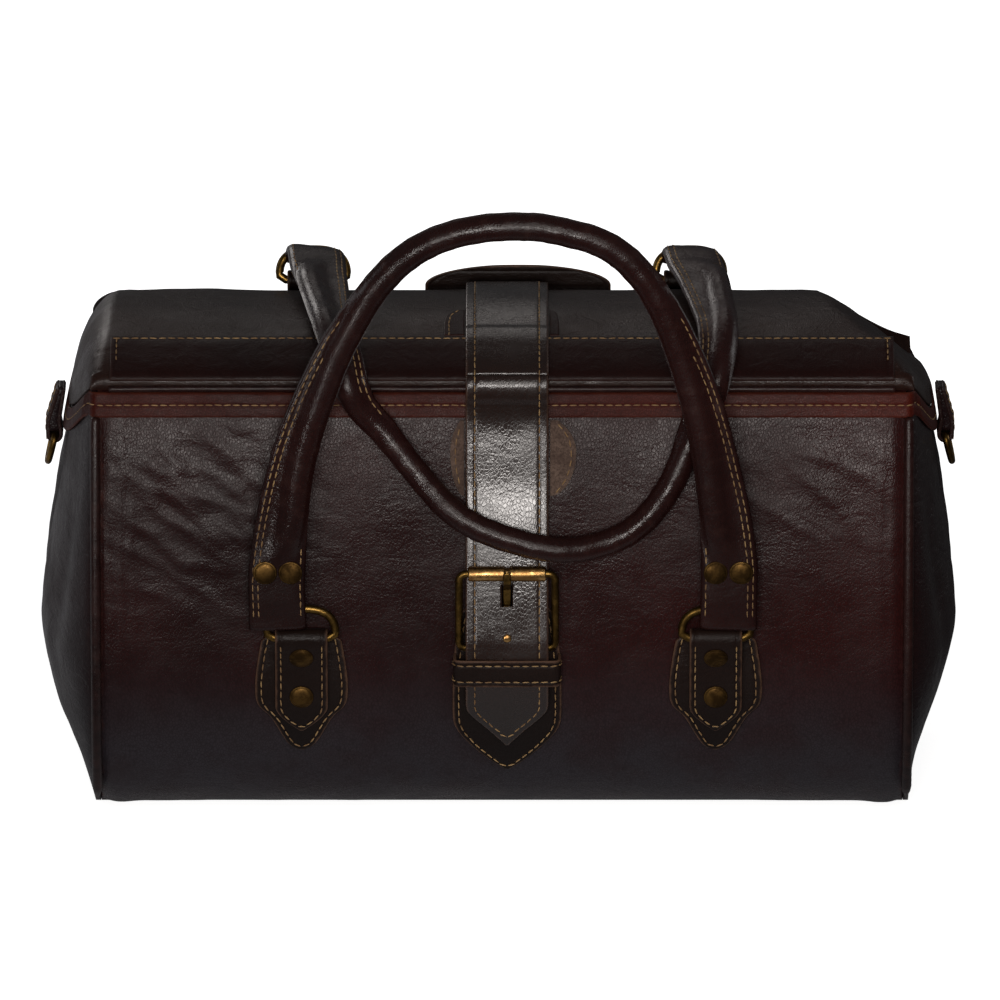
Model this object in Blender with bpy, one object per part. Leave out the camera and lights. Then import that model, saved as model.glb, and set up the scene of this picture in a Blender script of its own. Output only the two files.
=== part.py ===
"""Travel bag of the doctor's-bag kind: a wrapped leather body with bulging ends, a stiff framed lid that
turns on a leather roll along the back, a closing strap with a roller buckle, and two rolled handles on
D-rings.

Metres, +Z up. The front faces -Y and the length runs along X. The origin is the middle of the bottom.
"""

import math

import bmesh
import bpy
import numpy as np
from mathutils import Vector

# Body: one sheet wraps the front, the bottom and the back, and a bulging gusset closes each end
PANEL_LENGTH = 0.400
MOUTH_HEIGHT = 0.228
MOUTH_FRONT = 0.078
MOUTH_DIP = 0.026
BELLY_FRONT = 0.100
BELLY_BACK = 0.096
BELLY_HEIGHT = 0.090
FOOT_HALF_DEPTH = 0.042
LEATHER = 0.0025
GUSSET_BULGE_LEFT = 0.0285
GUSSET_BULGE_RIGHT = 0.0250
GUSSET_RIM_SHARE = 0.22
PIPING_RADIUS = 0.0026
GAP = 0.0003
RIM_GAP = 0.0007
LID_GAP = 0.0012
BASE_BOARD = 0.0025
BASE_BOARD_MARGIN = 0.006
LINING = 0.0008
LINING_DROP = 0.003

# The back corner at the right end has sunk: how far, and where the fall starts along each axis
CORNER_SINK = 0.016
CORNER_SINK_X = 0.148
CORNER_SINK_Y = 0.006
CORNER_SINK_Z = 0.120

# Mouth: the band sewn round it and the steel frame behind it
RIM_BAND_HEIGHT = 0.012
RIM_BAND = 0.0014
FRAME_THICKNESS = 0.003
FRAME_HEIGHT = 0.008
FRAME_DROP = 0.0015

# Lid and the leather roll that it turns on
HINGE_BACK = 0.056
HINGE_DROP = 0.004
HINGE_ROLL_RADIUS = 0.002
LID_CROWN = 0.021
LID_THICKNESS = 0.003
LID_SKIRT_PROUD = 0.0012
LID_BAND_HALF_LENGTH = 0.194
LID_BAND_DEPTH = 0.0395
LID_BAND = 0.0013
LID_PIPING_RADIUS = 0.0015
LID_LINING = 0.001
LID_LINING_HALF_LENGTH = 0.126
LID_FRAME_HALF_LENGTH = 0.172
LID_FRAME_DEPTH = 0.078
LID_FRAME_HEIGHT = 0.005
EAR_WIDTH_LEFT = 0.0100
EAR_WIDTH_RIGHT = 0.0045
EAR_LENGTH = 0.030
EAR_THICKNESS = 0.0013
REAR_TAB_MIDDLE = 0.008
REAR_TAB_WIDTH = 0.093
REAR_TAB_TOP = 0.0232
REAR_TAB_SHARE = 0.955
REAR_TAB_THICKNESS = 0.0022

# Closing strap, its stud, and the leather ears behind it under the mouth
STRAP_MIDDLE = 0.0025
STRAP_WIDTH = 0.041
STRAP_THICKNESS = 0.0026
STRAP_TIP_DROP = 0.0539
STRAP_POINT_LENGTH = 0.025
TONGUE_SLOT_WIDTH = 0.0062
TONGUE_SLOT_LENGTH = 0.016
STUD_RADIUS = 0.0021
STUD_RISE = 0.0061
GUARD_WIDTH_LEFT = 0.0070
GUARD_WIDTH_RIGHT = 0.0132
GUARD_LENGTH = 0.038

# Buckle on the front
BUCKLE_BAR_HEIGHT = 0.1024
BUCKLE_RISE = 0.039
BUCKLE_HALF_WIDTH = 0.0238
BUCKLE_CORNER = 0.0035
BUCKLE_WIRE_RADIUS = 0.0019
ROLLER_RADIUS = 0.0039
ROLLER_LENGTH = 0.0385
TONGUE_HALF_WIDTH = 0.0019
TONGUE_THICKNESS = 0.0013
BUCKLE_CHAPE_WIDTH = 0.036
BUCKLE_CHAPE = 0.0013
BUCKLE_CHAPE_DROP = 0.0162
PATCH_THICKNESS = 0.0025
BUCKLE_PATCH_WIDTH = 0.054
BUCKLE_PATCH_TOP_RISE = 0.0191
BUCKLE_PATCH_TIP_DROP = 0.0702
KEEPER_DROP = 0.0039
KEEPER_HEIGHT = 0.0135
KEEPER_WIDTH = 0.0535
KEEPER_THICKNESS = 0.0016

# Handles, their D-rings, chapes, patches and rivets
FRONT_RING_LEFT = -0.0995
FRONT_RING_RIGHT = 0.106
RING_BAR_HEIGHT = 0.108
RING_WIRE_RADIUS = 0.0021
RING_WIDTH = 0.038
RING_DEPTH = 0.0195
HANDLE_RADIUS = 0.0075
REAR_HANDLE_RADIUS = 0.0066
HANDLE_FORWARD = 0.0012
HANDLE_STRAP_HALF_WIDTH = 0.0142
HANDLE_STRAP_HALF_THICKNESS = 0.0040
HANDLE_HALF_SPAN = 0.1115
REAR_RING_LEFT_SHARE = -0.8475
REAR_RING_RIGHT_SHARE = 0.843
HANDLE_RISE = 0.2145
HANDLE_MIDDLE = 0.0005
HANDLE_LEAN = math.radians(0.8)
RIVET_RADIUS = 0.006
RIVET_DOME = 0.0018
RIVET_SHANK_RADIUS = 0.0018
RIVET_SHANK = 0.0015
HANDLE_RIVET_RISE = 0.036
HANDLE_RIVET_SPREAD = 0.0063
CHAPE_HALF_WIDTH = 0.013
CHAPE_LEATHER = 0.0025
CHAPE_TIP_DROP = 0.0505
CHAPE_RIVET_DROP = 0.0095
CHAPE_RIVET_PITCH = 0.022
CHAPE_RIVET_SEAT = 0.0066
FRONT_PATCH_WIDTH = 0.046
FRONT_PATCH_TOP_DROP = 0.0015
FRONT_PATCH_TIP_DROP = 0.0635
REAR_CHAPE_LENGTH = 0.020

# Tabs and rings at the ends of the mouth
SIDE_CHAPE_WIDTH = 0.013
SIDE_CHAPE_LENGTH = 0.028
SIDE_CHAPE_LEATHER = 0.0022
SIDE_RING_RADIUS = 0.0105
SIDE_RING_WIRE = 0.0017
SIDE_RING_DROP = 0.0495
SIDE_RING_TILT = math.radians(13)

# Heights that follow from those above
HINGE_HEIGHT = MOUTH_HEIGHT - HINGE_DROP
BUCKLE_ROLLER_HEIGHT = BUCKLE_BAR_HEIGHT + BUCKLE_RISE
BUCKLE_CHAPE_END_HEIGHT = BUCKLE_BAR_HEIGHT - BUCKLE_CHAPE_DROP
KEEPER_TOP = BUCKLE_BAR_HEIGHT - KEEPER_DROP
BUCKLE_PATCH_TOP = BUCKLE_BAR_HEIGHT + BUCKLE_PATCH_TOP_RISE
BUCKLE_PATCH_TIP = BUCKLE_BAR_HEIGHT - BUCKLE_PATCH_TIP_DROP
STRAP_TIP_HEIGHT = BUCKLE_BAR_HEIGHT - STRAP_TIP_DROP
STUD_HEIGHT = BUCKLE_BAR_HEIGHT + STUD_RISE
CHAPE_RIVET_TOP = RING_BAR_HEIGHT - CHAPE_RIVET_DROP
CHAPE_RIVET_BOTTOM = CHAPE_RIVET_TOP - CHAPE_RIVET_PITCH
CHAPE_TIP_HEIGHT = RING_BAR_HEIGHT - CHAPE_TIP_DROP
FRONT_PATCH_TOP = RING_BAR_HEIGHT - FRONT_PATCH_TOP_DROP
FRONT_PATCH_TIP = RING_BAR_HEIGHT - FRONT_PATCH_TIP_DROP
REAR_RING_LEFT = HANDLE_HALF_SPAN * REAR_RING_LEFT_SHARE
REAR_RING_RIGHT = HANDLE_HALF_SPAN * REAR_RING_RIGHT_SHARE
SIDE_RING_HEIGHT = MOUTH_HEIGHT - SIDE_RING_DROP

LEATHER_COLOUR = (0.035, 0.010, 0.010, 1)
BAND_COLOUR = (0.10, 0.025, 0.018, 1)
SUEDE_COLOUR = (0.045, 0.032, 0.018, 1)
LINING_COLOUR = (0.16, 0.11, 0.07, 1)
BOARD_COLOUR = (0.20, 0.15, 0.10, 1)
BRASS_COLOUR = (0.48, 0.31, 0.10, 1)
STEEL_COLOUR = (0.30, 0.30, 0.31, 1)


def clear_scene():
    for thing in list(bpy.data.objects):
        bpy.data.objects.remove(thing, do_unlink=True)


def finish(name, colour, roughness, metallic=0.0):
    material = bpy.data.materials.new(name)
    material.use_nodes = True
    shader = material.node_tree.nodes["Principled BSDF"]
    shader.inputs["Base Color"].default_value = colour
    shader.inputs["Roughness"].default_value = roughness
    shader.inputs["Metallic"].default_value = metallic
    material.diffuse_color = colour
    return material


def own_finish(name, kind):
    """Each piece has its own copy of the finish of its kind."""
    kinds = {
        "leather": (LEATHER_COLOUR, 0.32, 0.0),
        "band": (BAND_COLOUR, 0.38, 0.0),
        "suede": (SUEDE_COLOUR, 0.85, 0.0),
        "lining": (LINING_COLOUR, 0.9, 0.0),
        "board": (BOARD_COLOUR, 0.9, 0.0),
        "brass": (BRASS_COLOUR, 0.35, 1.0),
        "steel": (STEEL_COLOUR, 0.4, 1.0),
    }
    return finish(name + "_finish", *kinds[kind])


def pivot(name, point, carrier=None):
    """An empty on a joint's axis, which carries that joint's pieces."""
    empty = bpy.data.objects.new(name, None)
    empty.empty_display_size = RING_WIDTH
    bpy.context.scene.collection.objects.link(empty)
    empty.parent = carrier
    empty.location = Vector(point) - (centre_of(carrier) if carrier else Vector())
    empty["centre"] = list(point)
    return empty


def centre_of(empty):
    return Vector(empty["centre"]) if empty else Vector()


def face_out(shape):
    bmesh.ops.recalc_face_normals(shape, faces=shape.faces)
    if shape.calc_volume(signed=True) < 0:
        bmesh.ops.reverse_faces(shape, faces=shape.faces)


def eased(share):
    share = min(max(share, 0), 1)
    return share * share * (3 - 2 * share)


def sunk(point):
    """Where a point comes to lie once the back corner at the right end has sunk."""
    x, y, z = point
    fall = eased((x - CORNER_SINK_X) / (PANEL_LENGTH / 2 - CORNER_SINK_X))
    fall *= eased((y - CORNER_SINK_Y) / (HINGE_BACK - CORNER_SINK_Y))
    fall *= eased((z - CORNER_SINK_Z) / (HINGE_HEIGHT - CORNER_SINK_Z))
    return Vector((x, y, z - CORNER_SINK * fall))


def piece(name, points, faces, kind, carrier=None):
    """One named solid from world points, with its origin on the axis of what carries it."""
    centre = centre_of(carrier)
    mesh = bpy.data.meshes.new(name)
    mesh.from_pydata([sunk(p) - centre for p in points], [], faces)
    shape = bmesh.new()
    shape.from_mesh(mesh)
    face_out(shape)
    shape.to_mesh(mesh)
    shape.free()
    mesh.shade_smooth()
    mesh.set_sharp_from_angle(angle=math.radians(35))
    mesh.materials.append(own_finish(name, kind))
    thing = bpy.data.objects.new(name, mesh)
    bpy.context.scene.collection.objects.link(thing)
    thing.parent = carrier
    return thing


def cut(thing, name, points, faces, carrier=None):
    """Cuts the closed shape of these world points out of a piece."""
    cutter = piece("cut_" + name, points, faces, "board", carrier)
    cutter.hide_render = True
    cutter.display_type = "WIRE"
    boolean = thing.modifiers.new("cut_" + name, "BOOLEAN")
    boolean.operation = "DIFFERENCE"
    boolean.solver = "EXACT"
    boolean.object = cutter


def smooth_curve(points, steps):
    """Points on a smooth curve that passes through every given point."""
    p = np.array(points, float)
    ends = np.vstack([2 * p[0] - p[1], p, 2 * p[-1] - p[-2]])
    out = []
    for i in range(len(p) - 1):
        a, b, c, d = ends[i : i + 4]
        for t in np.arange(steps) / steps:
            bend, twist = 2 * a - 5 * b + 4 * c - d, 3 * b - a - 3 * c + d
            out.append(0.5 * (2 * b + (c - a) * t + bend * t**2 + twist * t**3))
    out.append(p[-1])
    return np.array(out)


class Outline:
    """A curve in the plane of Y and Z, read by the length along it. Lift is measured off its outer side."""

    def __init__(self, points, start=0.0, bridged=None, probe=None):
        self.points = np.array(points, float)
        steps = np.linalg.norm(np.diff(self.points, axis=0), axis=1)
        self.lengths = np.concatenate([[0], np.cumsum(steps)]) + start
        self.probe = probe or (self.lengths[-1] - self.lengths[0]) / (2 * len(self.points))
        if bridged:
            kept = (self.lengths < bridged[0]) | (self.lengths > bridged[1])
            self.points, self.lengths = self.points[kept], self.lengths[kept]

    def place(self, s):
        """The point at this length; past an end it runs straight on."""
        lengths = self.lengths
        if s <= lengths[0]:
            way = (self.points[1] - self.points[0]) / (lengths[1] - lengths[0])
            return self.points[0] + way * (s - lengths[0])
        if s >= lengths[-1]:
            way = (self.points[-1] - self.points[-2]) / (lengths[-1] - lengths[-2])
            return self.points[-1] + way * (s - lengths[-1])
        return np.array([np.interp(s, lengths, self.points[:, k]) for k in (0, 1)])

    def at(self, s, lift=0.0):
        along = self.place(s + self.probe) - self.place(s - self.probe)
        along /= np.linalg.norm(along)
        return self.place(s) + lift * np.array([along[1], -along[0]])

    def length_at_height(self, height):
        """Where the front of the curve passes this height, going down from its start."""
        above = height > BELLY_HEIGHT
        low = np.argmin(np.abs(self.points[:, 1] - BELLY_HEIGHT)) if above else len(self.points)
        z = self.points[:, 1]
        for i in range(len(z) - 1):
            if z[i] >= height >= z[i + 1] and (i <= low or not above):
                share = (z[i] - height) / max(z[i] - z[i + 1], RIM_GAP * GAP)
                return self.lengths[i] + share * (self.lengths[i + 1] - self.lengths[i])
        return self.lengths[-1]


def belly_arc(belly, top_y, top_z, steps):
    """A circle's arc, upright at the belly and leaning in to the top, as (y, z) from the top down."""
    inward, rise = belly - top_y, top_z - BELLY_HEIGHT
    radius = (inward**2 + rise**2) / (2 * inward)
    lean = math.asin(rise / radius)
    angles = np.linspace(lean, 0, steps)
    return [(belly - radius * (1 - math.cos(a)), BELLY_HEIGHT + radius * math.sin(a)) for a in angles]


def foot_arc(belly, steps):
    """A quarter of an ellipse from the belly down to the flat bottom."""
    angles = np.linspace(0, math.pi / 2, steps)
    reach = belly - FOOT_HALF_DEPTH
    return [(FOOT_HALF_DEPTH + reach * math.cos(a), BELLY_HEIGHT * (1 - math.sin(a))) for a in angles]


HINGE = (0.0, HINGE_BACK, HINGE_HEIGHT)
BACK_TOP = HINGE_HEIGHT - HINGE_ROLL_RADIUS - GAP
TOP_DEPTH = MOUTH_FRONT + HINGE_BACK


def body_points(fine):
    """The body's outer side from the mouth down the front, under the bottom and up the back."""
    front = belly_arc(BELLY_FRONT, MOUTH_FRONT, MOUTH_HEIGHT, fine) + foot_arc(BELLY_FRONT, fine)[1:]
    back = belly_arc(BELLY_BACK, HINGE_BACK, BACK_TOP, fine) + foot_arc(BELLY_BACK, fine)[1:]
    return [(-y, z) for y, z in front] + back[::-1]


# Shares of the lid's depth behind the mouth and of its crown above it, from the mouth back to the hinge
LID_SHARES = [
    (-0.022, 0.05), (-0.036, 0.20), (-0.018, 0.42), (0.08, 0.68), (0.20, 0.86),
    (0.50, 1.00), (0.76, 0.80), (0.93, 0.44), (0.995, 0.12), (1.0, -0.06),
]


def lid_points(steps):
    return smooth_curve(
        [(-MOUTH_FRONT + TOP_DEPTH * a, MOUTH_HEIGHT + LID_CROWN * b) for a, b in LID_SHARES], steps
    )


BODY = Outline(body_points(24))
_lid = lid_points(8)
LID_LENGTH = float(np.linalg.norm(np.diff(_lid, axis=0), axis=1).sum())
LID = Outline(_lid[::-1], -LID_LENGTH)
WHOLE = np.vstack([_lid[::-1], BODY.points[1:]])
OVERALL = Outline(WHOLE, -LID_LENGTH)
# What lies over the mouth's edge bridges it and bends more softly
DRAPE = Outline(WHOLE, -LID_LENGTH, (-LID_PIPING_RADIUS * 2, RIM_BAND_HEIGHT), LEATHER * 2)


def front(height, lift=0.0):
    """The point in Y and Z on the front panel at this height, lifted off it."""
    return BODY.at(BODY.length_at_height(height), lift)


def lid_at_depth(y):
    """The length along the lid where it passes this Y, on its upper side."""
    top = [i for i, p in enumerate(LID.points) if p[1] > MOUTH_HEIGHT + LID_CROWN * 0.3]
    best = min(top, key=lambda i: abs(LID.points[i][0] - y))
    return LID.lengths[best]


def mouth_height(y):
    """The mouth's edge dips along each end of the bag."""
    share = min(max((y + MOUTH_FRONT) / TOP_DEPTH, 0), 1)
    return MOUTH_HEIGHT + (BACK_TOP - MOUTH_HEIGHT) * share - MOUTH_DIP * math.sin(math.pi * share)


def body_side(height, back):
    """How far front or back the body reaches at this height."""
    arc = (BELLY_BACK, HINGE_BACK, BACK_TOP) if back else (BELLY_FRONT, MOUTH_FRONT, MOUTH_HEIGHT)
    points = belly_arc(*arc, 24) + foot_arc(arc[0], 24)[1:]
    reach = np.interp(-height, [-p[1] for p in points], [p[0] for p in points])
    return reach if back else -reach


# How tightly each end panel is drawn in towards its foot
GUSSET_FOOT_POWER = {-1: 1.15, 1: 2.0}


def gusset_reach(y, height, side):
    """How far the gusset stands out from the seam at this place."""
    low, high = body_side(height, False), body_side(height, True)
    across = min(max((y - low) / (high - low), 0), 1)
    up = height / MOUTH_HEIGHT
    peak = BELLY_HEIGHT / MOUTH_HEIGHT
    if up < peak:
        swell = math.sin(math.pi / 2 * max(up, 0) / peak) ** GUSSET_FOOT_POWER[side]
    else:
        swell = 1 - (1 - GUSSET_RIM_SHARE) * min((up - peak) / (1 - peak), 1) ** 1.3
    bulge = GUSSET_BULGE_LEFT if side < 0 else GUSSET_BULGE_RIGHT
    return bulge * swell * (4 * across * (1 - across)) ** 0.65


def shell(name, outer, inner, kind, carrier=None):
    """A closed body between two grids of points."""
    rows, columns = len(outer), len(outer[0])
    points = [p for row in outer for p in row] + [p for row in inner for p in row]
    far = rows * columns
    at = lambda i, j: i * columns + j
    faces = []
    for i in range(rows - 1):
        for j in range(columns - 1):
            a, b, c, d = at(i, j), at(i, j + 1), at(i + 1, j + 1), at(i + 1, j)
            faces.append((a, b, c, d))
            faces.append((far + d, far + c, far + b, far + a))
    rim = [at(0, j) for j in range(columns)] + [at(i, columns - 1) for i in range(1, rows)]
    rim += [at(rows - 1, j) for j in range(columns - 2, -1, -1)] + [at(i, 0) for i in range(rows - 2, 0, -1)]
    for a, b in zip(rim, rim[1:] + rim[:1]):
        faces.append((b, a, far + a, far + b))
    return piece(name, points, faces, kind, carrier)


def offset_grid(outer, depth):
    """The grid moved inwards by this depth along its own normals."""
    grid = np.array(outer, float)
    down = np.gradient(grid, axis=0)
    across = np.gradient(grid, axis=1)
    normal = np.cross(across, down)
    normal /= np.linalg.norm(normal, axis=2, keepdims=True)
    middle = grid.reshape(-1, 3).mean(axis=0)
    if ((grid - middle) * normal).sum() < 0:
        normal = -normal
    return grid - depth * normal


def ring_section(centre, wide, thick, half_width, half_thickness, sides, power=2.0):
    """One cross-section: a circle, or a flatter and squarer shape with a higher power."""
    out = []
    for k in range(sides):
        a = 2 * math.pi * (k + 0.5) / sides
        c, s = math.cos(a), math.sin(a)
        w = math.copysign(abs(c) ** (2 / power), c)
        t = math.copysign(abs(s) ** (2 / power), s)
        out.append(Vector(centre) + Vector(wide) * (half_width * w) + Vector(thick) * (half_thickness * t))
    return out


def swept(name, sections, kind, carrier=None, closed=False):
    """A closed body through a list of cross-sections."""
    sides = len(sections[0])
    points = [p for ring in sections for p in ring]
    faces = []
    count = len(sections)
    for i in range(count if closed else count - 1):
        for k in range(sides):
            a, b = i * sides + k, i * sides + (k + 1) % sides
            c, d = ((i + 1) % count) * sides + (k + 1) % sides, ((i + 1) % count) * sides + k
            faces.append((a, b, c, d))
    if not closed:
        faces.append(tuple(range(sides))[::-1])
        faces.append(tuple((count - 1) * sides + k for k in range(sides)))
    if name is None:
        return points, faces
    return piece(name, points, faces, kind, carrier)


def tube_sections(path, radius, sides, closed=False):
    """Round sections along a path, with the frame carried smoothly along it."""
    p = [Vector(q) for q in path]
    count = len(p)
    out = []
    side = None
    for i in range(count):
        if closed:
            along = (p[(i + 1) % count] - p[i - 1]).normalized()
        else:
            along = (p[min(i + 1, count - 1)] - p[max(i - 1, 0)]).normalized()
        if side is None:
            seed = Vector((0, 0, 1)) if abs(along.z) < 0.8 else Vector((0, 1, 0))
            side = along.cross(seed).normalized()
        side = (side - along * side.dot(along)).normalized()
        out.append(ring_section(p[i], side, along.cross(side), radius, radius, sides))
    return out


def flat_sections(path, across, half_widths, thickness):
    """Four-cornered sections of a strap that runs along a path in Y and Z and is wide along X."""
    p = [Vector(q) for q in path]
    out = []
    for i, centre in enumerate(p):
        along = (p[min(i + 1, len(p) - 1)] - p[max(i - 1, 0)]).normalized()
        up = along.cross(Vector(across)).normalized()
        w, t = Vector(across) * half_widths[i], up * (thickness / 2)
        out.append([centre - w - t, centre + w - t, centre + w + t, centre - w + t])
    return out


def sheet(name, outline, place, low, high, step, kind, carrier=None, extra=()):
    """A flat pattern piece in (across, along), laid on a curved surface.

    place(across, along, lift) gives the point; low and high give the lifts of its two sides, as numbers or as
    functions of the length along. It bends at every step, and at the extra places too."""
    shape = bmesh.new()
    shape.faces.new([shape.verts.new((a, b, 0)) for a, b in outline])
    lengths = [b for _, b in outline]
    count = max(int((max(lengths) - min(lengths)) / step), 1)
    even = [min(lengths) + (max(lengths) - min(lengths)) * k / count for k in range(1, count)]
    for level in [*even, *extra]:
        everything = shape.faces[:] + shape.edges[:] + shape.verts[:]
        plane = {"plane_co": (0, level, 0), "plane_no": (0, 1, 0)}
        bmesh.ops.bisect_plane(shape, geom=everything, dist=GAP * GAP, **plane)
    bottom = shape.faces[:]
    grown = bmesh.ops.extrude_face_region(shape, geom=bottom)["geom"]
    tops = {v for v in grown if isinstance(v, bmesh.types.BMVert)}
    lift_of = lambda value, along: value(along) if callable(value) else value
    points = []
    shape.verts.index_update()
    for v in shape.verts:
        value = high if v in tops else low
        points.append(place(v.co.x, v.co.y, lift_of(value, v.co.y)))
    faces = [tuple(v.index for v in f.verts) for f in shape.faces]
    shape.free()
    return piece(name, points, faces, kind, carrier)


def on_body(across, along, lift):
    y, z = BODY.at(along, lift)
    return (across, y, z)


def on_bag(across, along, lift):
    y, z = OVERALL.at(along, lift)
    return (across, y, z)


def draped(across, along, lift):
    y, z = DRAPE.at(along, lift)
    return (across, y, z)


def rivet(name, head, outward, shank, carrier=None, radius=RIVET_RADIUS, dome=RIVET_DOME):
    """A domed rivet whose head sits at a point and whose shank goes into what it holds."""
    out = Vector(outward).normalized()
    side = out.orthogonal().normalized()
    other = out.cross(side)
    shares = [(0.30, 0.0), (1.0, 0.0), (0.97, 0.35), (0.72, 0.80), (0.36, 0.97)]
    profile = [(RIVET_SHANK_RADIUS * radius / RIVET_RADIUS, -shank)]
    profile += [(radius * a, dome * b) for a, b in shares]
    profile[1] = (profile[0][0], 0.0)
    segments = 14
    points = []
    for r, h in profile:
        for k in range(segments):
            a = 2 * math.pi * k / segments
            points.append(Vector(head) + out * h + side * (r * math.cos(a)) + other * (r * math.sin(a)))
    points.append(Vector(head) - out * shank)
    points.append(Vector(head) + out * dome)
    faces = []
    for i in range(len(profile) - 1):
        for k in range(segments):
            n = (k + 1) % segments
            faces.append((i * segments + k, i * segments + n, (i + 1) * segments + n, (i + 1) * segments + k))
    last = (len(profile) - 1) * segments
    for k in range(segments):
        n = (k + 1) % segments
        faces.append((len(points) - 2, n, k))
        faces.append((len(points) - 1, last + k, last + n))
    return piece(name, points, faces, "brass", carrier)


def drill(thing, name, start, outward, depth, carrier=None, radius=RIVET_SHANK_RADIUS):
    """A round hole from a surface point inwards, with the running gap round a shank."""
    out = Vector(outward).normalized()
    side = out.orthogonal().normalized()
    wide = radius + GAP
    path = [Vector(start) + out * RIVET_DOME, Vector(start) - out * depth]
    sections = [ring_section(p, side, out.cross(side), wide, wide, 10) for p in path]
    cut(thing, name, *swept(None, sections, None), carrier)


def panel_columns(half_length):
    """Stations along the body's length, close together where the corner has sunk."""
    return [-half_length, *np.linspace(CORNER_SINK_X, half_length, 6)]


def grid_between(lengths, half_length, lift, outline):
    return [[(x, *outline.at(s, lift)) for x in panel_columns(half_length)] for s in lengths]


def body_lengths():
    """Stations along the body, closer together where it bends."""
    return [BODY.lengths[i] for i in range(0, len(BODY.points), 2)] + (
        [] if len(BODY.points) % 2 else [BODY.lengths[-1]]
    )


def make_wrap():
    lengths = body_lengths()
    half = PANEL_LENGTH / 2
    outer, inner = grid_between(lengths, half, 0, BODY), grid_between(lengths, half, -LEATHER, BODY)
    shell("wrap_panel", outer, inner, "leather")


GUSSET_ROW_SHARES = (0, 0.015, 0.05, 0.11, 0.19, 0.28, 0.40, 0.52, 0.66, 0.80, 0.91, 1)
GUSSET_COLUMN_SHARES = (0, 0.03, 0.10, 0.20, 0.32, 0.44, 0.56, 0.68, 0.80, 0.90, 0.97, 1)


def make_gusset(name, side):
    """An end panel that swells out between its seam and the mouth."""
    start = PANEL_LENGTH / 2 + GAP
    rows_out, rows_in = [], []
    for v in GUSSET_ROW_SHARES:
        front_y, back_y = body_side(v * MOUTH_HEIGHT, False), body_side(v * BACK_TOP, True)
        out, back = [], []
        for u in GUSSET_COLUMN_SHARES:
            y = front_y + (back_y - front_y) * u
            z = v * mouth_height(-MOUTH_FRONT + TOP_DEPTH * u)
            reach = start + gusset_reach(y, z, side)
            out.append((side * (reach + LEATHER), y, z))
            back.append((side * reach, y, z))
        rows_out.append(out)
        rows_in.append(back)
    shell(name, rows_out, rows_in, "leather")


def make_piping(name, side, back):
    """Corded piping over the seam between wrap and gusset. It ends where the seam turns under the bag."""
    x = side * (PANEL_LENGTH / 2 + (LEATHER + GAP) / 2)
    lift = PIPING_RADIUS + GAP
    clear = [s for s in body_lengths() if BODY.at(s, lift)[1] > PIPING_RADIUS]
    if back:
        chosen = [s for s in clear if BODY.at(s)[0] > 0]
        last = BODY.lengths[-1] - RIM_GAP
        stations = [s for s in chosen if s < last - PIPING_RADIUS] + [last]
    else:
        first = RIM_BAND_HEIGHT + RIM_GAP * 3
        stations = [first] + [s for s in clear if BODY.at(s)[0] < 0 and s > first + PIPING_RADIUS]
    path = [(x, *BODY.at(s, lift)) for s in stations]
    swept(name, tube_sections(path, PIPING_RADIUS, 8), "leather")


def make_base_board():
    z = LEATHER + GAP * 2
    half_x = PANEL_LENGTH / 2 - BASE_BOARD_MARGIN
    half_y = FOOT_HALF_DEPTH - BASE_BOARD_MARGIN
    outer = [[(x, y, z) for x in (-half_x, half_x)] for y in (-half_y, half_y)]
    inner = [[(x, y, z + BASE_BOARD) for x in (-half_x, half_x)] for y in (-half_y, half_y)]
    shell("base_board", outer, inner, "board")


def lining_profile(lift):
    """The inner tub's outline in Y and Z from the front of the mouth to the back, over the base board."""
    floor = LEATHER + GAP * 3 + BASE_BOARD
    points = [BODY.at(s, -lift) for s in body_lengths()]
    return [(y, max(z, floor + lift - LEATHER - GAP)) for y, z in points]


def make_lining():
    """A thin tub inside the leather, open at the mouth."""
    outer = lining_profile(LEATHER + GAP)
    half = PANEL_LENGTH / 2 - GAP
    low_front = front(mouth_height(outer[0][0]) - LINING_DROP, -LEATHER - GAP)[0] + GAP * 2
    low_back = BODY.at(BODY.lengths[-1] - LINING_DROP, -LEATHER - GAP)[0] - GAP
    edge = [
        (y, mouth_height(y) - LINING_DROP - GAP) for y in np.linspace(low_front, low_back, 12)
    ]
    profile = [edge[0]] + [p for p in outer if p[1] < edge[0][1] - RIM_GAP or p[0] > 0][0:]
    profile = [p for p in profile if p[0] <= 0 or p[1] < edge[-1][1] - RIM_GAP] + [edge[-1]]
    shape = bmesh.new()
    ribs = [[shape.verts.new(sunk((x, y, z))) for y, z in profile] for x in panel_columns(half)]
    for rib, other in zip(ribs, ribs[1:]):
        for a in range(len(profile) - 1):
            shape.faces.new((rib[a], rib[a + 1], other[a + 1], other[a]))
    for rib, x in ((ribs[0], -half), (ribs[-1], half)):
        top = [shape.verts.new(sunk((x, y, z))) for y, z in edge[1:-1]]
        shape.faces.new(rib + top[::-1])
    bmesh.ops.recalc_face_normals(shape, faces=shape.faces)
    mesh = bpy.data.meshes.new("lining")
    shape.to_mesh(mesh)
    shape.free()
    if mesh.polygons[0].normal.y > 0:
        mesh.flip_normals()
    mesh.materials.append(own_finish("lining", "lining"))
    thing = bpy.data.objects.new("lining", mesh)
    bpy.context.scene.collection.objects.link(thing)
    wall = thing.modifiers.new("wall", "SOLIDIFY")
    wall.thickness = LINING
    wall.offset = -1
    wall.use_even_offset = True


def mouth_route(out, stop_back):
    """The mouth's edge from the left end round the front to the right end, as (side, y, z, corner or not)."""
    corner_y = -MOUTH_FRONT
    ys = np.linspace(stop_back, corner_y + out * 2 + PIPING_RADIUS, 8)
    left = [(-1, y, mouth_height(y), False) for y in ys] + [(-1, corner_y - out, MOUTH_HEIGHT, True)]
    return left + [(1, y, z, corner) for _, y, z, corner in left[::-1]]


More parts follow.
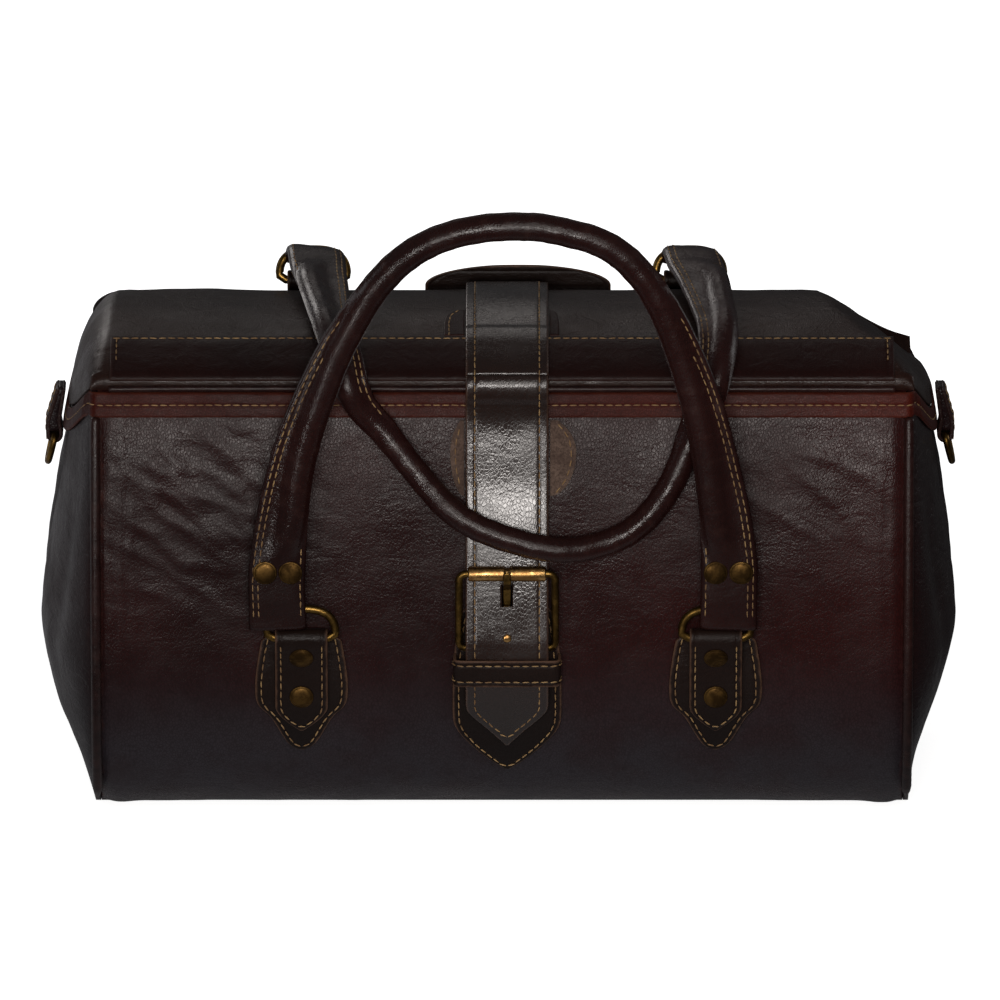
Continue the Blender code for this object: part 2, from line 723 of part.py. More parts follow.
def make_rim_band():
    """The band sewn round the outside of the mouth, along the front and both ends."""
    stop_back = HINGE_BACK * 0.55
    heights = (0.0, 0.5, 1.0)

    def place(base, out, share):
        side, y, z, corner = base
        low = z - RIM_GAP - RIM_BAND_HEIGHT * share
        if not corner:
            reach = PANEL_LENGTH / 2 + GAP + LEATHER
            reach += max(gusset_reach(y, low, side), gusset_reach(y, mouth_height(y), side))
            return (side * (reach + GAP + out), y, low)
        fy = front(low)[0]
        return (side * (PANEL_LENGTH / 2 + GAP + LEATHER + GAP + out), fy - GAP - out, low)

    route = mouth_route(0.0, stop_back)
    outer = [[place(b, RIM_BAND, h) for b in route] for h in heights]
    inner = [[place(b, 0.0, h) for b in route] for h in heights]
    shell("rim_band", outer, inner, "band")


def make_mouth_frame():
    """The flat steel frame inside the mouth: a front bar and two side arms."""
    out = PANEL_LENGTH / 2 - GAP - LINING - GAP - FRAME_THICKNESS / 2 - GAP
    inset = LEATHER + GAP + LINING + GAP + FRAME_THICKNESS / 2
    centre_drop = FRAME_DROP + FRAME_HEIGHT / 2
    route = []
    for y in np.linspace(0, -MOUTH_FRONT + inset * 2 + RIM_GAP, 6):
        route.append((-out, y, mouth_height(y) - centre_drop - RIM_GAP))
    drop_front = MOUTH_HEIGHT - centre_drop
    front_y = front(drop_front - FRAME_HEIGHT / 2)[0] + inset + RIM_GAP
    lean_y = front(drop_front + FRAME_HEIGHT / 2)[0] + inset + RIM_GAP
    y = max(front_y, lean_y)
    route.append((-out, y, drop_front - RIM_GAP))
    route += [(-x, yy, z) for x, yy, z in route[::-1]]
    sections = []
    for i, p in enumerate(route):
        a, b = Vector(route[max(i - 1, 0)]), Vector(route[min(i + 1, len(route) - 1)])
        along = (b - a).normalized()
        before = (Vector(p) - a).normalized() if i else along
        after = (b - Vector(p)).normalized() if i < len(route) - 1 else along
        along = (before + after).normalized()
        side = Vector((along.y, -along.x, 0)).normalized()
        first = Vector((before.y, -before.x, 0)).normalized()
        reach = FRAME_THICKNESS / 2 / max(side.dot(first), 0.5)
        up = Vector((0, 0, FRAME_HEIGHT / 2))
        centre = Vector(p)
        sections.append([centre - side * reach - up, centre + side * reach - up, centre + side * reach + up,
                         centre - side * reach + up])
    swept("mouth_frame", sections, "steel")


def make_hinge_roll():
    """The leather roll along the back's top edge, on the lid's axis."""
    r = HINGE_ROLL_RADIUS
    sections = [
        ring_section((x, HINGE_BACK, HINGE_HEIGHT), (0, 1, 0), (0, 0, 1), r, r, 12)
        for x in np.linspace(PIPING_RADIUS - PANEL_LENGTH / 2, CORNER_SINK_X - PIPING_RADIUS * 4, 5)
    ]
    swept("hinge_roll", sections, "leather")


# Places along the lid from the mouth's edge back to the hinge, as shares of its length
LID_ROW_SHARES = (0, 0.012, 0.03, 0.055, 0.09, 0.14, 0.21, 0.30, 0.42, 0.55, 0.68, 0.79, 0.88, 0.95, 1)


# From the front of the lid to its back: where its top starts to fall away, as shares of half the body's
# length, and how round the fall is. The right end has sunk more than the left one.
LID_CREST_SHARES = {-1: [(0, 0.985), (0.3, 0.965), (1, 0.95)],
                    1: [(0, 0.985), (0.12, 0.94), (0.3, 0.875), (0.5, 0.825), (0.8, 0.79), (1, 0.775)]}
LID_ROUND_SHARES = {-1: [(0, 1.7), (1, 1.7)], 1: [(0, 1.7), (0.3, 1.45), (0.6, 1.2), (1, 1.12)]}


def lid_end(y, side):
    """Where the lid's top starts to fall away towards this end, and the roundness of the fall."""
    share = (y + MOUTH_FRONT) / TOP_DEPTH
    crest = np.interp(share, *zip(*LID_CREST_SHARES[side])) * PANEL_LENGTH / 2
    return crest, np.interp(share, *zip(*LID_ROUND_SHARES[side]))


def lid_row(s, lift=0.0):
    """The lid's cross-section along X at one place along its outline."""
    y, top = LID.at(s, lift)
    edge_y = min(max(y, -MOUTH_FRONT), HINGE_BACK)
    low = mouth_height(edge_y) + LID_GAP
    if y < -MOUTH_FRONT:
        low = top - min(top - LID.points[-1][1], MOUTH_DIP * 0.12)
    if s <= -LID_LENGTH * 0.9:
        low = max(low, HINGE_HEIGHT + HINGE_ROLL_RADIUS + GAP * 2)
    row = []
    for side in (-1, 1):
        swell = gusset_reach(edge_y, mouth_height(edge_y), side)
        reach = PANEL_LENGTH / 2 + LEATHER + LID_SKIRT_PROUD + swell
        crest, power = lid_end(y, side)
        half = []
        for share in (0, 0.12, 0.28, 0.45, 0.62, 0.78, 0.90, 0.97, 1):
            x = crest + (reach - crest) * share
            fall = (1 - share**power) ** (1 / power)
            half.append((side * x, y, min(low, top) + max(top - low, 0) * fall))
        flat = [(side * crest * k, y, top) for k in (0.25, 0.5, 0.75)]
        row.append((flat + half) if side > 0 else (flat + half)[::-1])
    return row[0] + [(0, y, top)] + row[1]


def lid_grid(lift=0.0):
    return [lid_row(-LID_LENGTH * share, lift) for share in LID_ROW_SHARES]


def make_lid_panel(lid):
    outer = lid_grid()
    inner = offset_grid(outer, LID_THICKNESS)
    for row, under in zip(outer, inner):
        for point in under:
            point[2] = max(point[2], min(row[0][2], row[-1][2]))
    for k in range(len(outer[0])):
        inner[-1][k][2] = max(inner[-1][k][2], outer[-1][k][2])
    shell("lid_panel", outer, inner, "leather", lid)


def make_lid_band(lid):
    """The separate leather band along the lid's front edge, from the piping up to its stitch line."""
    first, last = -LID_PIPING_RADIUS * 4, -LID_BAND_DEPTH
    half = LID_BAND_HALF_LENGTH
    lengths = np.linspace(first, last, 14)
    low = [[(x, *LID.at(s, GAP)) for x in np.linspace(-half, half, 5)] for s in lengths]
    high = [[(x, *LID.at(s, GAP + LID_BAND)) for x in np.linspace(-half, half, 5)] for s in lengths]
    shell("lid_band", high, low, "leather", lid)


def make_lid_piping(lid):
    """The corded edge along the lid's front, over the mouth."""
    half = LID_BAND_HALF_LENGTH
    s = -LID_PIPING_RADIUS * 2
    y, z = LID.at(s, LID_PIPING_RADIUS + GAP)
    sections = [
        ring_section((x, y, z), (0, 1, 0), (0, 0, 1), LID_PIPING_RADIUS, LID_PIPING_RADIUS, 10)
        for x in np.linspace(-half, half, 5)
    ]
    swept("lid_piping", sections, "leather", lid)


def make_lid_frame(lid):
    """The flat steel bar round the underside of the lid."""
    z = MOUTH_HEIGHT + RIM_GAP * 2 + LID_FRAME_HEIGHT / 2
    front_y = -MOUTH_FRONT + FRAME_THICKNESS / 2 + RIM_GAP
    half = LID_FRAME_HALF_LENGTH
    route = [(-half, front_y + LID_FRAME_DEPTH, z), (-half, front_y, z), (half, front_y, z),
             (half, front_y + LID_FRAME_DEPTH, z)]
    t, up = FRAME_THICKNESS / 2, Vector((0, 0, LID_FRAME_HEIGHT / 2))
    sides = [Vector((-t, 0, 0)), Vector((-t, -t, 0)), Vector((t, -t, 0)), Vector((t, 0, 0))]
    sections = []
    for p, side in zip(route, sides):
        c = Vector(p)
        sections.append([c - side - up, c + side - up, c + side + up, c - side + up])
    swept("lid_frame", sections, "steel", lid)


def make_lid_lining(lid):
    """The thin panel that lines the lid between the arms of its frame."""
    first, last = lid_at_depth(-MOUTH_FRONT + LID_BAND_DEPTH * 0.75), lid_at_depth(HINGE_BACK * 0.7)
    half = LID_LINING_HALF_LENGTH
    lengths = np.linspace(first, last, 8)
    depth = LID_THICKNESS + GAP * 2
    outer = [[(x, *LID.at(s, -depth)) for x in (-half, half)] for s in lengths]
    inner = [[(x, *LID.at(s, -depth - LID_LINING)) for x in (-half, half)] for s in lengths]
    shell("lid_lining", outer, inner, "lining", lid)


# Outlines of the ears beside the strap: shares of their width, and of their length away from the mouth
LID_EAR_SHARES = [(1, 0), (1, 0.40), (0.97, 0.60), (0.84, 0.80), (0.58, 0.93), (0.25, 0.99), (0, 1), (0, 0)]
GUARD_SHARES = [(0.30, 0), (0.72, 0.14), (0.95, 0.30), (1, 0.46), (0.93, 0.64), (0.70, 0.83), (0.36, 0.96),
                (0, 1), (0, 0)]


def ear_outline(shares, side, base, length, width):
    inner = side * (STRAP_WIDTH / 2 + RIM_GAP)
    return [(STRAP_MIDDLE + inner + side * width * a, base + length * b) for a, b in shares]


def make_lid_ear(name, side, width, lid):
    base = -LID_BAND_DEPTH - RIM_GAP
    outline = ear_outline(LID_EAR_SHARES, side, base, -EAR_LENGTH, width)
    sheet(name, outline, on_bag, GAP, GAP + EAR_THICKNESS, 0.25 * EAR_LENGTH, "leather", lid)


def make_strap_guard(name, side, width):
    base = RIM_BAND_HEIGHT * 1.1 + RIM_GAP * 2
    outline = ear_outline(GUARD_SHARES, side, base, GUARD_LENGTH, width)
    sheet(name, outline, on_body, GAP, GAP + EAR_THICKNESS, 0.2 * GUARD_LENGTH, "suede")


def make_strap_top(lid):
    """The part of the closing strap that is sewn over the lid."""
    half = STRAP_WIDTH / 2
    first = -LID_LENGTH * STRAP_TOP_SHARE
    last = -STRAP_BEND
    lengths = np.linspace(first, last, 34)
    on_band = LID_BAND + GAP * 2.5
    down = -LID_BAND_DEPTH - STRAP_THICKNESS
    lifts = np.interp(lengths, [down - STRAP_THICKNESS * 2, down, last], [GAP * 1.5, on_band, on_band])
    edges = (STRAP_MIDDLE - half, STRAP_MIDDLE + half)
    under = [[(x, *OVERALL.at(s, low)) for x in edges] for s, low in zip(lengths, lifts)]
    over = [[(x, *OVERALL.at(s, low + STRAP_THICKNESS)) for x in edges] for s, low in zip(lengths, lifts)]
    shell("strap_top", over, under, "leather", lid)


STRAP_BEND = float(LID_PIPING_RADIUS * 5)
STRAP_TOP_SHARE = 0.9
LOOP_REACH = BUCKLE_WIRE_RADIUS + GAP * 1.3 + BUCKLE_CHAPE
BAR_LIFT = PATCH_THICKNESS + GAP * 1.5 + LOOP_REACH
STRAP_LIFT_AT_BAR = BAR_LIFT + LOOP_REACH + GAP * 2
STRAP_LIFT_AT_ROLLER = PATCH_THICKNESS * 2.5
ROLLER_LIFT = STRAP_LIFT_AT_ROLLER + STRAP_THICKNESS + GAP * 1.5 + ROLLER_RADIUS


def strap_lift(s):
    """How far the strap's under side stands off the bag, from the lid's edge down to its tip."""
    over_piping = LID_PIPING_RADIUS * 2 + GAP * 2.5
    stations = [
        (-STRAP_BEND, LID_BAND + GAP * 2), (-LID_PIPING_RADIUS * 3.2, over_piping - GAP),
        (-LID_PIPING_RADIUS * 2, over_piping), (0.0, over_piping),
        (RIM_BAND_HEIGHT * 0.5, RIM_BAND + RIM_GAP * 1.5), (RIM_BAND_HEIGHT * 1.2, RIM_BAND + RIM_GAP),
        (BODY.length_at_height(BUCKLE_ROLLER_HEIGHT + BELLY_HEIGHT * 0.45), RIM_GAP * 2),
        (BODY.length_at_height(BUCKLE_ROLLER_HEIGHT), STRAP_LIFT_AT_ROLLER),
        (BODY.length_at_height(BUCKLE_BAR_HEIGHT + LOOP_REACH), STRAP_LIFT_AT_BAR),
        (BODY.length_at_height(KEEPER_TOP), STRAP_LIFT_AT_BAR),
        (BODY.length_at_height(KEEPER_TOP - KEEPER_HEIGHT), STRAP_LIFT_AT_BAR - BUCKLE_CHAPE),
        (BODY.length_at_height(STRAP_TIP_HEIGHT + STRAP_POINT_LENGTH * 0.4), PATCH_THICKNESS + RIM_GAP),
        (BODY.length_at_height(STRAP_TIP_HEIGHT) + STRAP_WIDTH, PATCH_THICKNESS + RIM_GAP),
    ]
    return float(np.interp(s, [a for a, _ in stations], [b for _, b in stations]))


def make_strap_tail(carrier):
    """The free front end of the strap, from the lid's edge under the roller and through the keeper."""
    half = STRAP_WIDTH / 2
    first = -STRAP_BEND + RIM_GAP
    tip = BODY.length_at_height(STRAP_TIP_HEIGHT)
    shoulder = tip - STRAP_POINT_LENGTH
    round_off = tip - STRAP_POINT_LENGTH * 0.38
    shape = [(-half, first), (half, first), (half, shoulder), (half * 0.55, round_off), (0, tip),
             (-half * 0.55, round_off), (-half, shoulder)]
    outline = [(STRAP_MIDDLE + x, s) for x, s in shape]
    tail = sheet(
        "strap_tail", outline, draped, strap_lift, lambda s: strap_lift(s) + STRAP_THICKNESS,
        STRAP_THICKNESS * 2.2, "leather", carrier, np.linspace(first, RIM_BAND_HEIGHT * 0.5, 9)[1:],
    )
    slot_height = (BUCKLE_BAR_HEIGHT + BUCKLE_ROLLER_HEIGHT) / 2 + TONGUE_SLOT_LENGTH * 0.25
    slot_middle = BODY.length_at_height(slot_height)
    slot_half = TONGUE_SLOT_WIDTH / 2
    lift = strap_lift(slot_middle)
    corners = []
    for along in (slot_middle - TONGUE_SLOT_LENGTH / 2, slot_middle + TONGUE_SLOT_LENGTH / 2):
        for high in (lift - STRAP_THICKNESS * 2, lift + STRAP_THICKNESS * 3):
            for x in (-slot_half, slot_half):
                corners.append(draped(STRAP_MIDDLE + x, along, high))
    box = [(0, 1, 3, 2), (4, 6, 7, 5), (0, 4, 5, 1), (2, 3, 7, 6), (0, 2, 6, 4), (1, 5, 7, 3)]
    cut(tail, "tongue_slot", corners, box, carrier)
    at = BODY.length_at_height(STUD_HEIGHT)
    top = strap_lift(at) + STRAP_THICKNESS
    head = Vector(draped(STRAP_MIDDLE, at, top + GAP * 1.6))
    above = Vector(draped(STRAP_MIDDLE, at, top + GAP * 1.6 + STUD_RADIUS))
    seat = draped(STRAP_MIDDLE, at, top)
    drill(tail, "stud_hole", seat, above - head, STRAP_THICKNESS * 0.7, carrier, STUD_RADIUS * 0.3)
    rivet("strap_stud", head, above - head, STRAP_THICKNESS * 0.5, carrier, STUD_RADIUS, STUD_RADIUS * 0.55)


def point_patch(width, top, tip, belly_share):
    """A pattern piece with a rounded top and a long point, as (across, along)."""
    upper, lower = BODY.length_at_height(top), BODY.length_at_height(tip)
    length = lower - upper
    half = width / 2
    shares = [
        (0.74, 0.00), (0.88, 0.06), (0.98, 0.30), (1.00, belly_share), (0.93, belly_share + 0.11),
        (0.66, belly_share + 0.22), (0.30, 0.93), (0.0, 1.00),
    ]
    right = [(half * a, upper + length * b) for a, b in shares]
    return right + [(-x, s) for x, s in right[-2::-1]]


def make_buckle_patch():
    shape = point_patch(BUCKLE_PATCH_WIDTH, BUCKLE_PATCH_TOP, BUCKLE_PATCH_TIP, 0.60)
    outline = [(STRAP_MIDDLE + x, s) for x, s in shape]
    sheet("buckle_patch", outline, on_body, GAP, PATCH_THICKNESS, BUCKLE_PATCH_WIDTH * 0.13, "leather")


def buckle_bar():
    return Vector((STRAP_MIDDLE, *front(BUCKLE_BAR_HEIGHT, BAR_LIFT)))


def buckle_top():
    return Vector((STRAP_MIDDLE, *front(BUCKLE_ROLLER_HEIGHT, ROLLER_LIFT)))


def folded_path(bar, back_end, radius, front_points, turn=7):
    """A strap's centre line: up behind a bar, over it, and down in front. Its ends are (y, z) pairs."""
    towards = Vector((0, -1, 0))
    up = Vector((0, 0, 1))
    path = [Vector((bar.x, *p)) for p in back_end]
    for k in range(turn + 1):
        a = math.pi * k / turn
        path.append(bar + towards * (-math.cos(a) * radius) + up * (math.sin(a) * radius))
    return path + [Vector((bar.x, *p)) for p in front_points]


def make_buckle_chape():
    """The short folded strap that holds the buckle's bar to the patch."""
    bar = buckle_bar()
    radius = LOOP_REACH - BUCKLE_CHAPE / 2
    low = BAR_LIFT - radius
    back = [front(height, low) for height in np.linspace(BUCKLE_CHAPE_END_HEIGHT, BUCKLE_BAR_HEIGHT, 4)[:-1]]
    ahead = [front(BUCKLE_CHAPE_END_HEIGHT + BUCKLE_CHAPE * 2, BAR_LIFT + radius - BUCKLE_CHAPE * 1.3)]
    path = folded_path(bar, back, radius, ahead)
    half = BUCKLE_CHAPE_WIDTH / 2
    chape = swept("buckle_chape", flat_sections(path, (1, 0, 0), [half] * len(path), BUCKLE_CHAPE), "leather")
    slot = TONGUE_HALF_WIDTH + GAP * 4
    low_z, high_z = bar.z - radius * 1.7, bar.z + radius * 2
    depths = (bar.y - radius * 2, bar.y + radius * 2)
    corners = [(bar.x + x, y, z) for y in depths for z in (low_z, high_z) for x in (-slot, slot)]
    box = [(0, 1, 3, 2), (4, 6, 7, 5), (0, 4, 5, 1), (2, 3, 7, 6), (0, 2, 6, 4), (1, 5, 7, 3)]
    cut(chape, "chape_slot", corners, box)


def make_keeper():
    """The loop over the strap's end: a front band with a leg down to the patch at each side."""
    half = KEEPER_WIDTH / 2 - KEEPER_THICKNESS / 2
    rows = []
    for share in (0, 0.5, 1):
        height = KEEPER_TOP - KEEPER_HEIGHT * share
        s = BODY.length_at_height(height)
        top = strap_lift(s) + STRAP_THICKNESS + GAP * 2 + KEEPER_THICKNESS / 2
        foot = PATCH_THICKNESS + GAP
        bend = KEEPER_THICKNESS
        rows.append((s, [(-half, foot), (-half, top - bend), (-half + bend, top), (0, top + bend * 0.2),
                         (half - bend, top), (half, top - bend), (half, foot)]))
    outer, inner = [], []
    for s, line in rows:
        p = np.array(line)
        way = np.gradient(p, axis=0)
        way /= np.linalg.norm(way, axis=1, keepdims=True)
        normal = np.stack([-way[:, 1], way[:, 0]], axis=1)
        wide = KEEPER_THICKNESS / 2
        for grid, way in ((outer, 1), (inner, -1)):
            moved = p + normal * (wide * way)
            grid.append([on_body(STRAP_MIDDLE + x, s, lift) for x, lift in moved])
    shell("keeper_loop", outer, inner, "leather")


def make_buckle(frame, roller_axis, tongue_axis):
    """The brass frame, the roller on its upper bar and the tongue on its lower one."""
    bar, top = buckle_bar(), buckle_top()
    up = (top - bar).normalized()
    height = (top - bar).length
    across = Vector((1, 0, 0))
    out = across.cross(up)
    half, corner = BUCKLE_HALF_WIDTH, BUCKLE_CORNER
    path = []
    for cx, cy, start in ((half, height, 0), (-half, height, 90), (-half, 0, 180), (half, 0, 270)):
        inner_x = cx - math.copysign(corner, cx)
        inner_y = cy - (corner if cy else -corner)
        for k in range(4):
            a = math.radians(start + 30 * k)
            x, y = inner_x + corner * math.cos(a), inner_y + corner * math.sin(a)
            path.append(bar + across * x + up * y)
    sections = []
    for i, p in enumerate(path):
        along = (path[(i + 1) % len(path)] - path[i - 1]).normalized()
        side = along.cross(out).normalized()
        sections.append(ring_section(p, side, out, BUCKLE_WIRE_RADIUS, BUCKLE_WIRE_RADIUS, 8))
    swept("buckle_frame", sections, "brass", frame, closed=True)

    hole = BUCKLE_WIRE_RADIUS + GAP
    segments = 16
    stations = []
    for x_share, r in ((-1, hole), (-1, ROLLER_RADIUS), (-0.06, ROLLER_RADIUS), (0, ROLLER_RADIUS * 0.93),
                       (0.06, ROLLER_RADIUS), (1, ROLLER_RADIUS), (1, hole)):
        centre = top + across * (ROLLER_LENGTH / 2 * x_share)
        stations.append(ring_section(centre, out, up, r, r, segments))
    swept("buckle_roller", stations, "brass", roller_axis, closed=True)

    thick = TONGUE_THICKNESS
    loop = BUCKLE_WIRE_RADIUS + GAP + thick / 2
    middle = []
    for k in range(10):
        a = math.radians(-60 - 270 * k / 9)
        middle.append(bar + out * (loop * math.cos(a)) + up * (loop * math.sin(a)))
    rise = ROLLER_RADIUS + GAP + thick / 2
    behind, ahead = -GAP * 2 - thick / 2, STRAP_THICKNESS + GAP * 3 + thick / 2
    through = (behind + ahead) / 2
    for share, lift in ((0.20, behind), (0.30, behind), (0.42, behind), (0.62, through), (0.80, ahead)):
        level = BUCKLE_BAR_HEIGHT + (BUCKLE_ROLLER_HEIGHT - BUCKLE_BAR_HEIGHT) * share
        middle.append(Vector((bar.x, *front(level, strap_lift(BODY.length_at_height(level)) + lift))))
    middle += [bar + up * (height * a) + out * (rise * b) for a, b in ((0.93, 1.0), (1.0, 1.04))]
    middle.append(bar + up * (height + ROLLER_RADIUS * 0.75) + out * rise)
    widths = [TONGUE_HALF_WIDTH] * (len(middle) - 1) + [TONGUE_HALF_WIDTH * 0.7]
    swept("buckle_tongue", flat_sections(middle, across, widths, thick), "brass", tongue_axis)


def ring_path(bar_centre, up):
    """A D-ring's centre line: a straight bar along X and a round bow above it."""
    half, rise = RING_WIDTH / 2 - RING_WIRE_RADIUS, RING_DEPTH - RING_WIRE_RADIUS * 2
    across = Vector((1, 0, 0))
    c, u = Vector(bar_centre), Vector(up).normalized()
    path = [c + across * (half * share) for share in (-0.8, 0, 0.8)]
    for k in range(13):
        a = math.pi * k / 12
        reach = half * math.copysign(abs(math.cos(a)) ** 0.75, math.cos(a))
        path.append(c + across * reach + u * (rise * (0.14 + 0.86 * math.sin(a) ** 0.8)))
    return path


def make_ring(name, bar_centre, up, carrier):
    path = ring_path(bar_centre, up)
    swept(name, tube_sections(path, RING_WIRE_RADIUS, 8, closed=True), "brass", carrier, closed=True)
    return path


def cut_ring_hole(handle, name, path, carrier):
    sections = tube_sections(path, RING_WIRE_RADIUS + GAP * 1.5, 8, closed=True)
    cut(handle, name, *swept(None, sections, None, closed=True), carrier)


# The front handle's centre line: shares of its half span and of its rise above the rings, from left to right
HANDLE_SHARES = [
    (-1.0, 0.025), (-1.003, 0.085), (-1.004, 0.16), (-0.985, 0.27), (-0.951, 0.387), (-0.902, 0.49),
    (-0.839, 0.583), (-0.755, 0.688), (-0.659, 0.779), (-0.562, 0.856), (-0.457, 0.916), (-0.345, 0.957),
    (-0.225, 0.983), (-0.095, 0.998), (0.036, 1.003), (0.172, 1.0), (0.305, 0.985), (0.425, 0.965),
    (0.534, 0.928), (0.630, 0.872), (0.712, 0.802), (0.782, 0.72), (0.846, 0.629), (0.903, 0.525),
    (0.950, 0.41), (0.985, 0.30), (1.003, 0.19), (1.003, 0.10), (1.0, 0.025),
]
# Along a handle, from its end to its middle: how much of the strap's edge is left, and how far it has rolled
HANDLE_EDGE_SHARES = [(0, 1), (0.12, 1), (0.31, 0.62), (0.49, 0.38), (0.60, 0.18), (0.70, 0)]
HANDLE_ROLL_SHARES = [(0, 0), (0.13, 0), (0.22, 0.4), (0.34, 1)]


def handle_section_sizes(share, radius):
    """Half width and half thickness of a handle: a flat folded strap at its ends, rolled in the middle."""
    edge = float(np.interp(share, *zip(*HANDLE_EDGE_SHARES)))
    rolled = float(np.interp(share, *zip(*HANDLE_ROLL_SHARES)))
    return (
        radius + (HANDLE_STRAP_HALF_WIDTH - radius) * edge,
        HANDLE_STRAP_HALF_THICKNESS + (radius - HANDLE_STRAP_HALF_THICKNESS) * rolled,
        3.2 - 1.2 * rolled,
    )


def make_front_handle(swing, bar):
    """The upright handle, its two rings and its rivets."""
    up = Vector((0, math.sin(HANDLE_LEAN), math.cos(HANDLE_LEAN)))
    across = Vector((1, 0, 0))
    out = Vector((0, -math.cos(HANDLE_LEAN), math.sin(HANDLE_LEAN)))
    line = smooth_curve([(HANDLE_HALF_SPAN * a, HANDLE_RISE * b) for a, b in HANDLE_SHARES], 2)
    middle = Vector((HANDLE_MIDDLE, bar.y - HANDLE_FORWARD, bar.z))
    path = [middle + across * x + up * h for x, h in line]
    total = len(path) - 1
    run = [0.0]
    for a, b in zip(path, path[1:]):
        run.append(run[-1] + (b - a).length)
    sections = []
    for i, p in enumerate(path):
        along = (path[min(i + 1, total)] - path[max(i - 1, 0)]).normalized()
        side = along.cross(out).normalized()
        share = min(run[i], run[-1] - run[i]) / (run[-1] / 2)
        w, t, power = handle_section_sizes(share, HANDLE_RADIUS)
        sections.append(ring_section(p, side, out, w, t, 10, power))
    handle = swept("front_handle", sections, "leather", swing)
    for side, x in (("left", FRONT_RING_LEFT), ("right", FRONT_RING_RIGHT)):
        ring = make_ring(f"front_ring_{side}", (x, bar.y, bar.z), up, swing)
        cut_ring_hole(handle, f"front_ring_{side}_hole", ring, swing)
        leg = -HANDLE_HALF_SPAN if side == "left" else HANDLE_HALF_SPAN
        for k, place in ((1, -1), (2, 1)):
            spot = middle + across * (leg + place * HANDLE_RIVET_SPREAD) + up * HANDLE_RIVET_RISE
            face = spot + out * HANDLE_STRAP_HALF_THICKNESS
            name = f"front_handle_rivet_{side}_{k}"
            drill(handle, name + "_hole", face, out, RIVET_SHANK + GAP, swing)
            rivet(name, face + out * GAP, out, RIVET_SHANK, swing)


def make_front_mounting(side, x, bar):
    """The pointed patch, the folded chape round the ring's bar and the chape's two rivets."""
    patch = [(x + a, b) for a, b in point_patch(FRONT_PATCH_WIDTH, FRONT_PATCH_TOP, FRONT_PATCH_TIP, 0.47)]
    sheet(f"front_patch_{side}", patch, on_body, GAP, PATCH_THICKNESS, FRONT_PATCH_WIDTH * 0.16, "leather")
    t = CHAPE_LEATHER
    radius = RING_WIRE_RADIUS + GAP * 1.5 + t / 2
    back_lift = PATCH_THICKNESS + GAP + t / 2
    low_lift = PATCH_THICKNESS + GAP + t / 2
    back = [front(CHAPE_RIVET_TOP, back_lift), front((CHAPE_RIVET_TOP + RING_BAR_HEIGHT) / 2, back_lift)]
    seats = {
        1: (front(CHAPE_RIVET_TOP + CHAPE_RIVET_SEAT, low_lift + t * 2.9),
            front(CHAPE_RIVET_TOP - CHAPE_RIVET_SEAT, low_lift + t * 0.45)),
        2: (front(CHAPE_RIVET_BOTTOM + CHAPE_RIVET_SEAT, low_lift + GAP),
            front(CHAPE_RIVET_BOTTOM - CHAPE_RIVET_SEAT, low_lift + GAP)),
    }
    ahead = [
        *seats[1], *seats[2],
        front(CHAPE_TIP_HEIGHT + CHAPE_HALF_WIDTH * 0.9, low_lift),
        front(CHAPE_TIP_HEIGHT + CHAPE_HALF_WIDTH * 0.3, low_lift),
        front(CHAPE_TIP_HEIGHT, low_lift),
    ]
    path = folded_path(Vector((x, bar.y, bar.z)), back, radius, ahead)
    widths = [CHAPE_HALF_WIDTH] * (len(path) - 2) + [CHAPE_HALF_WIDTH * 0.5, CHAPE_HALF_WIDTH * 0.06]
    chape = swept(f"front_chape_{side}", flat_sections(path, (1, 0, 0), widths, t), "leather")
    for k, (upper, lower) in seats.items():
        spot = Vector((x, *((upper + lower) / 2)))
        outward = Vector((0, *(upper - lower))).cross(Vector((1, 0, 0))).normalized()
        outward = outward if outward.y < 0 else -outward
        face = spot + outward * (t / 2)
        name = f"front_chape_rivet_{side}_{k}"
        drill(chape, name + "_hole", face, outward, t * 0.8)
        rivet(name, face + outward * GAP, outward, t * 0.55)


def ring_bar():
    lift = PATCH_THICKNESS + GAP + CHAPE_LEATHER + GAP * 1.5 + RING_WIRE_RADIUS + GAP
    return Vector((0, *front(RING_BAR_HEIGHT, lift)))


def rear_bar():
    """The rear rings' bar, behind and just above the lid's rear edge."""
    s = -LID_LENGTH * 0.93
    lift = CHAPE_LEATHER + GAP * 3 + RING_WIRE_RADIUS
    return Vector((0, *LID.at(s, lift)))


# The rear handle's lay: shares of half a handle's span, with shares of the lid's length or of the way up
# from the buckle's roller to the mouth
LAY_LEFT_SHARES = [(-0.834, -0.86), (-0.825, -0.76), (-0.812, -0.64), (-0.789, -0.50), (-0.767, -0.34),
                   (-0.740, -0.19), (-0.695, -0.07)]
LAY_FRONT_SHARES = [(-0.601, 0.9078), (-0.493, 0.7235), (-0.359, 0.5155), (-0.193, 0.3075), (0.036, 0.1825),
                    (0.314, 0.1206), (0.574, 0.2154), (0.749, 0.4734), (0.843, 0.7683), (0.890, 0.9368)]
LAY_RIGHT_SHARES = [(0.949, -0.07), (0.960, -0.19), (0.946, -0.34), (0.919, -0.50), (0.892, -0.64),
                    (0.865, -0.76), (0.848, -0.86)]
REAR_RISE_SHARES = [(-0.93, 0.092), (-0.86, 0.085), (-0.76, 0.050), (-0.64, 0.020), (-0.50, 0.0)]


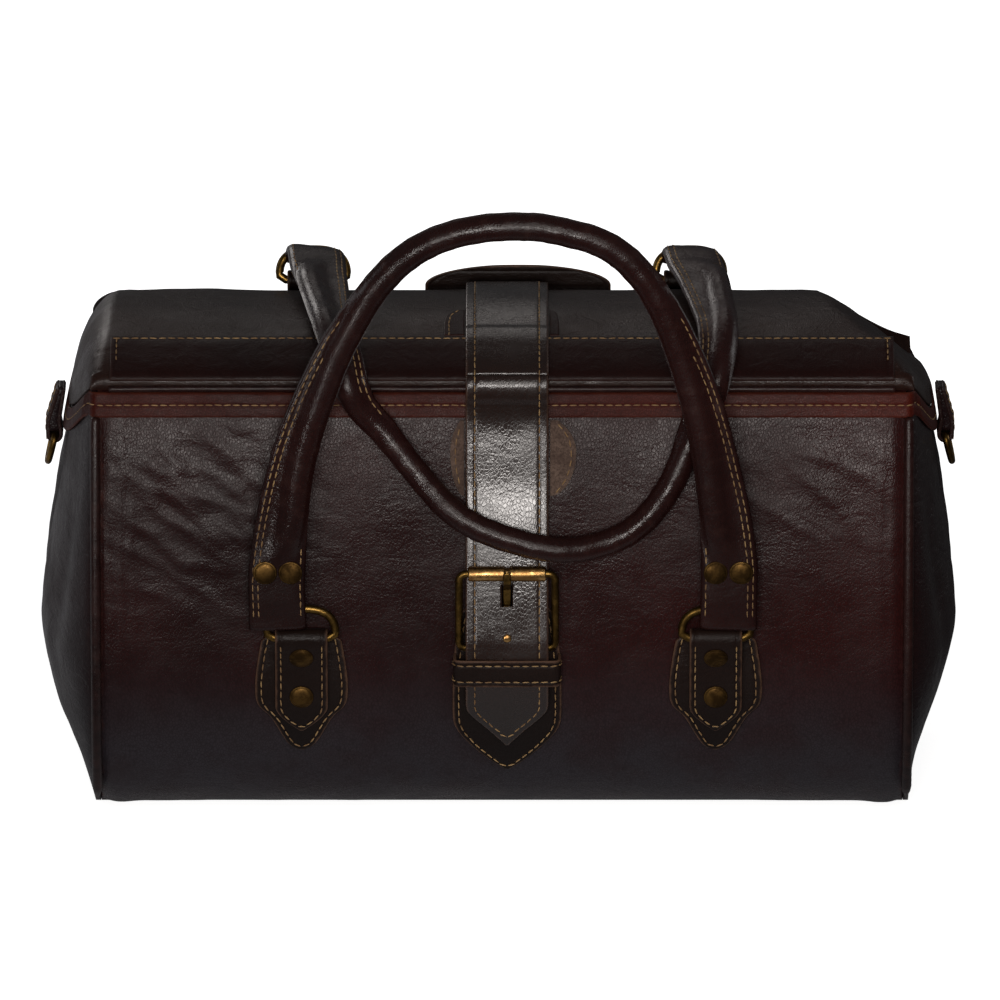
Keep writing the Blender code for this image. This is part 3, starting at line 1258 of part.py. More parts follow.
def proud(x, s):
    """How far the sewn-on pieces stand out from the bag's outline at this place."""
    if -LID_LENGTH < s < -LID_BAND_DEPTH * 1.15:
        out = 0.0
    elif s < -LID_PIPING_RADIUS * 5:
        out = LID_BAND + GAP
    elif s < LID_PIPING_RADIUS:
        out = LID_PIPING_RADIUS * 2 + GAP
    elif s < RIM_BAND_HEIGHT + RIM_GAP * 3:
        out = RIM_BAND * 0.85
    else:
        out = 0.0
    x -= STRAP_MIDDLE
    if abs(x) < STRAP_WIDTH / 2 + GUARD_WIDTH_RIGHT + GAP * 4:
        out += EAR_THICKNESS + GAP
    if abs(x) < STRAP_WIDTH / 2 + HANDLE_RADIUS and s > 0:
        out = strap_lift(s) + STRAP_THICKNESS
    return out


def make_rear_handle(swing, bar):
    """The handle that lies forward over the lid, and its two rings."""
    rise = Vector((0, 0.35, 1)).normalized()
    reach = RING_DEPTH - RING_WIRE_RADIUS * 2
    span = HANDLE_HALF_SPAN
    lays = [(x * span, share * LID_LENGTH) for x, share in LAY_LEFT_SHARES]
    above = MOUTH_HEIGHT - BUCKLE_ROLLER_HEIGHT
    lays += [(x * span, BODY.length_at_height(BUCKLE_ROLLER_HEIGHT + above * h)) for x, h in LAY_FRONT_SHARES]
    lays += [(x * span, share * LID_LENGTH) for x, share in LAY_RIGHT_SHARES]
    dense = smooth_curve(lays, 3)
    run = np.concatenate([[0], np.cumsum(np.linalg.norm(np.diff(dense, axis=0), axis=1))])
    whole = run[-1] + 2 * RING_DEPTH
    shares = np.minimum(run + RING_DEPTH, whole - run - RING_DEPTH) / (whole / 2)
    bare = np.array([proud(x, s) for x, s in dense])
    wide = np.where((dense[:, 1] > RIM_BAND_HEIGHT * 2) & (dense[:, 0] < HANDLE_HALF_SPAN * 0.7), 2.2, 0.7)
    near = [np.abs(run - r) < HANDLE_RADIUS * k for r, k in zip(run, wide)]
    top = np.array([bare[close].max() for close in near])
    soft = np.array([top[close].mean() for close in near])
    half = [handle_section_sizes(q, REAR_HANDLE_RADIUS)[1] for q in shares]
    spring = np.interp(dense[:, 1] / LID_LENGTH, *zip(*REAR_RISE_SHARES)) * LID_LENGTH
    rises = np.maximum(soft, bare) + half + GAP * 3
    points = []
    for (x, s), lift, up in zip(dense, rises, spring):
        points.append(Vector((x, *DRAPE.at(s, lift))) + Vector((0, 0, up)))
    ends = []
    for x in (REAR_RING_LEFT, REAR_RING_RIGHT):
        foot = bar + Vector((x, 0, 0))
        forward = Vector((0, HANDLE_RADIUS * 0.1, 0))
        ends.append([foot + rise * (reach * 0.5), foot + rise * (reach * 0.9) - forward])
    path = ends[0] + points + ends[1][::-1]
    total = len(path) - 1
    run = [0.0]
    for a, b in zip(path, path[1:]):
        run.append(run[-1] + (b - a).length)
    sections = []
    for i, p in enumerate(path):
        along = (path[min(i + 1, total)] - path[max(i - 1, 0)]).normalized()
        share = min(run[i], run[-1] - run[i]) / (run[-1] / 2)
        w, t, power = handle_section_sizes(share, REAR_HANDLE_RADIUS)
        normal = Vector((0, *outward_at(p)))
        if i in (0, 1, total - 1, total):
            normal = Vector((0, 1, 0))
        thick = (normal - along * normal.dot(along)).normalized()
        wide = along.cross(thick).normalized()
        sections.append(ring_section(p, wide, thick, w, t, 10, power))
    handle = swept("rear_handle", sections, "leather", swing)
    for side, x in (("left", REAR_RING_LEFT), ("right", REAR_RING_RIGHT)):
        ring = make_ring(f"rear_ring_{side}", (x, bar.y, bar.z), rise, swing)
        cut_ring_hole(handle, f"rear_ring_{side}_hole", ring, swing)


def outward_at(point):
    """The bag's outward direction nearest to a point, in Y and Z."""
    d = np.linalg.norm(DRAPE.points - np.array([point.y, point.z]), axis=1)
    s = DRAPE.lengths[int(np.argmin(d))]
    way = DRAPE.at(s, 1.0) - DRAPE.at(s, 0.0)
    return way / np.linalg.norm(way)


def make_rear_chape(name, x, bar, lid):
    """The folded tab on the lid's rear edge that holds a rear ring."""
    t = CHAPE_LEATHER
    radius = RING_WIRE_RADIUS + GAP * 1.5 + t / 2
    s = -LID_LENGTH * 0.93
    lift = GAP + t / 2
    end = s + REAR_CHAPE_LENGTH * 0.25
    start = Vector((0, *LID.at(-LID_LENGTH + HINGE_ROLL_RADIUS, lift)))
    path = [start, Vector((0, *LID.at(s - REAR_CHAPE_LENGTH * 0.15, lift)))]
    across = Vector((0, *(LID.at(s, 1.0) - LID.at(s, 0.0))))
    across.normalize()
    along = Vector((0, -across.z, across.y))
    if along.z < 0:
        along = -along
    for k in range(8):
        a = math.pi * k / 7
        path.append(bar - across * (math.cos(a) * radius) + along * (math.sin(a) * radius))
    path.append(bar + across * radius - along * (REAR_CHAPE_LENGTH * 0.35))
    path = [p + Vector((x, 0, 0)) for p in path]
    swept(name, flat_sections(path, (1, 0, 0), [CHAPE_HALF_WIDTH] * len(path), t), "leather", lid)


def make_rear_tab(lid):
    """The arched leather tab that stands up behind the strap at the lid's rear edge."""
    y, z = LID.at(-LID_LENGTH * REAR_TAB_SHARE, GAP)
    height = HINGE_HEIGHT + REAR_TAB_TOP - z
    half = REAR_TAB_WIDTH / 2
    steps = 12
    outline = [(REAR_TAB_MIDDLE - half, 0)]
    for k in range(steps + 1):
        a = math.pi * k / steps
        outline.append((REAR_TAB_MIDDLE - half * math.cos(a), height * (0.25 + 0.75 * math.sin(a))))
    outline.append((REAR_TAB_MIDDLE + half, 0))
    place = lambda across, along, lift: (across, y + lift, z + along)
    sheet("rear_tab", outline, place, 0, REAR_TAB_THICKNESS, height, "leather", lid)


def side_reach(height, side):
    return PANEL_LENGTH / 2 + GAP + LEATHER + gusset_reach(0, height, side)


def side_ring_bar(side):
    """The side ring's top, inside its tab, at the middle of the bag's end."""
    out = side_reach(SIDE_RING_HEIGHT, side) + GAP * 2 + SIDE_CHAPE_LEATHER + SIDE_RING_WIRE
    return Vector((side * out, 0, SIDE_RING_HEIGHT))


def make_side_chape(name, side):
    """The folded tab at an end of the mouth, hanging from the rim over the gusset."""
    t = SIDE_CHAPE_LEATHER
    bar = side_ring_bar(side)
    radius = SIDE_RING_WIRE + GAP * 1.5 + t / 2
    top = SIDE_RING_HEIGHT + SIDE_CHAPE_LENGTH - radius
    clear = RIM_BAND + GAP * 4 + t / 2
    band_low = mouth_height(0) - RIM_BAND_HEIGHT - RIM_GAP * 2
    band = side_reach(mouth_height(0), side) + clear
    inner = bar.x - side * radius
    path = [Vector((side * band, 0, top)), Vector((side * (side_reach(band_low, side) + clear), 0, band_low)),
            Vector((inner, 0, bar.z + radius * 0.4))]
    for k in range(8):
        a = math.pi * k / 7
        path.append(bar + Vector((-side * math.cos(a) * radius, 0, -math.sin(a) * radius)))
    path.append(bar + Vector((side * radius, 0, radius * 0.4)))
    outer = max(abs(bar.x) + radius, side_reach(band_low, side) + clear + t + GAP * 2)
    path.append(Vector((side * outer, 0, band_low)))
    path.append(Vector((side * (band + t + GAP * 2), 0, top)))
    half = SIDE_CHAPE_WIDTH / 2
    swept(name, flat_sections(path, (0, 1, 0), [half] * len(path), t), "leather")


def make_side_ring(name, side, swing):
    """A round-bowed ring that hangs from its tab."""
    bar = side_ring_bar(side)
    r = SIDE_RING_RADIUS
    half = r - SIDE_RING_WIRE * 0.5
    down = Vector((side * math.sin(SIDE_RING_TILT), 0, -math.cos(SIDE_RING_TILT)))
    path = [bar + Vector((0, half * share, 0)) for share in (-0.8, 0, 0.8)]
    for k in range(13):
        a = math.pi * k / 12
        drop = down * (r * (0.15 + 1.35 * math.sin(a) ** 0.9))
        path.append(bar + Vector((0, half * math.cos(a), 0)) + drop)
    swept(name, tube_sections(path, SIDE_RING_WIRE, 8, closed=True), "brass", swing, closed=True)


def build():
    clear_scene()
    bar, rear = ring_bar(), rear_bar()
    lid = pivot("lid_axis", HINGE)
    edge = LID_PIPING_RADIUS * 1.7
    bend = Vector((0, *DRAPE.at(edge, strap_lift(edge))))
    strap = pivot("strap_axis", bend, lid)
    front_swing = pivot("front_handle_axis", bar)
    rear_swing = pivot("rear_handle_axis", rear, lid)
    frame = pivot("buckle_axis", buckle_bar())
    tongue = pivot("tongue_axis", buckle_bar(), frame)
    roller = pivot("roller_axis", buckle_top(), frame)

    make_wrap()
    for name, side in (("left", -1), ("right", 1)):
        make_gusset(f"gusset_{name}", side)
        make_piping(f"piping_front_{name}", side, False)
        make_piping(f"piping_back_{name}", side, True)
    make_base_board()
    make_lining()
    make_rim_band()
    make_mouth_frame()
    make_hinge_roll()
    make_strap_guard("strap_guard_left", -1, GUARD_WIDTH_LEFT)
    make_strap_guard("strap_guard_right", 1, GUARD_WIDTH_RIGHT)
    make_front_mounting("left", FRONT_RING_LEFT, bar)
    make_front_mounting("right", FRONT_RING_RIGHT, bar)
    make_buckle_patch()
    make_buckle_chape()
    make_keeper()
    make_buckle(frame, roller, tongue)

    make_lid_panel(lid)
    make_lid_band(lid)
    make_lid_piping(lid)
    make_lid_frame(lid)
    make_lid_lining(lid)
    make_lid_ear("lid_ear_left", -1, EAR_WIDTH_LEFT, lid)
    make_lid_ear("lid_ear_right", 1, EAR_WIDTH_RIGHT, lid)
    make_strap_top(lid)
    make_rear_tab(lid)
    make_rear_chape("rear_chape_left", REAR_RING_LEFT, rear, lid)
    make_rear_chape("rear_chape_right", REAR_RING_RIGHT, rear, lid)
    make_strap_tail(strap)
    make_front_handle(front_swing, bar)
    make_rear_handle(rear_swing, rear)
    for name, side in (("left", -1), ("right", 1)):
        swing = pivot(f"side_ring_{name}_axis", side_ring_bar(side))
        make_side_chape(f"side_chape_{name}", side)
        make_side_ring(f"side_ring_{name}", side, swing)


build()
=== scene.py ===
"""Looks of the framed leather travel bag: grained oxblood leather, tan stitching and aged brass, laid over
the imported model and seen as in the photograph.

Metres, +Z up. The front faces -Y and the length runs along X. A place on the leather is given by X and by
the length along the bag's outline in Y and Z: negative over the lid, zero at the mouth, positive down the
front and up the back.
"""

import math

import bmesh
import bpy
import numpy as np
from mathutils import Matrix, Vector, noise

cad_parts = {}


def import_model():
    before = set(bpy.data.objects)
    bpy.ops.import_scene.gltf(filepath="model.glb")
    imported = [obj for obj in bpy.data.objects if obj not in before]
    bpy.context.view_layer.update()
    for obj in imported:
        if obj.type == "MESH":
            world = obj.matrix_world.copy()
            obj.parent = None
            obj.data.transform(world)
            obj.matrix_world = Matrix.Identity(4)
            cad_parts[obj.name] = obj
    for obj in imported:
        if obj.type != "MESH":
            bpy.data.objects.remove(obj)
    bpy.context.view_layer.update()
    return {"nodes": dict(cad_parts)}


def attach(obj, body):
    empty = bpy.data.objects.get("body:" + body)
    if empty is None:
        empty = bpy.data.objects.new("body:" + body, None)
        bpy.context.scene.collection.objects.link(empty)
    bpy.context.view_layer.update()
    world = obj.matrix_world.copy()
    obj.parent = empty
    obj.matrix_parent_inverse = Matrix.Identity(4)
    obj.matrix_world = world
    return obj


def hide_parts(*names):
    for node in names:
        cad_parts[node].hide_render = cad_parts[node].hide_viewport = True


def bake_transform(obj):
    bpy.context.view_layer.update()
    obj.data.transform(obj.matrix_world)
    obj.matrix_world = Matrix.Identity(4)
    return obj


# The model's own sizes
PANEL_LENGTH = 0.400
MOUTH_HEIGHT = 0.228
MOUTH_FRONT = 0.078
MOUTH_DIP = 0.026
BELLY_FRONT = 0.100
BELLY_BACK = 0.096
BELLY_HEIGHT = 0.090
FOOT_HALF_DEPTH = 0.042
LEATHER = 0.0025
GUSSET_BULGE = {-1: 0.0285, 1: 0.0250}
GUSSET_FOOT_POWER = {-1: 1.15, 1: 2.0}
GUSSET_RIM_SHARE = 0.22
PIPING_RADIUS = 0.0026
GAP = 0.0003
CORNER_SINK = 0.016
CORNER_SINK_X = 0.148
CORNER_SINK_Y = 0.006
CORNER_SINK_Z = 0.120
RIM_BAND_HEIGHT = 0.012
RIM_BAND = 0.0014
HINGE_BACK = 0.056
HINGE_HEIGHT = 0.224
HINGE_ROLL_RADIUS = 0.002
HINGE_CORD_SHARE = 1.27
LID_CROWN = 0.021
LID_THICKNESS = 0.003
LID_SKIRT_PROUD = 0.0012
LID_BAND_HALF_LENGTH = 0.194
LID_BAND_DEPTH = 0.0395
LID_BAND = 0.0013
LID_PIPING_RADIUS = 0.0015
EAR_WIDTH = {-1: 0.0100, 1: 0.0045}
EAR_LENGTH = 0.030
EAR_THICKNESS = 0.0013
GUARD_WIDTH = {-1: 0.0070, 1: 0.0132}
GUARD_LENGTH = 0.038
REAR_TAB_MIDDLE = 0.008
REAR_TAB_WIDTH = 0.093
REAR_TAB_TOP = 0.0232
REAR_TAB_LEATHER = 0.0022
STRAP_MIDDLE = 0.0025
STRAP_WIDTH = 0.041
STRAP_THICKNESS = 0.0026
STRAP_TIP_HEIGHT = 0.0485
STRAP_POINT_LENGTH = 0.025
STUD_HEIGHT = 0.1085
BUCKLE_BAR_HEIGHT = 0.1024
BUCKLE_ROLLER_HEIGHT = 0.1414
BUCKLE_HALF_WIDTH = 0.0238
BUCKLE_CORNER = 0.0035
BUCKLE_WIRE_RADIUS = 0.0019
ROLLER_RADIUS = 0.0039
ROLLER_LENGTH = 0.0385
TONGUE_HALF_WIDTH = 0.0019
TONGUE_THICKNESS = 0.0013
BUCKLE_CHAPE_WIDTH = 0.036
BUCKLE_CHAPE = 0.0013
BUCKLE_CHAPE_END_HEIGHT = 0.0862
PATCH_THICKNESS = 0.0025
BUCKLE_PATCH_WIDTH = 0.054
BUCKLE_PATCH_TOP = 0.1215
BUCKLE_PATCH_TIP = 0.0322
KEEPER_TOP = 0.0985
KEEPER_HEIGHT = 0.0135
KEEPER_WIDTH = 0.0535
KEEPER_THICKNESS = 0.0016
FRONT_RINGS = {"left": -0.0995, "right": 0.106}
REAR_RINGS = {"left": -0.0945, "right": 0.0940}
RING_BAR_HEIGHT = 0.108
RING_WIRE_RADIUS = 0.0021
RING_WIDTH = 0.038
RING_DEPTH = 0.0195
HANDLE_RADIUS = 0.0075
REAR_HANDLE_RADIUS = 0.0066
HANDLE_FORWARD = 0.0012
HANDLE_STRAP_HALF_WIDTH = 0.0142
HANDLE_STRAP_HALF_THICKNESS = 0.0040
HANDLE_HALF_SPAN = 0.1115
HANDLE_RISE = 0.2145
HANDLE_MIDDLE = 0.0005
HANDLE_LEAN = math.radians(0.8)
RIVET_RADIUS = 0.006
RIVET_DOME = 0.0013
HANDLE_RIVET_RISE = 0.036
HANDLE_RIVET_SPREAD = 0.0063
CHAPE_HALF_WIDTH = 0.013
CHAPE_LEATHER = 0.0025
CHAPE_TIP_HEIGHT = 0.0575
CHAPE_RIVET_TOP = 0.0985
CHAPE_RIVET_BOTTOM = 0.0765
CHAPE_RIVET_SEAT = 0.0066
FRONT_PATCH_WIDTH = 0.046
FRONT_PATCH_TOP = 0.1065
FRONT_PATCH_TIP = 0.0445
REAR_CHAPE_LENGTH = 0.020
SIDE_CHAPE_WIDTH = 0.013
SIDE_CHAPE_LENGTH = 0.028
SIDE_CHAPE_LEATHER = 0.0022
SIDE_RING_RADIUS = 0.0105
SIDE_RING_WIRE = 0.0017
SIDE_RING_HEIGHT = 0.1785
SIDE_RING_TILT = math.radians(13)

# A length that is as good as none
TINY = 1e-12

# Sewing: the thread, and how far each kind of seam lies from its edge
STITCH_PITCH = 0.0045
STITCH_LENGTH = 0.0037
THREAD_RADIUS = 0.00038
LID_SEAM = 0.0030
EAR_SEAM = 0.0024
GUARD_SEAM = 0.0026
STRAP_SEAM = 0.0045
PATCH_SEAM = 0.0030
CHAPE_SEAM = 0.0028
KEEPER_SEAM = 0.0026
REAR_TAB_SEAM = 0.0030
SIDE_CHAPE_SEAM = 0.0024
HANDLE_OUTER_SEAMS = (0.0024, 0.0050)
HANDLE_INNER_SEAM = 0.0026

BACK_TOP = HINGE_HEIGHT - HINGE_ROLL_RADIUS - GAP
TOP_DEPTH = MOUTH_FRONT + HINGE_BACK


def eased(share):
    share = np.clip(share, 0, 1)
    return share * share * (3 - 2 * share)


def hump(x, middle, width):
    return np.exp(-(((x - middle) / width) ** 2))


def quarter_round(share):
    """A rounded shoulder: nothing at 0, full from 1 on."""
    return np.sqrt(np.clip(1 - (1 - np.clip(share, 0, 1)) ** 2, 0, 1))


def read_off(table, share):
    """What a table of (share, value) pairs says at this share."""
    return np.interp(share, *zip(*table))


def unit(vectors):
    """The same directions, each with a length of one; one without a length keeps none."""
    return vectors / np.maximum(np.linalg.norm(vectors, axis=-1, keepdims=True), TINY)


def run_along(path):
    """The length run from a path's start to each of its points."""
    return np.concatenate([[0], np.cumsum(np.linalg.norm(np.diff(path, axis=0), axis=1))])


def sunk(points):
    """Where points come to lie once the back corner at the right end has sunk."""
    p = np.array(points, float)
    fall = eased((p[..., 0] - CORNER_SINK_X) / (PANEL_LENGTH / 2 - CORNER_SINK_X))
    fall = fall * eased((p[..., 1] - CORNER_SINK_Y) / (HINGE_BACK - CORNER_SINK_Y))
    fall = fall * eased((p[..., 2] - CORNER_SINK_Z) / (HINGE_HEIGHT - CORNER_SINK_Z))
    p[..., 2] -= CORNER_SINK * fall
    return p


def smooth_curve(points, steps):
    """Points on a smooth curve that passes through every given point."""
    p = np.array(points, float)
    ends = np.vstack([2 * p[0] - p[1], p, 2 * p[-1] - p[-2]])
    out = []
    for i in range(len(p) - 1):
        a, b, c, d = ends[i : i + 4]
        for t in np.arange(steps) / steps:
            bend, twist = 2 * a - 5 * b + 4 * c - d, 3 * b - a - 3 * c + d
            out.append(0.5 * (2 * b + (c - a) * t + bend * t**2 + twist * t**3))
    out.append(p[-1])
    return np.array(out)


class Outline:
    """A curve in the plane of Y and Z, read by the length along it. Lift is measured off its outer side."""

    def __init__(self, points, start=0.0, bridged=None, probe=None):
        self.points = np.array(points, float)
        self.lengths = run_along(self.points) + start
        self.probe = probe or (self.lengths[-1] - self.lengths[0]) / (2 * len(self.points))
        if bridged:
            kept = (self.lengths < bridged[0]) | (self.lengths > bridged[1])
            self.points, self.lengths = self.points[kept], self.lengths[kept]

    def place(self, s):
        """The point at this length; past an end it runs straight on."""
        s = np.asarray(s, float)
        out = np.stack([np.interp(s, self.lengths, self.points[:, k]) for k in (0, 1)], -1)
        for end, inner, beyond in ((0, 1, s < self.lengths[0]), (-1, -2, s > self.lengths[-1])):
            way = (self.points[inner] - self.points[end]) / (self.lengths[inner] - self.lengths[end])
            straight = self.points[end] + way * (s - self.lengths[end])[..., None]
            out = np.where(beyond[..., None], straight, out)
        return out

    def outward(self, s):
        s = np.asarray(s)
        along = unit(self.place(s + self.probe) - self.place(s - self.probe))
        return np.stack([along[..., 1], -along[..., 0]], -1)

    def at(self, s, lift=0.0):
        return self.place(s) + np.asarray(lift)[..., None] * self.outward(s)

    def length_at_height(self, height):
        """Where the front of the curve passes this height, going down from its start."""
        z = self.points[:, 1]
        above = height > BELLY_HEIGHT
        low = np.argmin(np.abs(z - BELLY_HEIGHT)) if above else len(z)
        for i in range(len(z) - 1):
            if z[i] >= height >= z[i + 1] and (i <= low or not above):
                share = (z[i] - height) / max(z[i] - z[i + 1], GAP * GAP)
                return self.lengths[i] + share * (self.lengths[i + 1] - self.lengths[i])
        return self.lengths[-1]


def belly_arc(belly, top_y, top_z, steps):
    """A circle's arc, upright at the belly and leaning in to the top, as (y, z) from the top down."""
    inward, rise = belly - top_y, top_z - BELLY_HEIGHT
    radius = (inward**2 + rise**2) / (2 * inward)
    angles = np.linspace(math.asin(rise / radius), 0, steps)
    return [(belly - radius * (1 - math.cos(a)), BELLY_HEIGHT + radius * math.sin(a)) for a in angles]


def foot_arc(belly, steps):
    """A quarter of an ellipse from the belly down to the flat bottom."""
    angles = np.linspace(0, math.pi / 2, steps)
    reach = belly - FOOT_HALF_DEPTH
    return [(FOOT_HALF_DEPTH + reach * math.cos(a), BELLY_HEIGHT * (1 - math.sin(a))) for a in angles]


def side_profile(back, steps=24):
    """One side of the body seen from its end, as (y outward, z) from the mouth down to the bottom."""
    arc = (BELLY_BACK, HINGE_BACK, BACK_TOP) if back else (BELLY_FRONT, MOUTH_FRONT, MOUTH_HEIGHT)
    return belly_arc(*arc, steps) + foot_arc(arc[0], steps)[1:]


# The lid's outline from the mouth's front to its back: shares of the mouth's depth and of the lid's crown
LID_SHARES = [
    (-0.022, 0.05), (-0.036, 0.20), (-0.018, 0.42), (0.08, 0.68), (0.20, 0.86),
    (0.50, 1.00), (0.76, 0.80), (0.93, 0.44), (0.995, 0.12), (1.0, -0.06),
]
BODY = Outline([(-y, z) for y, z in side_profile(False)] + side_profile(True)[::-1])
_lid = smooth_curve([(-MOUTH_FRONT + TOP_DEPTH * a, MOUTH_HEIGHT + LID_CROWN * b) for a, b in LID_SHARES], 8)
LID_LENGTH = float(run_along(_lid)[-1])
LID = Outline(_lid[::-1], -LID_LENGTH)
WHOLE = np.vstack([_lid[::-1], BODY.points[1:]])
OVERALL = Outline(WHOLE, -LID_LENGTH)
DRAPE = Outline(WHOLE, -LID_LENGTH, (-LID_PIPING_RADIUS * 2, RIM_BAND_HEIGHT), LEATHER * 2)


def front(height, lift=0.0):
    """A point (y, z) on the bag's front."""
    return BODY.at(BODY.length_at_height(height), lift)


def mouth_height(y):
    """The mouth's edge, which dips in the middle of the bag's ends."""
    share = np.clip((y + MOUTH_FRONT) / TOP_DEPTH, 0, 1)
    return MOUTH_HEIGHT + (BACK_TOP - MOUTH_HEIGHT) * share - MOUTH_DIP * np.sin(math.pi * share)


def body_side(height, back):
    """How far forward or back the body reaches at this height."""
    points = side_profile(back)
    reach = np.interp(-np.asarray(height), [-p[1] for p in points], [p[0] for p in points])
    return reach if back else -reach


def gusset_reach(y, height, side):
    """How far the gusset stands out from the seam at this place."""
    low, high = body_side(height, False), body_side(height, True)
    across = np.clip((y - low) / (high - low), 0, 1)
    up, peak = height / MOUTH_HEIGHT, BELLY_HEIGHT / MOUTH_HEIGHT
    under = np.sin(math.pi / 2 * np.clip(up / peak, 0, 1)) ** GUSSET_FOOT_POWER[side]
    over = 1 - (1 - GUSSET_RIM_SHARE) * np.clip((up - peak) / (1 - peak), 0, 1) ** 1.3
    swell = np.where(up < peak, under, over)
    return GUSSET_BULGE[side] * swell * (4 * across * (1 - across)) ** 0.65


def rough_field(points, size, seed, octaves=3):
    """Smooth noise between about -1 and 1 at every point, for lengths of this size."""
    p = np.asarray(points, float).reshape(-1, 3) / size
    shift = Vector((seed * 17.3, seed * 5.1, seed * 9.7))
    out = [noise.fractal(Vector(q) + shift, 1.0, 2.0, octaves, noise_basis="PERLIN_ORIGINAL") for q in p]
    return np.array(out).reshape(np.asarray(points).shape[:-1])


# Building meshes
def new_piece(name, points, faces, material, body, wear=None):
    """A mesh with its place in its vertices, its own material and a wear value at every point."""
    mesh = bpy.data.meshes.new(name)
    mesh.from_pydata([tuple(p) for p in np.asarray(points, float)], [], [tuple(f) for f in faces])
    mesh.validate()
    shape = bmesh.new()
    shape.from_mesh(mesh)
    bmesh.ops.recalc_face_normals(shape, faces=shape.faces)
    if shape.calc_volume(signed=True) < 0:
        bmesh.ops.reverse_faces(shape, faces=shape.faces)
    shape.to_mesh(mesh)
    shape.free()
    mesh.shade_smooth()
    worn = np.zeros(len(mesh.vertices)) if wear is None else np.asarray(wear, float)
    mesh.attributes.new("wear", "FLOAT", "POINT").data.foreach_set("value", worn)
    mesh.materials.append(material)
    thing = bpy.data.objects.new(name, mesh)
    bpy.context.scene.collection.objects.link(thing)
    thing["body"] = body
    return thing


def settle(thing, slot, *nodes):
    """Hangs a finished piece on its body and hides the solids it stands for; the finish it is named for
    (slot) is not used.
    """
    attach(thing, thing["body"])
    if nodes:
        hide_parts(*nodes)
    return thing


def grid_faces(rows, columns, closed_columns=False, closed_rows=False):
    """Four-sided faces between the points of a grid."""
    i, j = np.meshgrid(np.arange(rows if closed_rows else rows - 1),
                       np.arange(columns if closed_columns else columns - 1), indexing="ij")
    i, j = i.ravel(), j.ravel()
    ni, nj = (i + 1) % rows, (j + 1) % columns
    return np.stack([i * columns + j, i * columns + nj, ni * columns + nj, ni * columns + j], 1)


def grid_normals(grid):
    """The direction off the sheet at each point of a grid."""
    return unit(np.cross(np.gradient(grid, axis=1), np.gradient(grid, axis=0)))


def walled(name, outer, inner, material, body, wear=None):
    """A closed sheet between two grids of points."""
    outer, inner = np.asarray(outer, float), np.asarray(inner, float)
    rows, columns = outer.shape[:2]
    far = rows * columns
    faces = grid_faces(rows, columns)
    faces = [*faces, *(faces[:, ::-1] + far)]
    at = np.arange(far).reshape(rows, columns)
    rim = [*at[0], *at[1:, -1], *at[-1, -2::-1], *at[-2:0:-1, 0]]
    faces += [(b, a, far + a, far + b) for a, b in zip(rim, rim[1:] + rim[:1])]
    points = np.concatenate([outer.reshape(-1, 3), inner.reshape(-1, 3)])
    both = None if wear is None else np.concatenate([np.ravel(wear), np.ravel(wear)])
    return new_piece(name, points, faces, material, body, both)


def tube(name, sections, material, body, closed=False, wear=None):
    """A closed body through cross-sections, as an array (sections, sides, 3)."""
    sections = np.asarray(sections, float)
    count, sides = sections.shape[:2]
    faces = [*grid_faces(count, sides, True, closed)]
    points = sections.reshape(-1, 3)
    if not closed:
        points = np.concatenate([points, sections[0].mean(0)[None], sections[-1].mean(0)[None]])
        end, last_ring = count * sides, (count - 1) * sides
        faces += [(k, (k + 1) % sides, end) for k in range(sides)]
        faces += [(last_ring + (k + 1) % sides, last_ring + k, end + 1) for k in range(sides)]
        if wear is not None:
            wear = np.concatenate([np.ravel(wear), [0, 0]])
    return new_piece(name, points, faces, material, body, None if wear is None else np.ravel(wear))


def path_frames(path, closed):
    """Two steady directions across a path at each of its points."""
    p = np.asarray(path, float)
    along = unit(np.roll(p, -1, 0) - np.roll(p, 1, 0) if closed else np.gradient(p, axis=0))
    side = np.zeros_like(p)
    current = np.cross(along[0], (0, 0, 1) if abs(along[0, 2]) < 0.9 else (0, 1, 0))
    for i, way in enumerate(along):
        current = unit(current - way * (current @ way))
        side[i] = current
    return side, np.cross(along, side)


def round_tube(name, path, radius, sides, material, body, closed=False, wear=None):
    """A round tube along a path; radius is one number or one for each point."""
    path = np.asarray(path, float)
    side, other = path_frames(path, closed)
    angles = 2 * math.pi * np.arange(sides) / sides
    radius = np.broadcast_to(np.reshape(radius, (-1, 1, 1)), (len(path), 1, 1)).astype(float)
    ring = side[:, None] * np.cos(angles)[None, :, None] + other[:, None] * np.sin(angles)[None, :, None]
    sections = path[:, None] + ring * radius
    if not closed:
        cap_share, cap_reach = 0.55, float(radius[0, 0, 0]) * 0.35
        caps = []
        for end, inner in ((0, 1), (-1, -2)):
            way = path[end] - path[inner]
            rim = path[end] + (sections[end] - path[end]) * cap_share
            caps.append((rim + way / np.linalg.norm(way) * cap_reach)[None])
        sections = np.concatenate([caps[0], sections, caps[1]])
        if wear is not None:
            wear = np.concatenate([wear[:1], wear, wear[-1:]])
    if wear is not None:
        wear = np.repeat(wear, sides)
    return tube(name, sections, material, body, closed, wear)


def resampled(path, step):
    """The same path with points at an even distance."""
    p = np.asarray(path, float)
    run = run_along(p)
    count = max(int(run[-1] / step), 2)
    wanted = np.linspace(0, run[-1], count + 1)
    return np.stack([np.interp(wanted, run, p[:, k]) for k in range(p.shape[1])], 1)


def softened(path, times):
    """Rounds off the small bends of a path, with its two ends kept."""
    p = np.array(path, float)
    for _ in range(times):
        p[1:-1] = (p[:-2] + 2 * p[1:-1] + p[2:]) / 4
    return p


def half_turn(bar, first, second, radius):
    """Points half round a bar, from its first side by way of its second side."""
    first, second = np.asarray(first) * radius, np.asarray(second) * radius
    return [bar + first * math.cos(a) + second * math.sin(a) for a in np.linspace(0, math.pi, 17)]


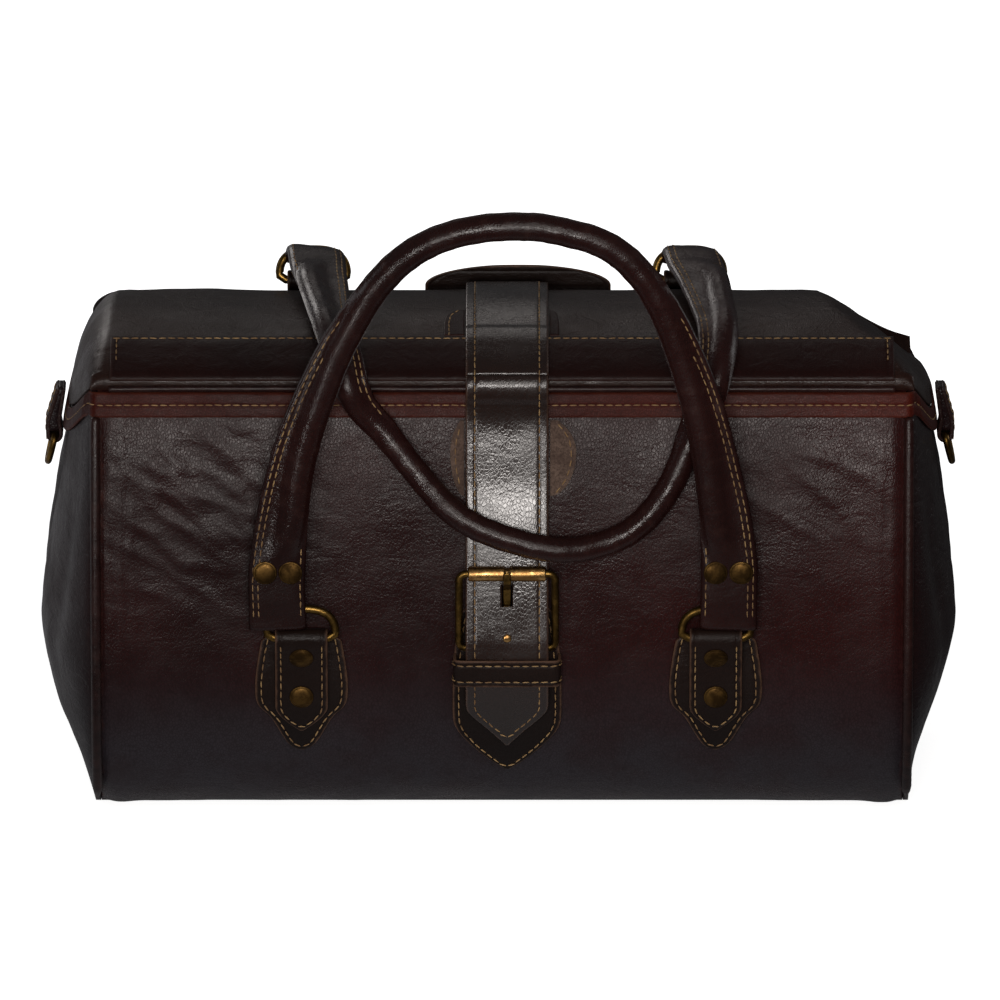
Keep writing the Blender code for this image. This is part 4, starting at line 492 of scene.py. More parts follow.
# How a seam presses the leather in, how thin a strap's edge is, how far in it is rubbed and where a padded
# strap reaches its full height
GROOVE_STEP = 0.0006
GROOVE_WIDTH = 0.00055
GROOVE_DEPTH = 0.0004
EDGE_SHARE = 0.25
EDGE_WEAR = 0.0014
BULGE_REACH = 0.008

# How finely folds and handles are sampled along their length
FOLD_STEP = 0.0008
HANDLE_STEP = 0.0022

SIDES = (("left", -1), ("right", 1))

# Directions in the plane of Y and Z
UPWARD = (0, 1)
FORWARD = (-1, 0)
BACKWARD = (1, 0)

# Directions in space
ACROSS = np.array([1.0, 0, 0])
DEEP = np.array([0, 1.0, 0])


class Ribbon:
    """A leather strap that runs along a path in one plane and is wide across it.

    path holds two coordinates of the strap's middle layer, edges the two limits across it at every point.
    world turns (across, first, second) into a point."""

    def __init__(self, path, edges, thickness, world=None, step=0.0012):
        fine = resampled(np.column_stack([path, edges]), step)
        self.path, self.edges = fine[:, :2], fine[:, 2:]
        self.thickness = thickness
        along = unit(np.gradient(self.path, axis=0))
        self.normal = np.stack([along[:, 1], -along[:, 0]], 1)
        self.run = run_along(self.path)
        self.world = world or (lambda across, p: np.stack([across, p[..., 0], p[..., 1]], -1))

    def facing(self, way, share=0.5):
        """The same strap with its good side this way, as it lies at this share of its length."""
        row = min(int(len(self.normal) * share), len(self.normal) - 1)
        if self.normal[row] @ np.asarray(way, float) < 0:
            self.normal = -self.normal
        return self

    def point(self, row, across, lift):
        """A place at this row, this far across, lifted off the middle layer."""
        p = self.path[row] + self.normal[row] * np.asarray(lift)[..., None]
        return self.world(np.asarray(across, float), p)

    def piece(self, name, material, body, groove=None, round_off=0.0011, ends=(True, True), bulge=0.0):
        """The strap as a closed sheet with rounded edges, pressed in along its seam."""
        left, right = self.edges.T
        half = np.maximum((right - left) / 2, GAP)
        insets = {round(v * round_off, 6) for v in (0, 0.10, 0.3, 0.6, 1.0, 1.5)}
        if groove:
            insets |= {round(groove + GROOVE_STEP * k, 6) for k in range(-2, 3)}
        count = max(int(np.median(half) / 0.0018), 2)
        inner = np.linspace(max(insets), np.median(half), count + 2)[1:]
        depths = np.array(sorted(insets) + list(inner))
        scale = np.minimum(half / max(depths), 1)[:, None]
        inset = np.minimum(depths * scale, half[:, None])
        inset[:, -1] = half
        across = np.concatenate([left[:, None] + inset, (right[:, None] - inset)[:, -2::-1]], 1)
        true = np.concatenate([inset, inset[:, -2::-1]], 1)
        from_end = np.full(len(self.run), 1.0)
        if ends[0]:
            from_end = np.minimum(from_end, self.run)
        if ends[1]:
            from_end = np.minimum(from_end, self.run[-1] - self.run)
        nearest = np.minimum(true, from_end[:, None])
        thick = self.thickness / 2 * (EDGE_SHARE + (1 - EDGE_SHARE) * quarter_round(nearest / round_off))
        top = thick + bulge * eased(nearest / BULGE_REACH)
        if groove:
            top = top - GROOVE_DEPTH * hump(nearest, groove, GROOVE_WIDTH)
        rows = np.arange(len(self.run))[:, None] * np.ones_like(across, int)
        outer, back = self.point(rows, across, top), self.point(rows, across, -thick)
        return walled(name, outer, back, material, body, np.exp(-nearest / EDGE_WEAR))

    def line(self, side, inset, first=0.0, last=0.0):
        """A row of sewing along one edge."""
        left, right = self.edges.T
        across = left + inset if side < 0 else right - inset
        keep = (self.run >= first) & (self.run <= self.run[-1] - last) & (right - left > 2 * inset)
        rows = np.nonzero(keep)[0]
        return self.point(rows, across[rows], self.thickness / 2)

    def border(self, inset, first=0.0):
        """A row of sewing down one edge, round the point and up the other edge."""
        left = self.line(-1, inset, first=first, last=inset)
        right = self.line(1, inset, first=first, last=inset)
        return np.concatenate([left, right[::-1]])


def level_grid(grid, outline, lengths, lift):
    """Points (x, y, z) for a grid of X positions and lengths along an outline, lifted off it."""
    base, out = outline.place(lengths), outline.outward(lengths)
    yz = base[:, None, :] + out[:, None, :] * lift[..., None]
    return np.concatenate([grid[..., None], yz], -1)


# Sewing rows are kept here, body by body, until the thread is laid
sewing = {}


def sew(body, line):
    """Keeps a row of sewing for the thread of this body."""
    sewing.setdefault(body, []).append(resampled(line, STITCH_PITCH / 2))


# The big soft panels

# Soft furrows beside the end seams: place along X, depth, width
SEAM_FURROWS = ((-0.1915, 0.0011, 0.0016), (-0.1865, 0.0009, 0.0013), (0.1905, 0.0007, 0.0016))

# The creased lower corners: place along X and width, place down the front and width
LEFT_CORNER = ((-0.148, 0.050), (0.052, 0.050))
RIGHT_CORNER = ((0.150, 0.055), (0.045, 0.040))
CREASE_TURN = math.radians(32)
CREASE_STRETCH = 0.32

# How far the wrap may stand out from its outline, and how high its foot begins
WRAP_PROUD = 0.0014
WRAP_FOOT = 0.012


def patch_share(grid, along, place):
    """How strongly a round patch of the wrap counts here."""
    return hump(grid, *place[0]) * hump(along, *place[1])


def wrap_creases(grid, along):
    """How far the wrap stands off its outline, and how much its left corner is rubbed."""
    flat = np.stack([grid, along, grid * 0], -1)
    lift = 0.0010 * rough_field(flat, 0.11, 1) + 0.0004 * rough_field(flat, 0.030, 2)
    cosine, sine = math.cos(CREASE_TURN), math.sin(CREASE_TURN)
    first, second = (grid * cosine + along * sine) * CREASE_STRETCH, along * cosine - grid * sine
    across = np.stack([first, second, grid * 0], -1)
    corner = patch_share(grid, along, LEFT_CORNER)
    ridges = 1 - np.abs(rough_field(across, 0.013, 3, 2))
    lift += corner * (0.0016 * (ridges ** 3 - 0.5) + 0.0007 * rough_field(across, 0.005, 12, 2))
    ridges = 1 - np.abs(rough_field(across[..., [1, 0, 2]], 0.020, 4, 2))
    lift += patch_share(grid, along, RIGHT_CORNER) * 0.0010 * (ridges ** 3 - 0.5)
    wander = 0.0022 * rough_field(np.stack([along * 0, along, along * 0], -1), 0.030, 5)
    for middle, depth, width in SEAM_FURROWS:
        lift -= depth * hump(grid + wander, middle, width) * hump(along, 0.085, 0.070)
    return lift, corner * ridges


def make_wrap(leather):
    """One sheet for the front, the bottom and the back, with the creases that use has left in it."""
    half = PANEL_LENGTH / 2
    u = np.linspace(-1, 1, 150)
    s = np.linspace(0, BODY.lengths[-1], 240)
    grid, along = np.meshgrid(half * np.sign(u) * (1 - (1 - np.abs(u)) ** 1.2), s)
    lift, rubbed = wrap_creases(grid, along)
    edge = half - np.abs(grid)
    lift += 0.0012 * hump(edge, 0.010, 0.007) - 0.0012 * hump(edge, 0.0, 0.0035)
    lift *= 1 - 0.75 * np.exp(-np.maximum(along, 0) / 0.010)
    foot = BODY.length_at_height(WRAP_FOOT)
    lift *= 0.3 + 0.7 * (1 - eased((along - foot) / 0.05))
    under = (along > foot - 0.02) & (BODY.place(s)[:, 1][:, None] < 0.004)
    lift = np.minimum(np.where(under, 0, lift), WRAP_PROUD)
    outer = level_grid(grid, BODY, s, lift)
    inner = level_grid(grid, BODY, s, np.full_like(lift, -LEATHER))
    wear = 0.7 * np.exp(-edge / 0.004) + 0.35 * rubbed
    return walled("leather_wrap", sunk(outer), sunk(inner), leather, "bag", wear)


def make_gusset(name, side, leather):
    """An end panel that swells out between its seam and the mouth, with folds down its middle."""
    v = np.linspace(0, 1, 100) ** 1.25
    u = 0.5 - 0.5 * np.cos(np.linspace(0, math.pi, 84))
    rows_y = body_side(v * MOUTH_HEIGHT, False), body_side(v * BACK_TOP, True)
    y = rows_y[0][:, None] + (rows_y[1] - rows_y[0])[:, None] * u
    z = v[:, None] * mouth_height(-MOUTH_FRONT + TOP_DEPTH * u)[None, :]
    reach = np.array([[gusset_reach(a, b, side) for a, b in zip(ra, rb)] for ra, rb in zip(y, z)])
    flat = np.stack([y, z, np.zeros_like(y)], -1)
    inside = eased((4 * u * (1 - u))[None, :] * 1.6) * eased(v[:, None] * 8) * eased((1 - v[:, None]) * 9)
    spread = (u[None, :] - 0.5) * (0.5 + 0.9 * (1 - v[:, None]))
    wander = spread + 0.04 * rough_field(flat, 0.06, 6)
    fold = -0.0042 * hump(wander, 0.0, 0.045) * eased((v[:, None] - 0.30) * 2.2)
    for beside, level in ((0.30, 0.62), (-0.30, 0.60)):
        fold += -0.0026 * hump(spread, beside, 0.06) * hump(v[:, None], level, 0.22)
    fold += 0.0010 * rough_field(flat, 0.035, 7) - 0.0006
    lift = inside * fold
    x = PANEL_LENGTH / 2 + GAP + reach + LEATHER + np.minimum(lift, 0.0006)
    under = PANEL_LENGTH / 2 + GAP + np.maximum(reach + np.minimum(lift, 0), 0)
    outer, back = (np.stack([side * out, y, z], -1) for out in (x, under))
    wear = np.exp(-np.minimum(u, 1 - u) / 0.03)[None, :] * np.ones_like(y) * 0.6
    return walled("leather_" + name, sunk(outer), sunk(back), leather, "bag", wear)


# Cords grow thin above this height and end there
CORD_FOOT = 0.0095


def corded(name, path, radius, material, body, seed, tapered=False):
    """A corded edge, a little uneven where the thread pulls it in, and if tapered thin near the floor."""
    step = radius * 0.6
    path = resampled(path, step)
    run = np.arange(len(path)) * step
    pull = np.abs(np.sin(math.pi * run / STITCH_PITCH))
    width = radius * (0.965 + 0.035 * pull + 0.02 * rough_field(path, 0.02, seed))
    if tapered:
        width = width * (0.12 + 0.88 * eased((path[:, 2] - CORD_FOOT) / 0.011))
    return round_tube(name, path, width, 14, material, body, wear=np.full(len(path), 0.55))


def make_pipings(leather):
    """The corded seams between the wrap and the end panels, apart at the front and at the back."""
    for name, side in SIDES:
        x = side * (PANEL_LENGTH / 2 + (LEATHER + GAP) / 2)
        s = np.linspace(RIM_BAND_HEIGHT + GAP * 7, BODY.lengths[-1] - GAP * 3, 500)
        points = BODY.at(s, PIPING_RADIUS + GAP)
        points = points[points[:, 1] > CORD_FOOT]
        for where, chosen in (("front", points[:, 0] < 0), ("back", points[:, 0] > 0)):
            yz = points[chosen]
            if where == "back":
                yz = yz[yz[:, 1] < yz[:, 1].max() - PIPING_RADIUS * 1.5]
            path = sunk(np.column_stack([np.full(len(yz), x), yz]))
            piece = corded(f"cord_{where}_{name}", path, PIPING_RADIUS, leather, "bag", side + 2, True)
            settle(piece, "leather", f"piping_{where}_{name}")


# The rim band: how far out it lies at the ends, how it bends round the corners, and where it stops
RIM_WIDE = PANEL_LENGTH / 2 + GAP * 2 + LEATHER
RIM_BEND = 0.0032
RIM_STOP = HINGE_BACK * 0.55


def rim_column(kind, side, value, depth, out):
    """The band from top to bottom at one place: Y on an end, an angle at a corner, or X on the front."""
    if kind == "end":
        z = mouth_height(value)
        low = z - GAP * 2.3 - depth
        swell = np.maximum(gusset_reach(value, low, side), gusset_reach(value, z, side))
        return np.stack([side * (RIM_WIDE + swell + out), np.full(len(low), value), low], -1)
    low = MOUTH_HEIGHT - GAP * 2.3 - depth
    y = np.array([front(height)[0] for height in low]) - GAP
    if kind == "front":
        return np.stack([np.full(len(low), value), y - out, low], -1)
    x = side * (RIM_WIDE - RIM_BEND + (RIM_BEND + out) * math.sin(value))
    return np.stack([x, y + RIM_BEND - (RIM_BEND + out) * math.cos(value), low], -1)


def make_rim_band(band):
    """The band sewn round the outside of the mouth, along the front and both ends."""
    upper = [0, 0.02, 0.06, 0.12, 0.2, 0.3, 0.4, 0.46, 0.50]
    shares = np.array(upper + [0.54, 0.6, 0.7, 0.8, 0.88, 0.94, 0.98, 1])
    sewn = len(upper) - 1
    depth = shares * RIM_BAND_HEIGHT
    near = np.minimum(depth, RIM_BAND_HEIGHT - depth)
    swell = RIM_BAND * (0.35 + 0.65 * quarter_round(near / 0.0009))
    swell -= 0.00038 * hump(shares, shares[sewn], 0.05)
    left = [("end", -1, y) for y in np.linspace(RIM_STOP, -MOUTH_FRONT + RIM_BEND * 1.4, 44)]
    left += [("corner", -1, a) for a in np.linspace(math.pi / 2, 0, 7)]
    reach = RIM_WIDE - RIM_BEND * 1.3
    stations = left + [("front", 0, x) for x in np.linspace(-reach, reach, 160)]
    stations += [(kind, 1, value) for kind, _, value in left[::-1]]
    outer, inner = (np.array([rim_column(*st, depth, out) for st in stations]) for out in (swell, swell * 0))
    shiver = 0.00035 * rough_field(outer, 0.022, 8)
    outer[..., 1] += np.where(np.abs(outer[..., 0]) < RIM_WIDE, shiver, 0)
    wear = np.tile(np.exp(-near / 0.0013), (len(stations), 1))
    piece = walled("mouth_band", sunk(outer), sunk(inner), band, "bag", wear)
    settle(piece, "band", "rim_band")
    sew("bag", sunk(outer[:, sewn]))


# By side and by share of the mouth's depth: where the lid's crest ends, and how square its shoulder is
LID_CREST_SHARES = {-1: [(0, 0.985), (0.3, 0.965), (1, 0.95)],
                    1: [(0, 0.985), (0.12, 0.94), (0.3, 0.875), (0.5, 0.825), (0.8, 0.79), (1, 0.775)]}
LID_ROUND_SHARES = {-1: [(0, 1.7), (1, 1.7)], 1: [(0, 1.7), (0.3, 1.45), (0.6, 1.2), (1, 1.12)]}


def lid_row(s, lift, fall_shares, flat_shares):
    """The lid's cross-section along X at one place along its outline."""
    y, top = LID.at(s, lift)
    edge_y = min(max(y, -MOUTH_FRONT), HINGE_BACK)
    low = float(mouth_height(edge_y)) + GAP * 4
    if y < -MOUTH_FRONT:
        low = top - min(top - LID.points[-1][1], MOUTH_DIP * 0.12)
    if s <= -LID_LENGTH * 0.9:
        low = max(low, HINGE_HEIGHT + HINGE_ROLL_RADIUS + GAP * 2)
    share = (y + MOUTH_FRONT) / TOP_DEPTH
    halves = []
    for side in (-1, 1):
        swell = float(gusset_reach(edge_y, mouth_height(edge_y), side))
        drawn_in = 0.005 * float(eased((share - 0.84) / 0.16))
        reach = PANEL_LENGTH / 2 + LEATHER + LID_SKIRT_PROUD + swell - drawn_in
        crest = read_off(LID_CREST_SHARES[side], share) * PANEL_LENGTH / 2
        power = read_off(LID_ROUND_SHARES[side], share)
        x = crest + (reach - crest) * fall_shares
        fall = np.maximum(1 - fall_shares ** power, 0) ** (1 / power)
        z = min(low, top) + max(top - low, 0) * fall
        x = np.concatenate([crest * flat_shares, x])
        z = np.concatenate([np.full(len(flat_shares), top), z])
        halves.append(np.stack([side * x, np.full(len(x), y), z], -1))
    return np.concatenate([halves[0][::-1], halves[1][1:]])


def make_lid(leather):
    """The stiff top, a little hollow between its frame's bars."""
    falls, flats = np.sin(np.linspace(0, math.pi / 2, 26)), np.linspace(0, 1, 44)[:-1]
    parts = (np.linspace(0, 0.12, 26)[:-1], np.linspace(0.12, 0.88, 60)[:-1], np.linspace(0.88, 1, 22))
    shares = np.concatenate(parts)
    outer = np.array([lid_row(-LID_LENGTH * q, 0.0, falls, flats) for q in shares])
    normal = grid_normals(outer)
    normal *= np.sign(normal[len(shares) // 2, outer.shape[1] // 2, 2])
    skirt = np.minimum(outer[:, :1, 2], outer[:, -1:, 2])
    inner = outer - LID_THICKNESS * normal
    inner[..., 2] = np.maximum(inner[..., 2], skirt)
    inner[-1, :, 2] = np.maximum(inner[-1, :, 2], outer[-1, :, 2])
    inner[..., 0] = np.sign(outer[..., 0]) * np.minimum(np.abs(inner[..., 0]), np.abs(outer[..., 0]))
    inner[..., 1] = np.clip(inner[..., 1], outer[..., 1].min(), HINGE_BACK)
    inner[..., 2] = np.minimum(inner[..., 2], np.maximum(outer[..., 2], skirt))
    body = np.clip((outer[..., 2] - skirt) / 0.008, 0, 1)
    flat = outer * np.array([1, 1, 0])
    ends = eased((np.abs(outer[..., 0]) - 0.120) / 0.05)
    dent = 0.0008 * rough_field(flat, 0.055, 9) + 0.0005 * ends * rough_field(flat, 0.016, 10) - 0.0006
    down = shares[:, None]
    mid = eased((down - 0.35) * 4) * eased((0.98 - down) * 9)
    outer = outer + normal * np.minimum(dent * body * mid, 0.0002)[..., None]
    rubbed = np.exp(-(outer[..., 2] - skirt) / 0.003) * 0.6
    wear = np.maximum(rubbed, hump(down, 0.42, 0.05) * 0.35 * ends)
    piece = walled("leather_lid", sunk(outer), sunk(inner), leather, "lid", wear)
    settle(piece, "leather", "lid_panel")


def make_ear(curve, start, run, outline, side, width):
    """A rounded ear beside the strap, its outline in shares of its run along the curve and of its width."""
    share = smooth_curve(outline, 5)
    s = start + run * share[:, 0]
    inner = STRAP_MIDDLE + side * (STRAP_WIDTH / 2 + GAP * 2.3)
    outer = inner + side * width * np.clip(share[:, 1], 0, 1)
    edges = np.sort(np.column_stack([np.full(len(s), inner), outer]), axis=1)
    return Ribbon(curve.at(s, GAP + EAR_THICKNESS / 2), edges, EAR_THICKNESS, step=0.0007)


def make_lid_trim(leather, cord):
    """The band along the lid's front, its corded lower edge and the ears beside the strap."""
    lengths = np.linspace(-LID_PIPING_RADIUS * 4, -LID_BAND_DEPTH, 60)
    half = LID_BAND_HALF_LENGTH
    middle, edges = LID.at(lengths, GAP + LID_BAND / 2), np.tile([-half, half], (60, 1))
    strip = Ribbon(middle, edges, LID_BAND).facing(UPWARD)
    piece = strip.piece("lid_front_band", leather, "lid", LID_SEAM, round_off=0.0009)
    settle(piece, "leather", "lid_band")
    x = np.linspace(-half + 0.003, half - 0.003, 200)
    row = LID.at(LID_SEAM - LID_BAND_DEPTH, GAP + LID_BAND)
    sew("lid", np.column_stack([x, np.tile(row, (200, 1))]))
    for side in (-1, 1):
        sew("lid", strip.line(side, LID_SEAM, first=0.014, last=0.004))
    y, z = LID.at(-LID_PIPING_RADIUS * 2, LID_PIPING_RADIUS + GAP)
    x = np.linspace(-half, half, 60)
    wave = 0.0003 * rough_field(np.column_stack([x, x * 0, x * 0]), 0.05, 11)
    line = np.column_stack([x, y + wave, z + wave])
    settle(corded("lid_front_cord", line, LID_PIPING_RADIUS, cord, "lid", 4), "leather", "lid_piping")
    outline = [(0, 1), (0.40, 1), (0.60, 0.97), (0.80, 0.84), (0.93, 0.58), (0.99, 0.25), (1, 0.04)]
    for name, side in SIDES:
        start = -LID_BAND_DEPTH - GAP * 2.3
        strip = make_ear(OVERALL, start, -EAR_LENGTH, outline, side, EAR_WIDTH[side]).facing(UPWARD)
        piece = strip.piece(f"ear_over_lid_{name}", leather, "lid", round_off=0.0006)
        settle(piece, "leather", f"lid_ear_{name}")
        if side < 0:
            sew("lid", strip.line(side, EAR_SEAM, first=0.001, last=0.002))


def make_guards(suede):
    """The flesh-side ears behind the strap, under the mouth."""
    outline = [(0, 0.30), (0.14, 0.72), (0.30, 0.95), (0.46, 1), (0.64, 0.93), (0.83, 0.70), (0.96, 0.36),
               (1, 0.04)]
    for name, side in SIDES:
        start = RIM_BAND_HEIGHT * 1.1 + GAP * 4.7
        strip = make_ear(BODY, start, GUARD_LENGTH, outline, side, GUARD_WIDTH[side])
        piece = strip.piece(f"flesh_side_ear_{name}", suede, "bag", round_off=0.0006)
        settle(piece, "suede", f"strap_guard_{name}")
        sew("bag", strip.line(side, GUARD_SEAM, first=0.003, last=0.003))


# The strap, its patches and its buckle

# How far the strap and the buckle's parts stand out from the front
STRAP_BEND = LID_PIPING_RADIUS * 5
LOOP_REACH = BUCKLE_WIRE_RADIUS + GAP * 1.3 + BUCKLE_CHAPE
BAR_LIFT = PATCH_THICKNESS + GAP * 1.5 + LOOP_REACH
STRAP_LIFT_AT_BAR = BAR_LIFT + LOOP_REACH + GAP * 2
STRAP_LIFT_AT_ROLLER = PATCH_THICKNESS * 2.5
ROLLER_LIFT = STRAP_LIFT_AT_ROLLER + STRAP_THICKNESS + GAP * 1.5 + ROLLER_RADIUS


def strap_stations():
    """How high the strap's underside lies, as (length along the outline, height)."""
    over = LID_PIPING_RADIUS * 2 + GAP * 2.5
    return [
        (-STRAP_BEND, LID_BAND + GAP * 2), (-LID_PIPING_RADIUS * 3.2, over - GAP),
        (-LID_PIPING_RADIUS * 2, over), (0.0, over),
        (RIM_BAND_HEIGHT * 0.5, RIM_BAND + GAP * 3.5), (RIM_BAND_HEIGHT * 1.2, RIM_BAND + GAP * 2.3),
        (BODY.length_at_height(BUCKLE_ROLLER_HEIGHT + BELLY_HEIGHT * 0.45), GAP * 4.7),
        (BODY.length_at_height(BUCKLE_ROLLER_HEIGHT), STRAP_LIFT_AT_ROLLER),
        (BODY.length_at_height(BUCKLE_BAR_HEIGHT + LOOP_REACH), STRAP_LIFT_AT_BAR),
        (BODY.length_at_height(KEEPER_TOP), STRAP_LIFT_AT_BAR),
        (BODY.length_at_height(KEEPER_TOP - KEEPER_HEIGHT), STRAP_LIFT_AT_BAR - BUCKLE_CHAPE),
        (BODY.length_at_height(STRAP_TIP_HEIGHT + STRAP_POINT_LENGTH * 0.4), PATCH_THICKNESS + GAP * 2.3),
        (BODY.length_at_height(STRAP_TIP_HEIGHT) + STRAP_WIDTH, PATCH_THICKNESS + GAP * 2.3),
    ]


STRAP_STATIONS = strap_stations()


def strap_lift(s):
    return read_off(STRAP_STATIONS, s)


def make_strap(leather):
    """The closing strap: sewn over the lid, free in front down to its point."""
    half = STRAP_WIDTH / 2
    s = np.linspace(-LID_LENGTH * 0.9, -STRAP_BEND, 240)
    down, on_band = -LID_BAND_DEPTH - STRAP_THICKNESS, LID_BAND + GAP * 2.5
    lift = np.interp(s, [down - STRAP_THICKNESS * 2, down, -STRAP_BEND], [GAP * 1.5, on_band, on_band])
    middle = softened(OVERALL.at(s, lift + STRAP_THICKNESS / 2), 6)
    edges = np.tile([STRAP_MIDDLE - half, STRAP_MIDDLE + half], (len(s), 1))
    over = Ribbon(middle, edges, STRAP_THICKNESS).facing(UPWARD)
    piece = over.piece("strap_over_lid", leather, "lid", STRAP_SEAM, ends=(True, False), bulge=0.0003)
    settle(piece, "leather", "strap_top")
    for side in (-1, 1):
        sew("lid", over.line(side, STRAP_SEAM, first=0.004, last=0.001))

    tip = BODY.length_at_height(STRAP_TIP_HEIGHT)
    s = np.linspace(-STRAP_BEND, tip, 420)
    middle = softened(DRAPE.at(s, strap_lift(s) + STRAP_THICKNESS / 2), 4)
    roller_at = BODY.length_at_height(BUCKLE_ROLLER_HEIGHT)
    free = eased((s - 0.002) / 0.006) * eased((roller_at - 0.010 - s) / 0.012)
    middle = middle + (softened(middle, 400) - middle) * free[:, None]
    point = smooth_curve([(0, 1), (0.16, 0.95), (0.40, 0.70), (0.72, 0.33), (0.90, 0.12), (1, 0.02)], 8)
    narrow = read_off(point, (s - tip + STRAP_POINT_LENGTH) / STRAP_POINT_LENGTH)
    edges = STRAP_MIDDLE + np.column_stack([-half * narrow, half * narrow])
    tail = Ribbon(middle, edges, STRAP_THICKNESS).facing(FORWARD)
    sew("strap", tail.border(STRAP_SEAM, first=0.002))
    return tail.piece("strap_front", leather, "strap", STRAP_SEAM, ends=(False, True), bulge=0.0003)


def make_patch(name, middle, width, top, tip, belly, leather, node):
    """A pointed patch that lies on the front, sewn round its border."""
    upper, lower = BODY.length_at_height(top), BODY.length_at_height(tip)
    shares = [(0.0, 0.74), (0.02, 0.82), (0.06, 0.88), (0.30, 0.98), (belly, 1.0), (belly + 0.11, 0.93),
              (belly + 0.22, 0.66), (0.93, 0.30), (1.0, 0.02)]
    curve = smooth_curve(shares, 10)
    s = upper + (lower - upper) * curve[:, 0]
    half = width / 2 * np.clip(curve[:, 1], 0.01, 1)
    edges = np.column_stack([middle - half, middle + half])
    strip = Ribbon(BODY.at(s, GAP / 2 + PATCH_THICKNESS / 2), edges, PATCH_THICKNESS - GAP).facing(FORWARD)
    settle(strip.piece(name, leather, "bag", PATCH_SEAM, round_off=0.0013), "leather", node)
    sew("bag", strip.border(PATCH_SEAM, first=0.002))


def ring_bar():
    """The middle of the front rings' straight part, in the plane of Y and Z."""
    lift = PATCH_THICKNESS + GAP + CHAPE_LEATHER + GAP * 1.5 + RING_WIRE_RADIUS + GAP
    return front(RING_BAR_HEIGHT, lift)


def make_front_chape(side, x, leather, rivets):
    """The folded strap round a front ring's bar, riveted twice and sewn to a point."""
    t, bar = CHAPE_LEATHER, ring_bar()
    radius = RING_WIRE_RADIUS + GAP * 1.5 + t / 2
    low = PATCH_THICKNESS + GAP + t / 2
    back = [front(CHAPE_RIVET_TOP, low), front((CHAPE_RIVET_TOP + RING_BAR_HEIGHT) / 2, low)]
    seats = {}
    heights = {1: (CHAPE_RIVET_TOP, t * 2.9, t * 0.45), 2: (CHAPE_RIVET_BOTTOM, GAP, GAP)}
    for k, (height, above, below) in heights.items():
        upper, lower = height + CHAPE_RIVET_SEAT, height - CHAPE_RIVET_SEAT
        seats[k] = front(upper, low + above), front(lower, low + below)
    tips = [front(CHAPE_TIP_HEIGHT + CHAPE_HALF_WIDTH * k, low) for k in (0.9, 0.6, 0.3, 0.0)]
    path = np.array([*back, *half_turn(bar, BACKWARD, UPWARD, radius), *seats[1], *seats[2], *tips])
    half = CHAPE_HALF_WIDTH * np.array([1.0] * (len(path) - 3) + [0.80, 0.46, 0.04])
    fine = softened(resampled(np.column_stack([path, half]), FOLD_STEP), 5)
    edges = np.column_stack([x - fine[:, 2], x + fine[:, 2]])
    strip = Ribbon(fine[:, :2], edges, t, step=0.0009).facing(FORWARD, 0.75)
    over = np.argmax((strip.path < bar).all(axis=1))
    piece = strip.piece(f"ring_chape_{side}", leather, "bag", CHAPE_SEAM, round_off=0.0010)
    settle(piece, "leather", f"front_chape_{side}")
    sew("bag", strip.border(CHAPE_SEAM, first=strip.run[over] + 0.003))
    for k, (upper, lower) in seats.items():
        way = upper - lower
        out = np.array([-way[1], way[0]]) / np.linalg.norm(way)
        out = out if out[0] < 0 else -out
        face = (upper + lower) / 2 + out * (t / 2 + GAP)
        rivets.append((f"front_chape_rivet_{side}_{k}", (x, *face), (0, *out)))


def buckle_level(share):
    """The height this far up from the buckle's bar to its roller."""
    return BUCKLE_BAR_HEIGHT + (BUCKLE_ROLLER_HEIGHT - BUCKLE_BAR_HEIGHT) * share


def buckle_bar():
    return np.array([STRAP_MIDDLE, *front(BUCKLE_BAR_HEIGHT, BAR_LIFT)])


def buckle_top():
    return np.array([STRAP_MIDDLE, *front(BUCKLE_ROLLER_HEIGHT, ROLLER_LIFT)])


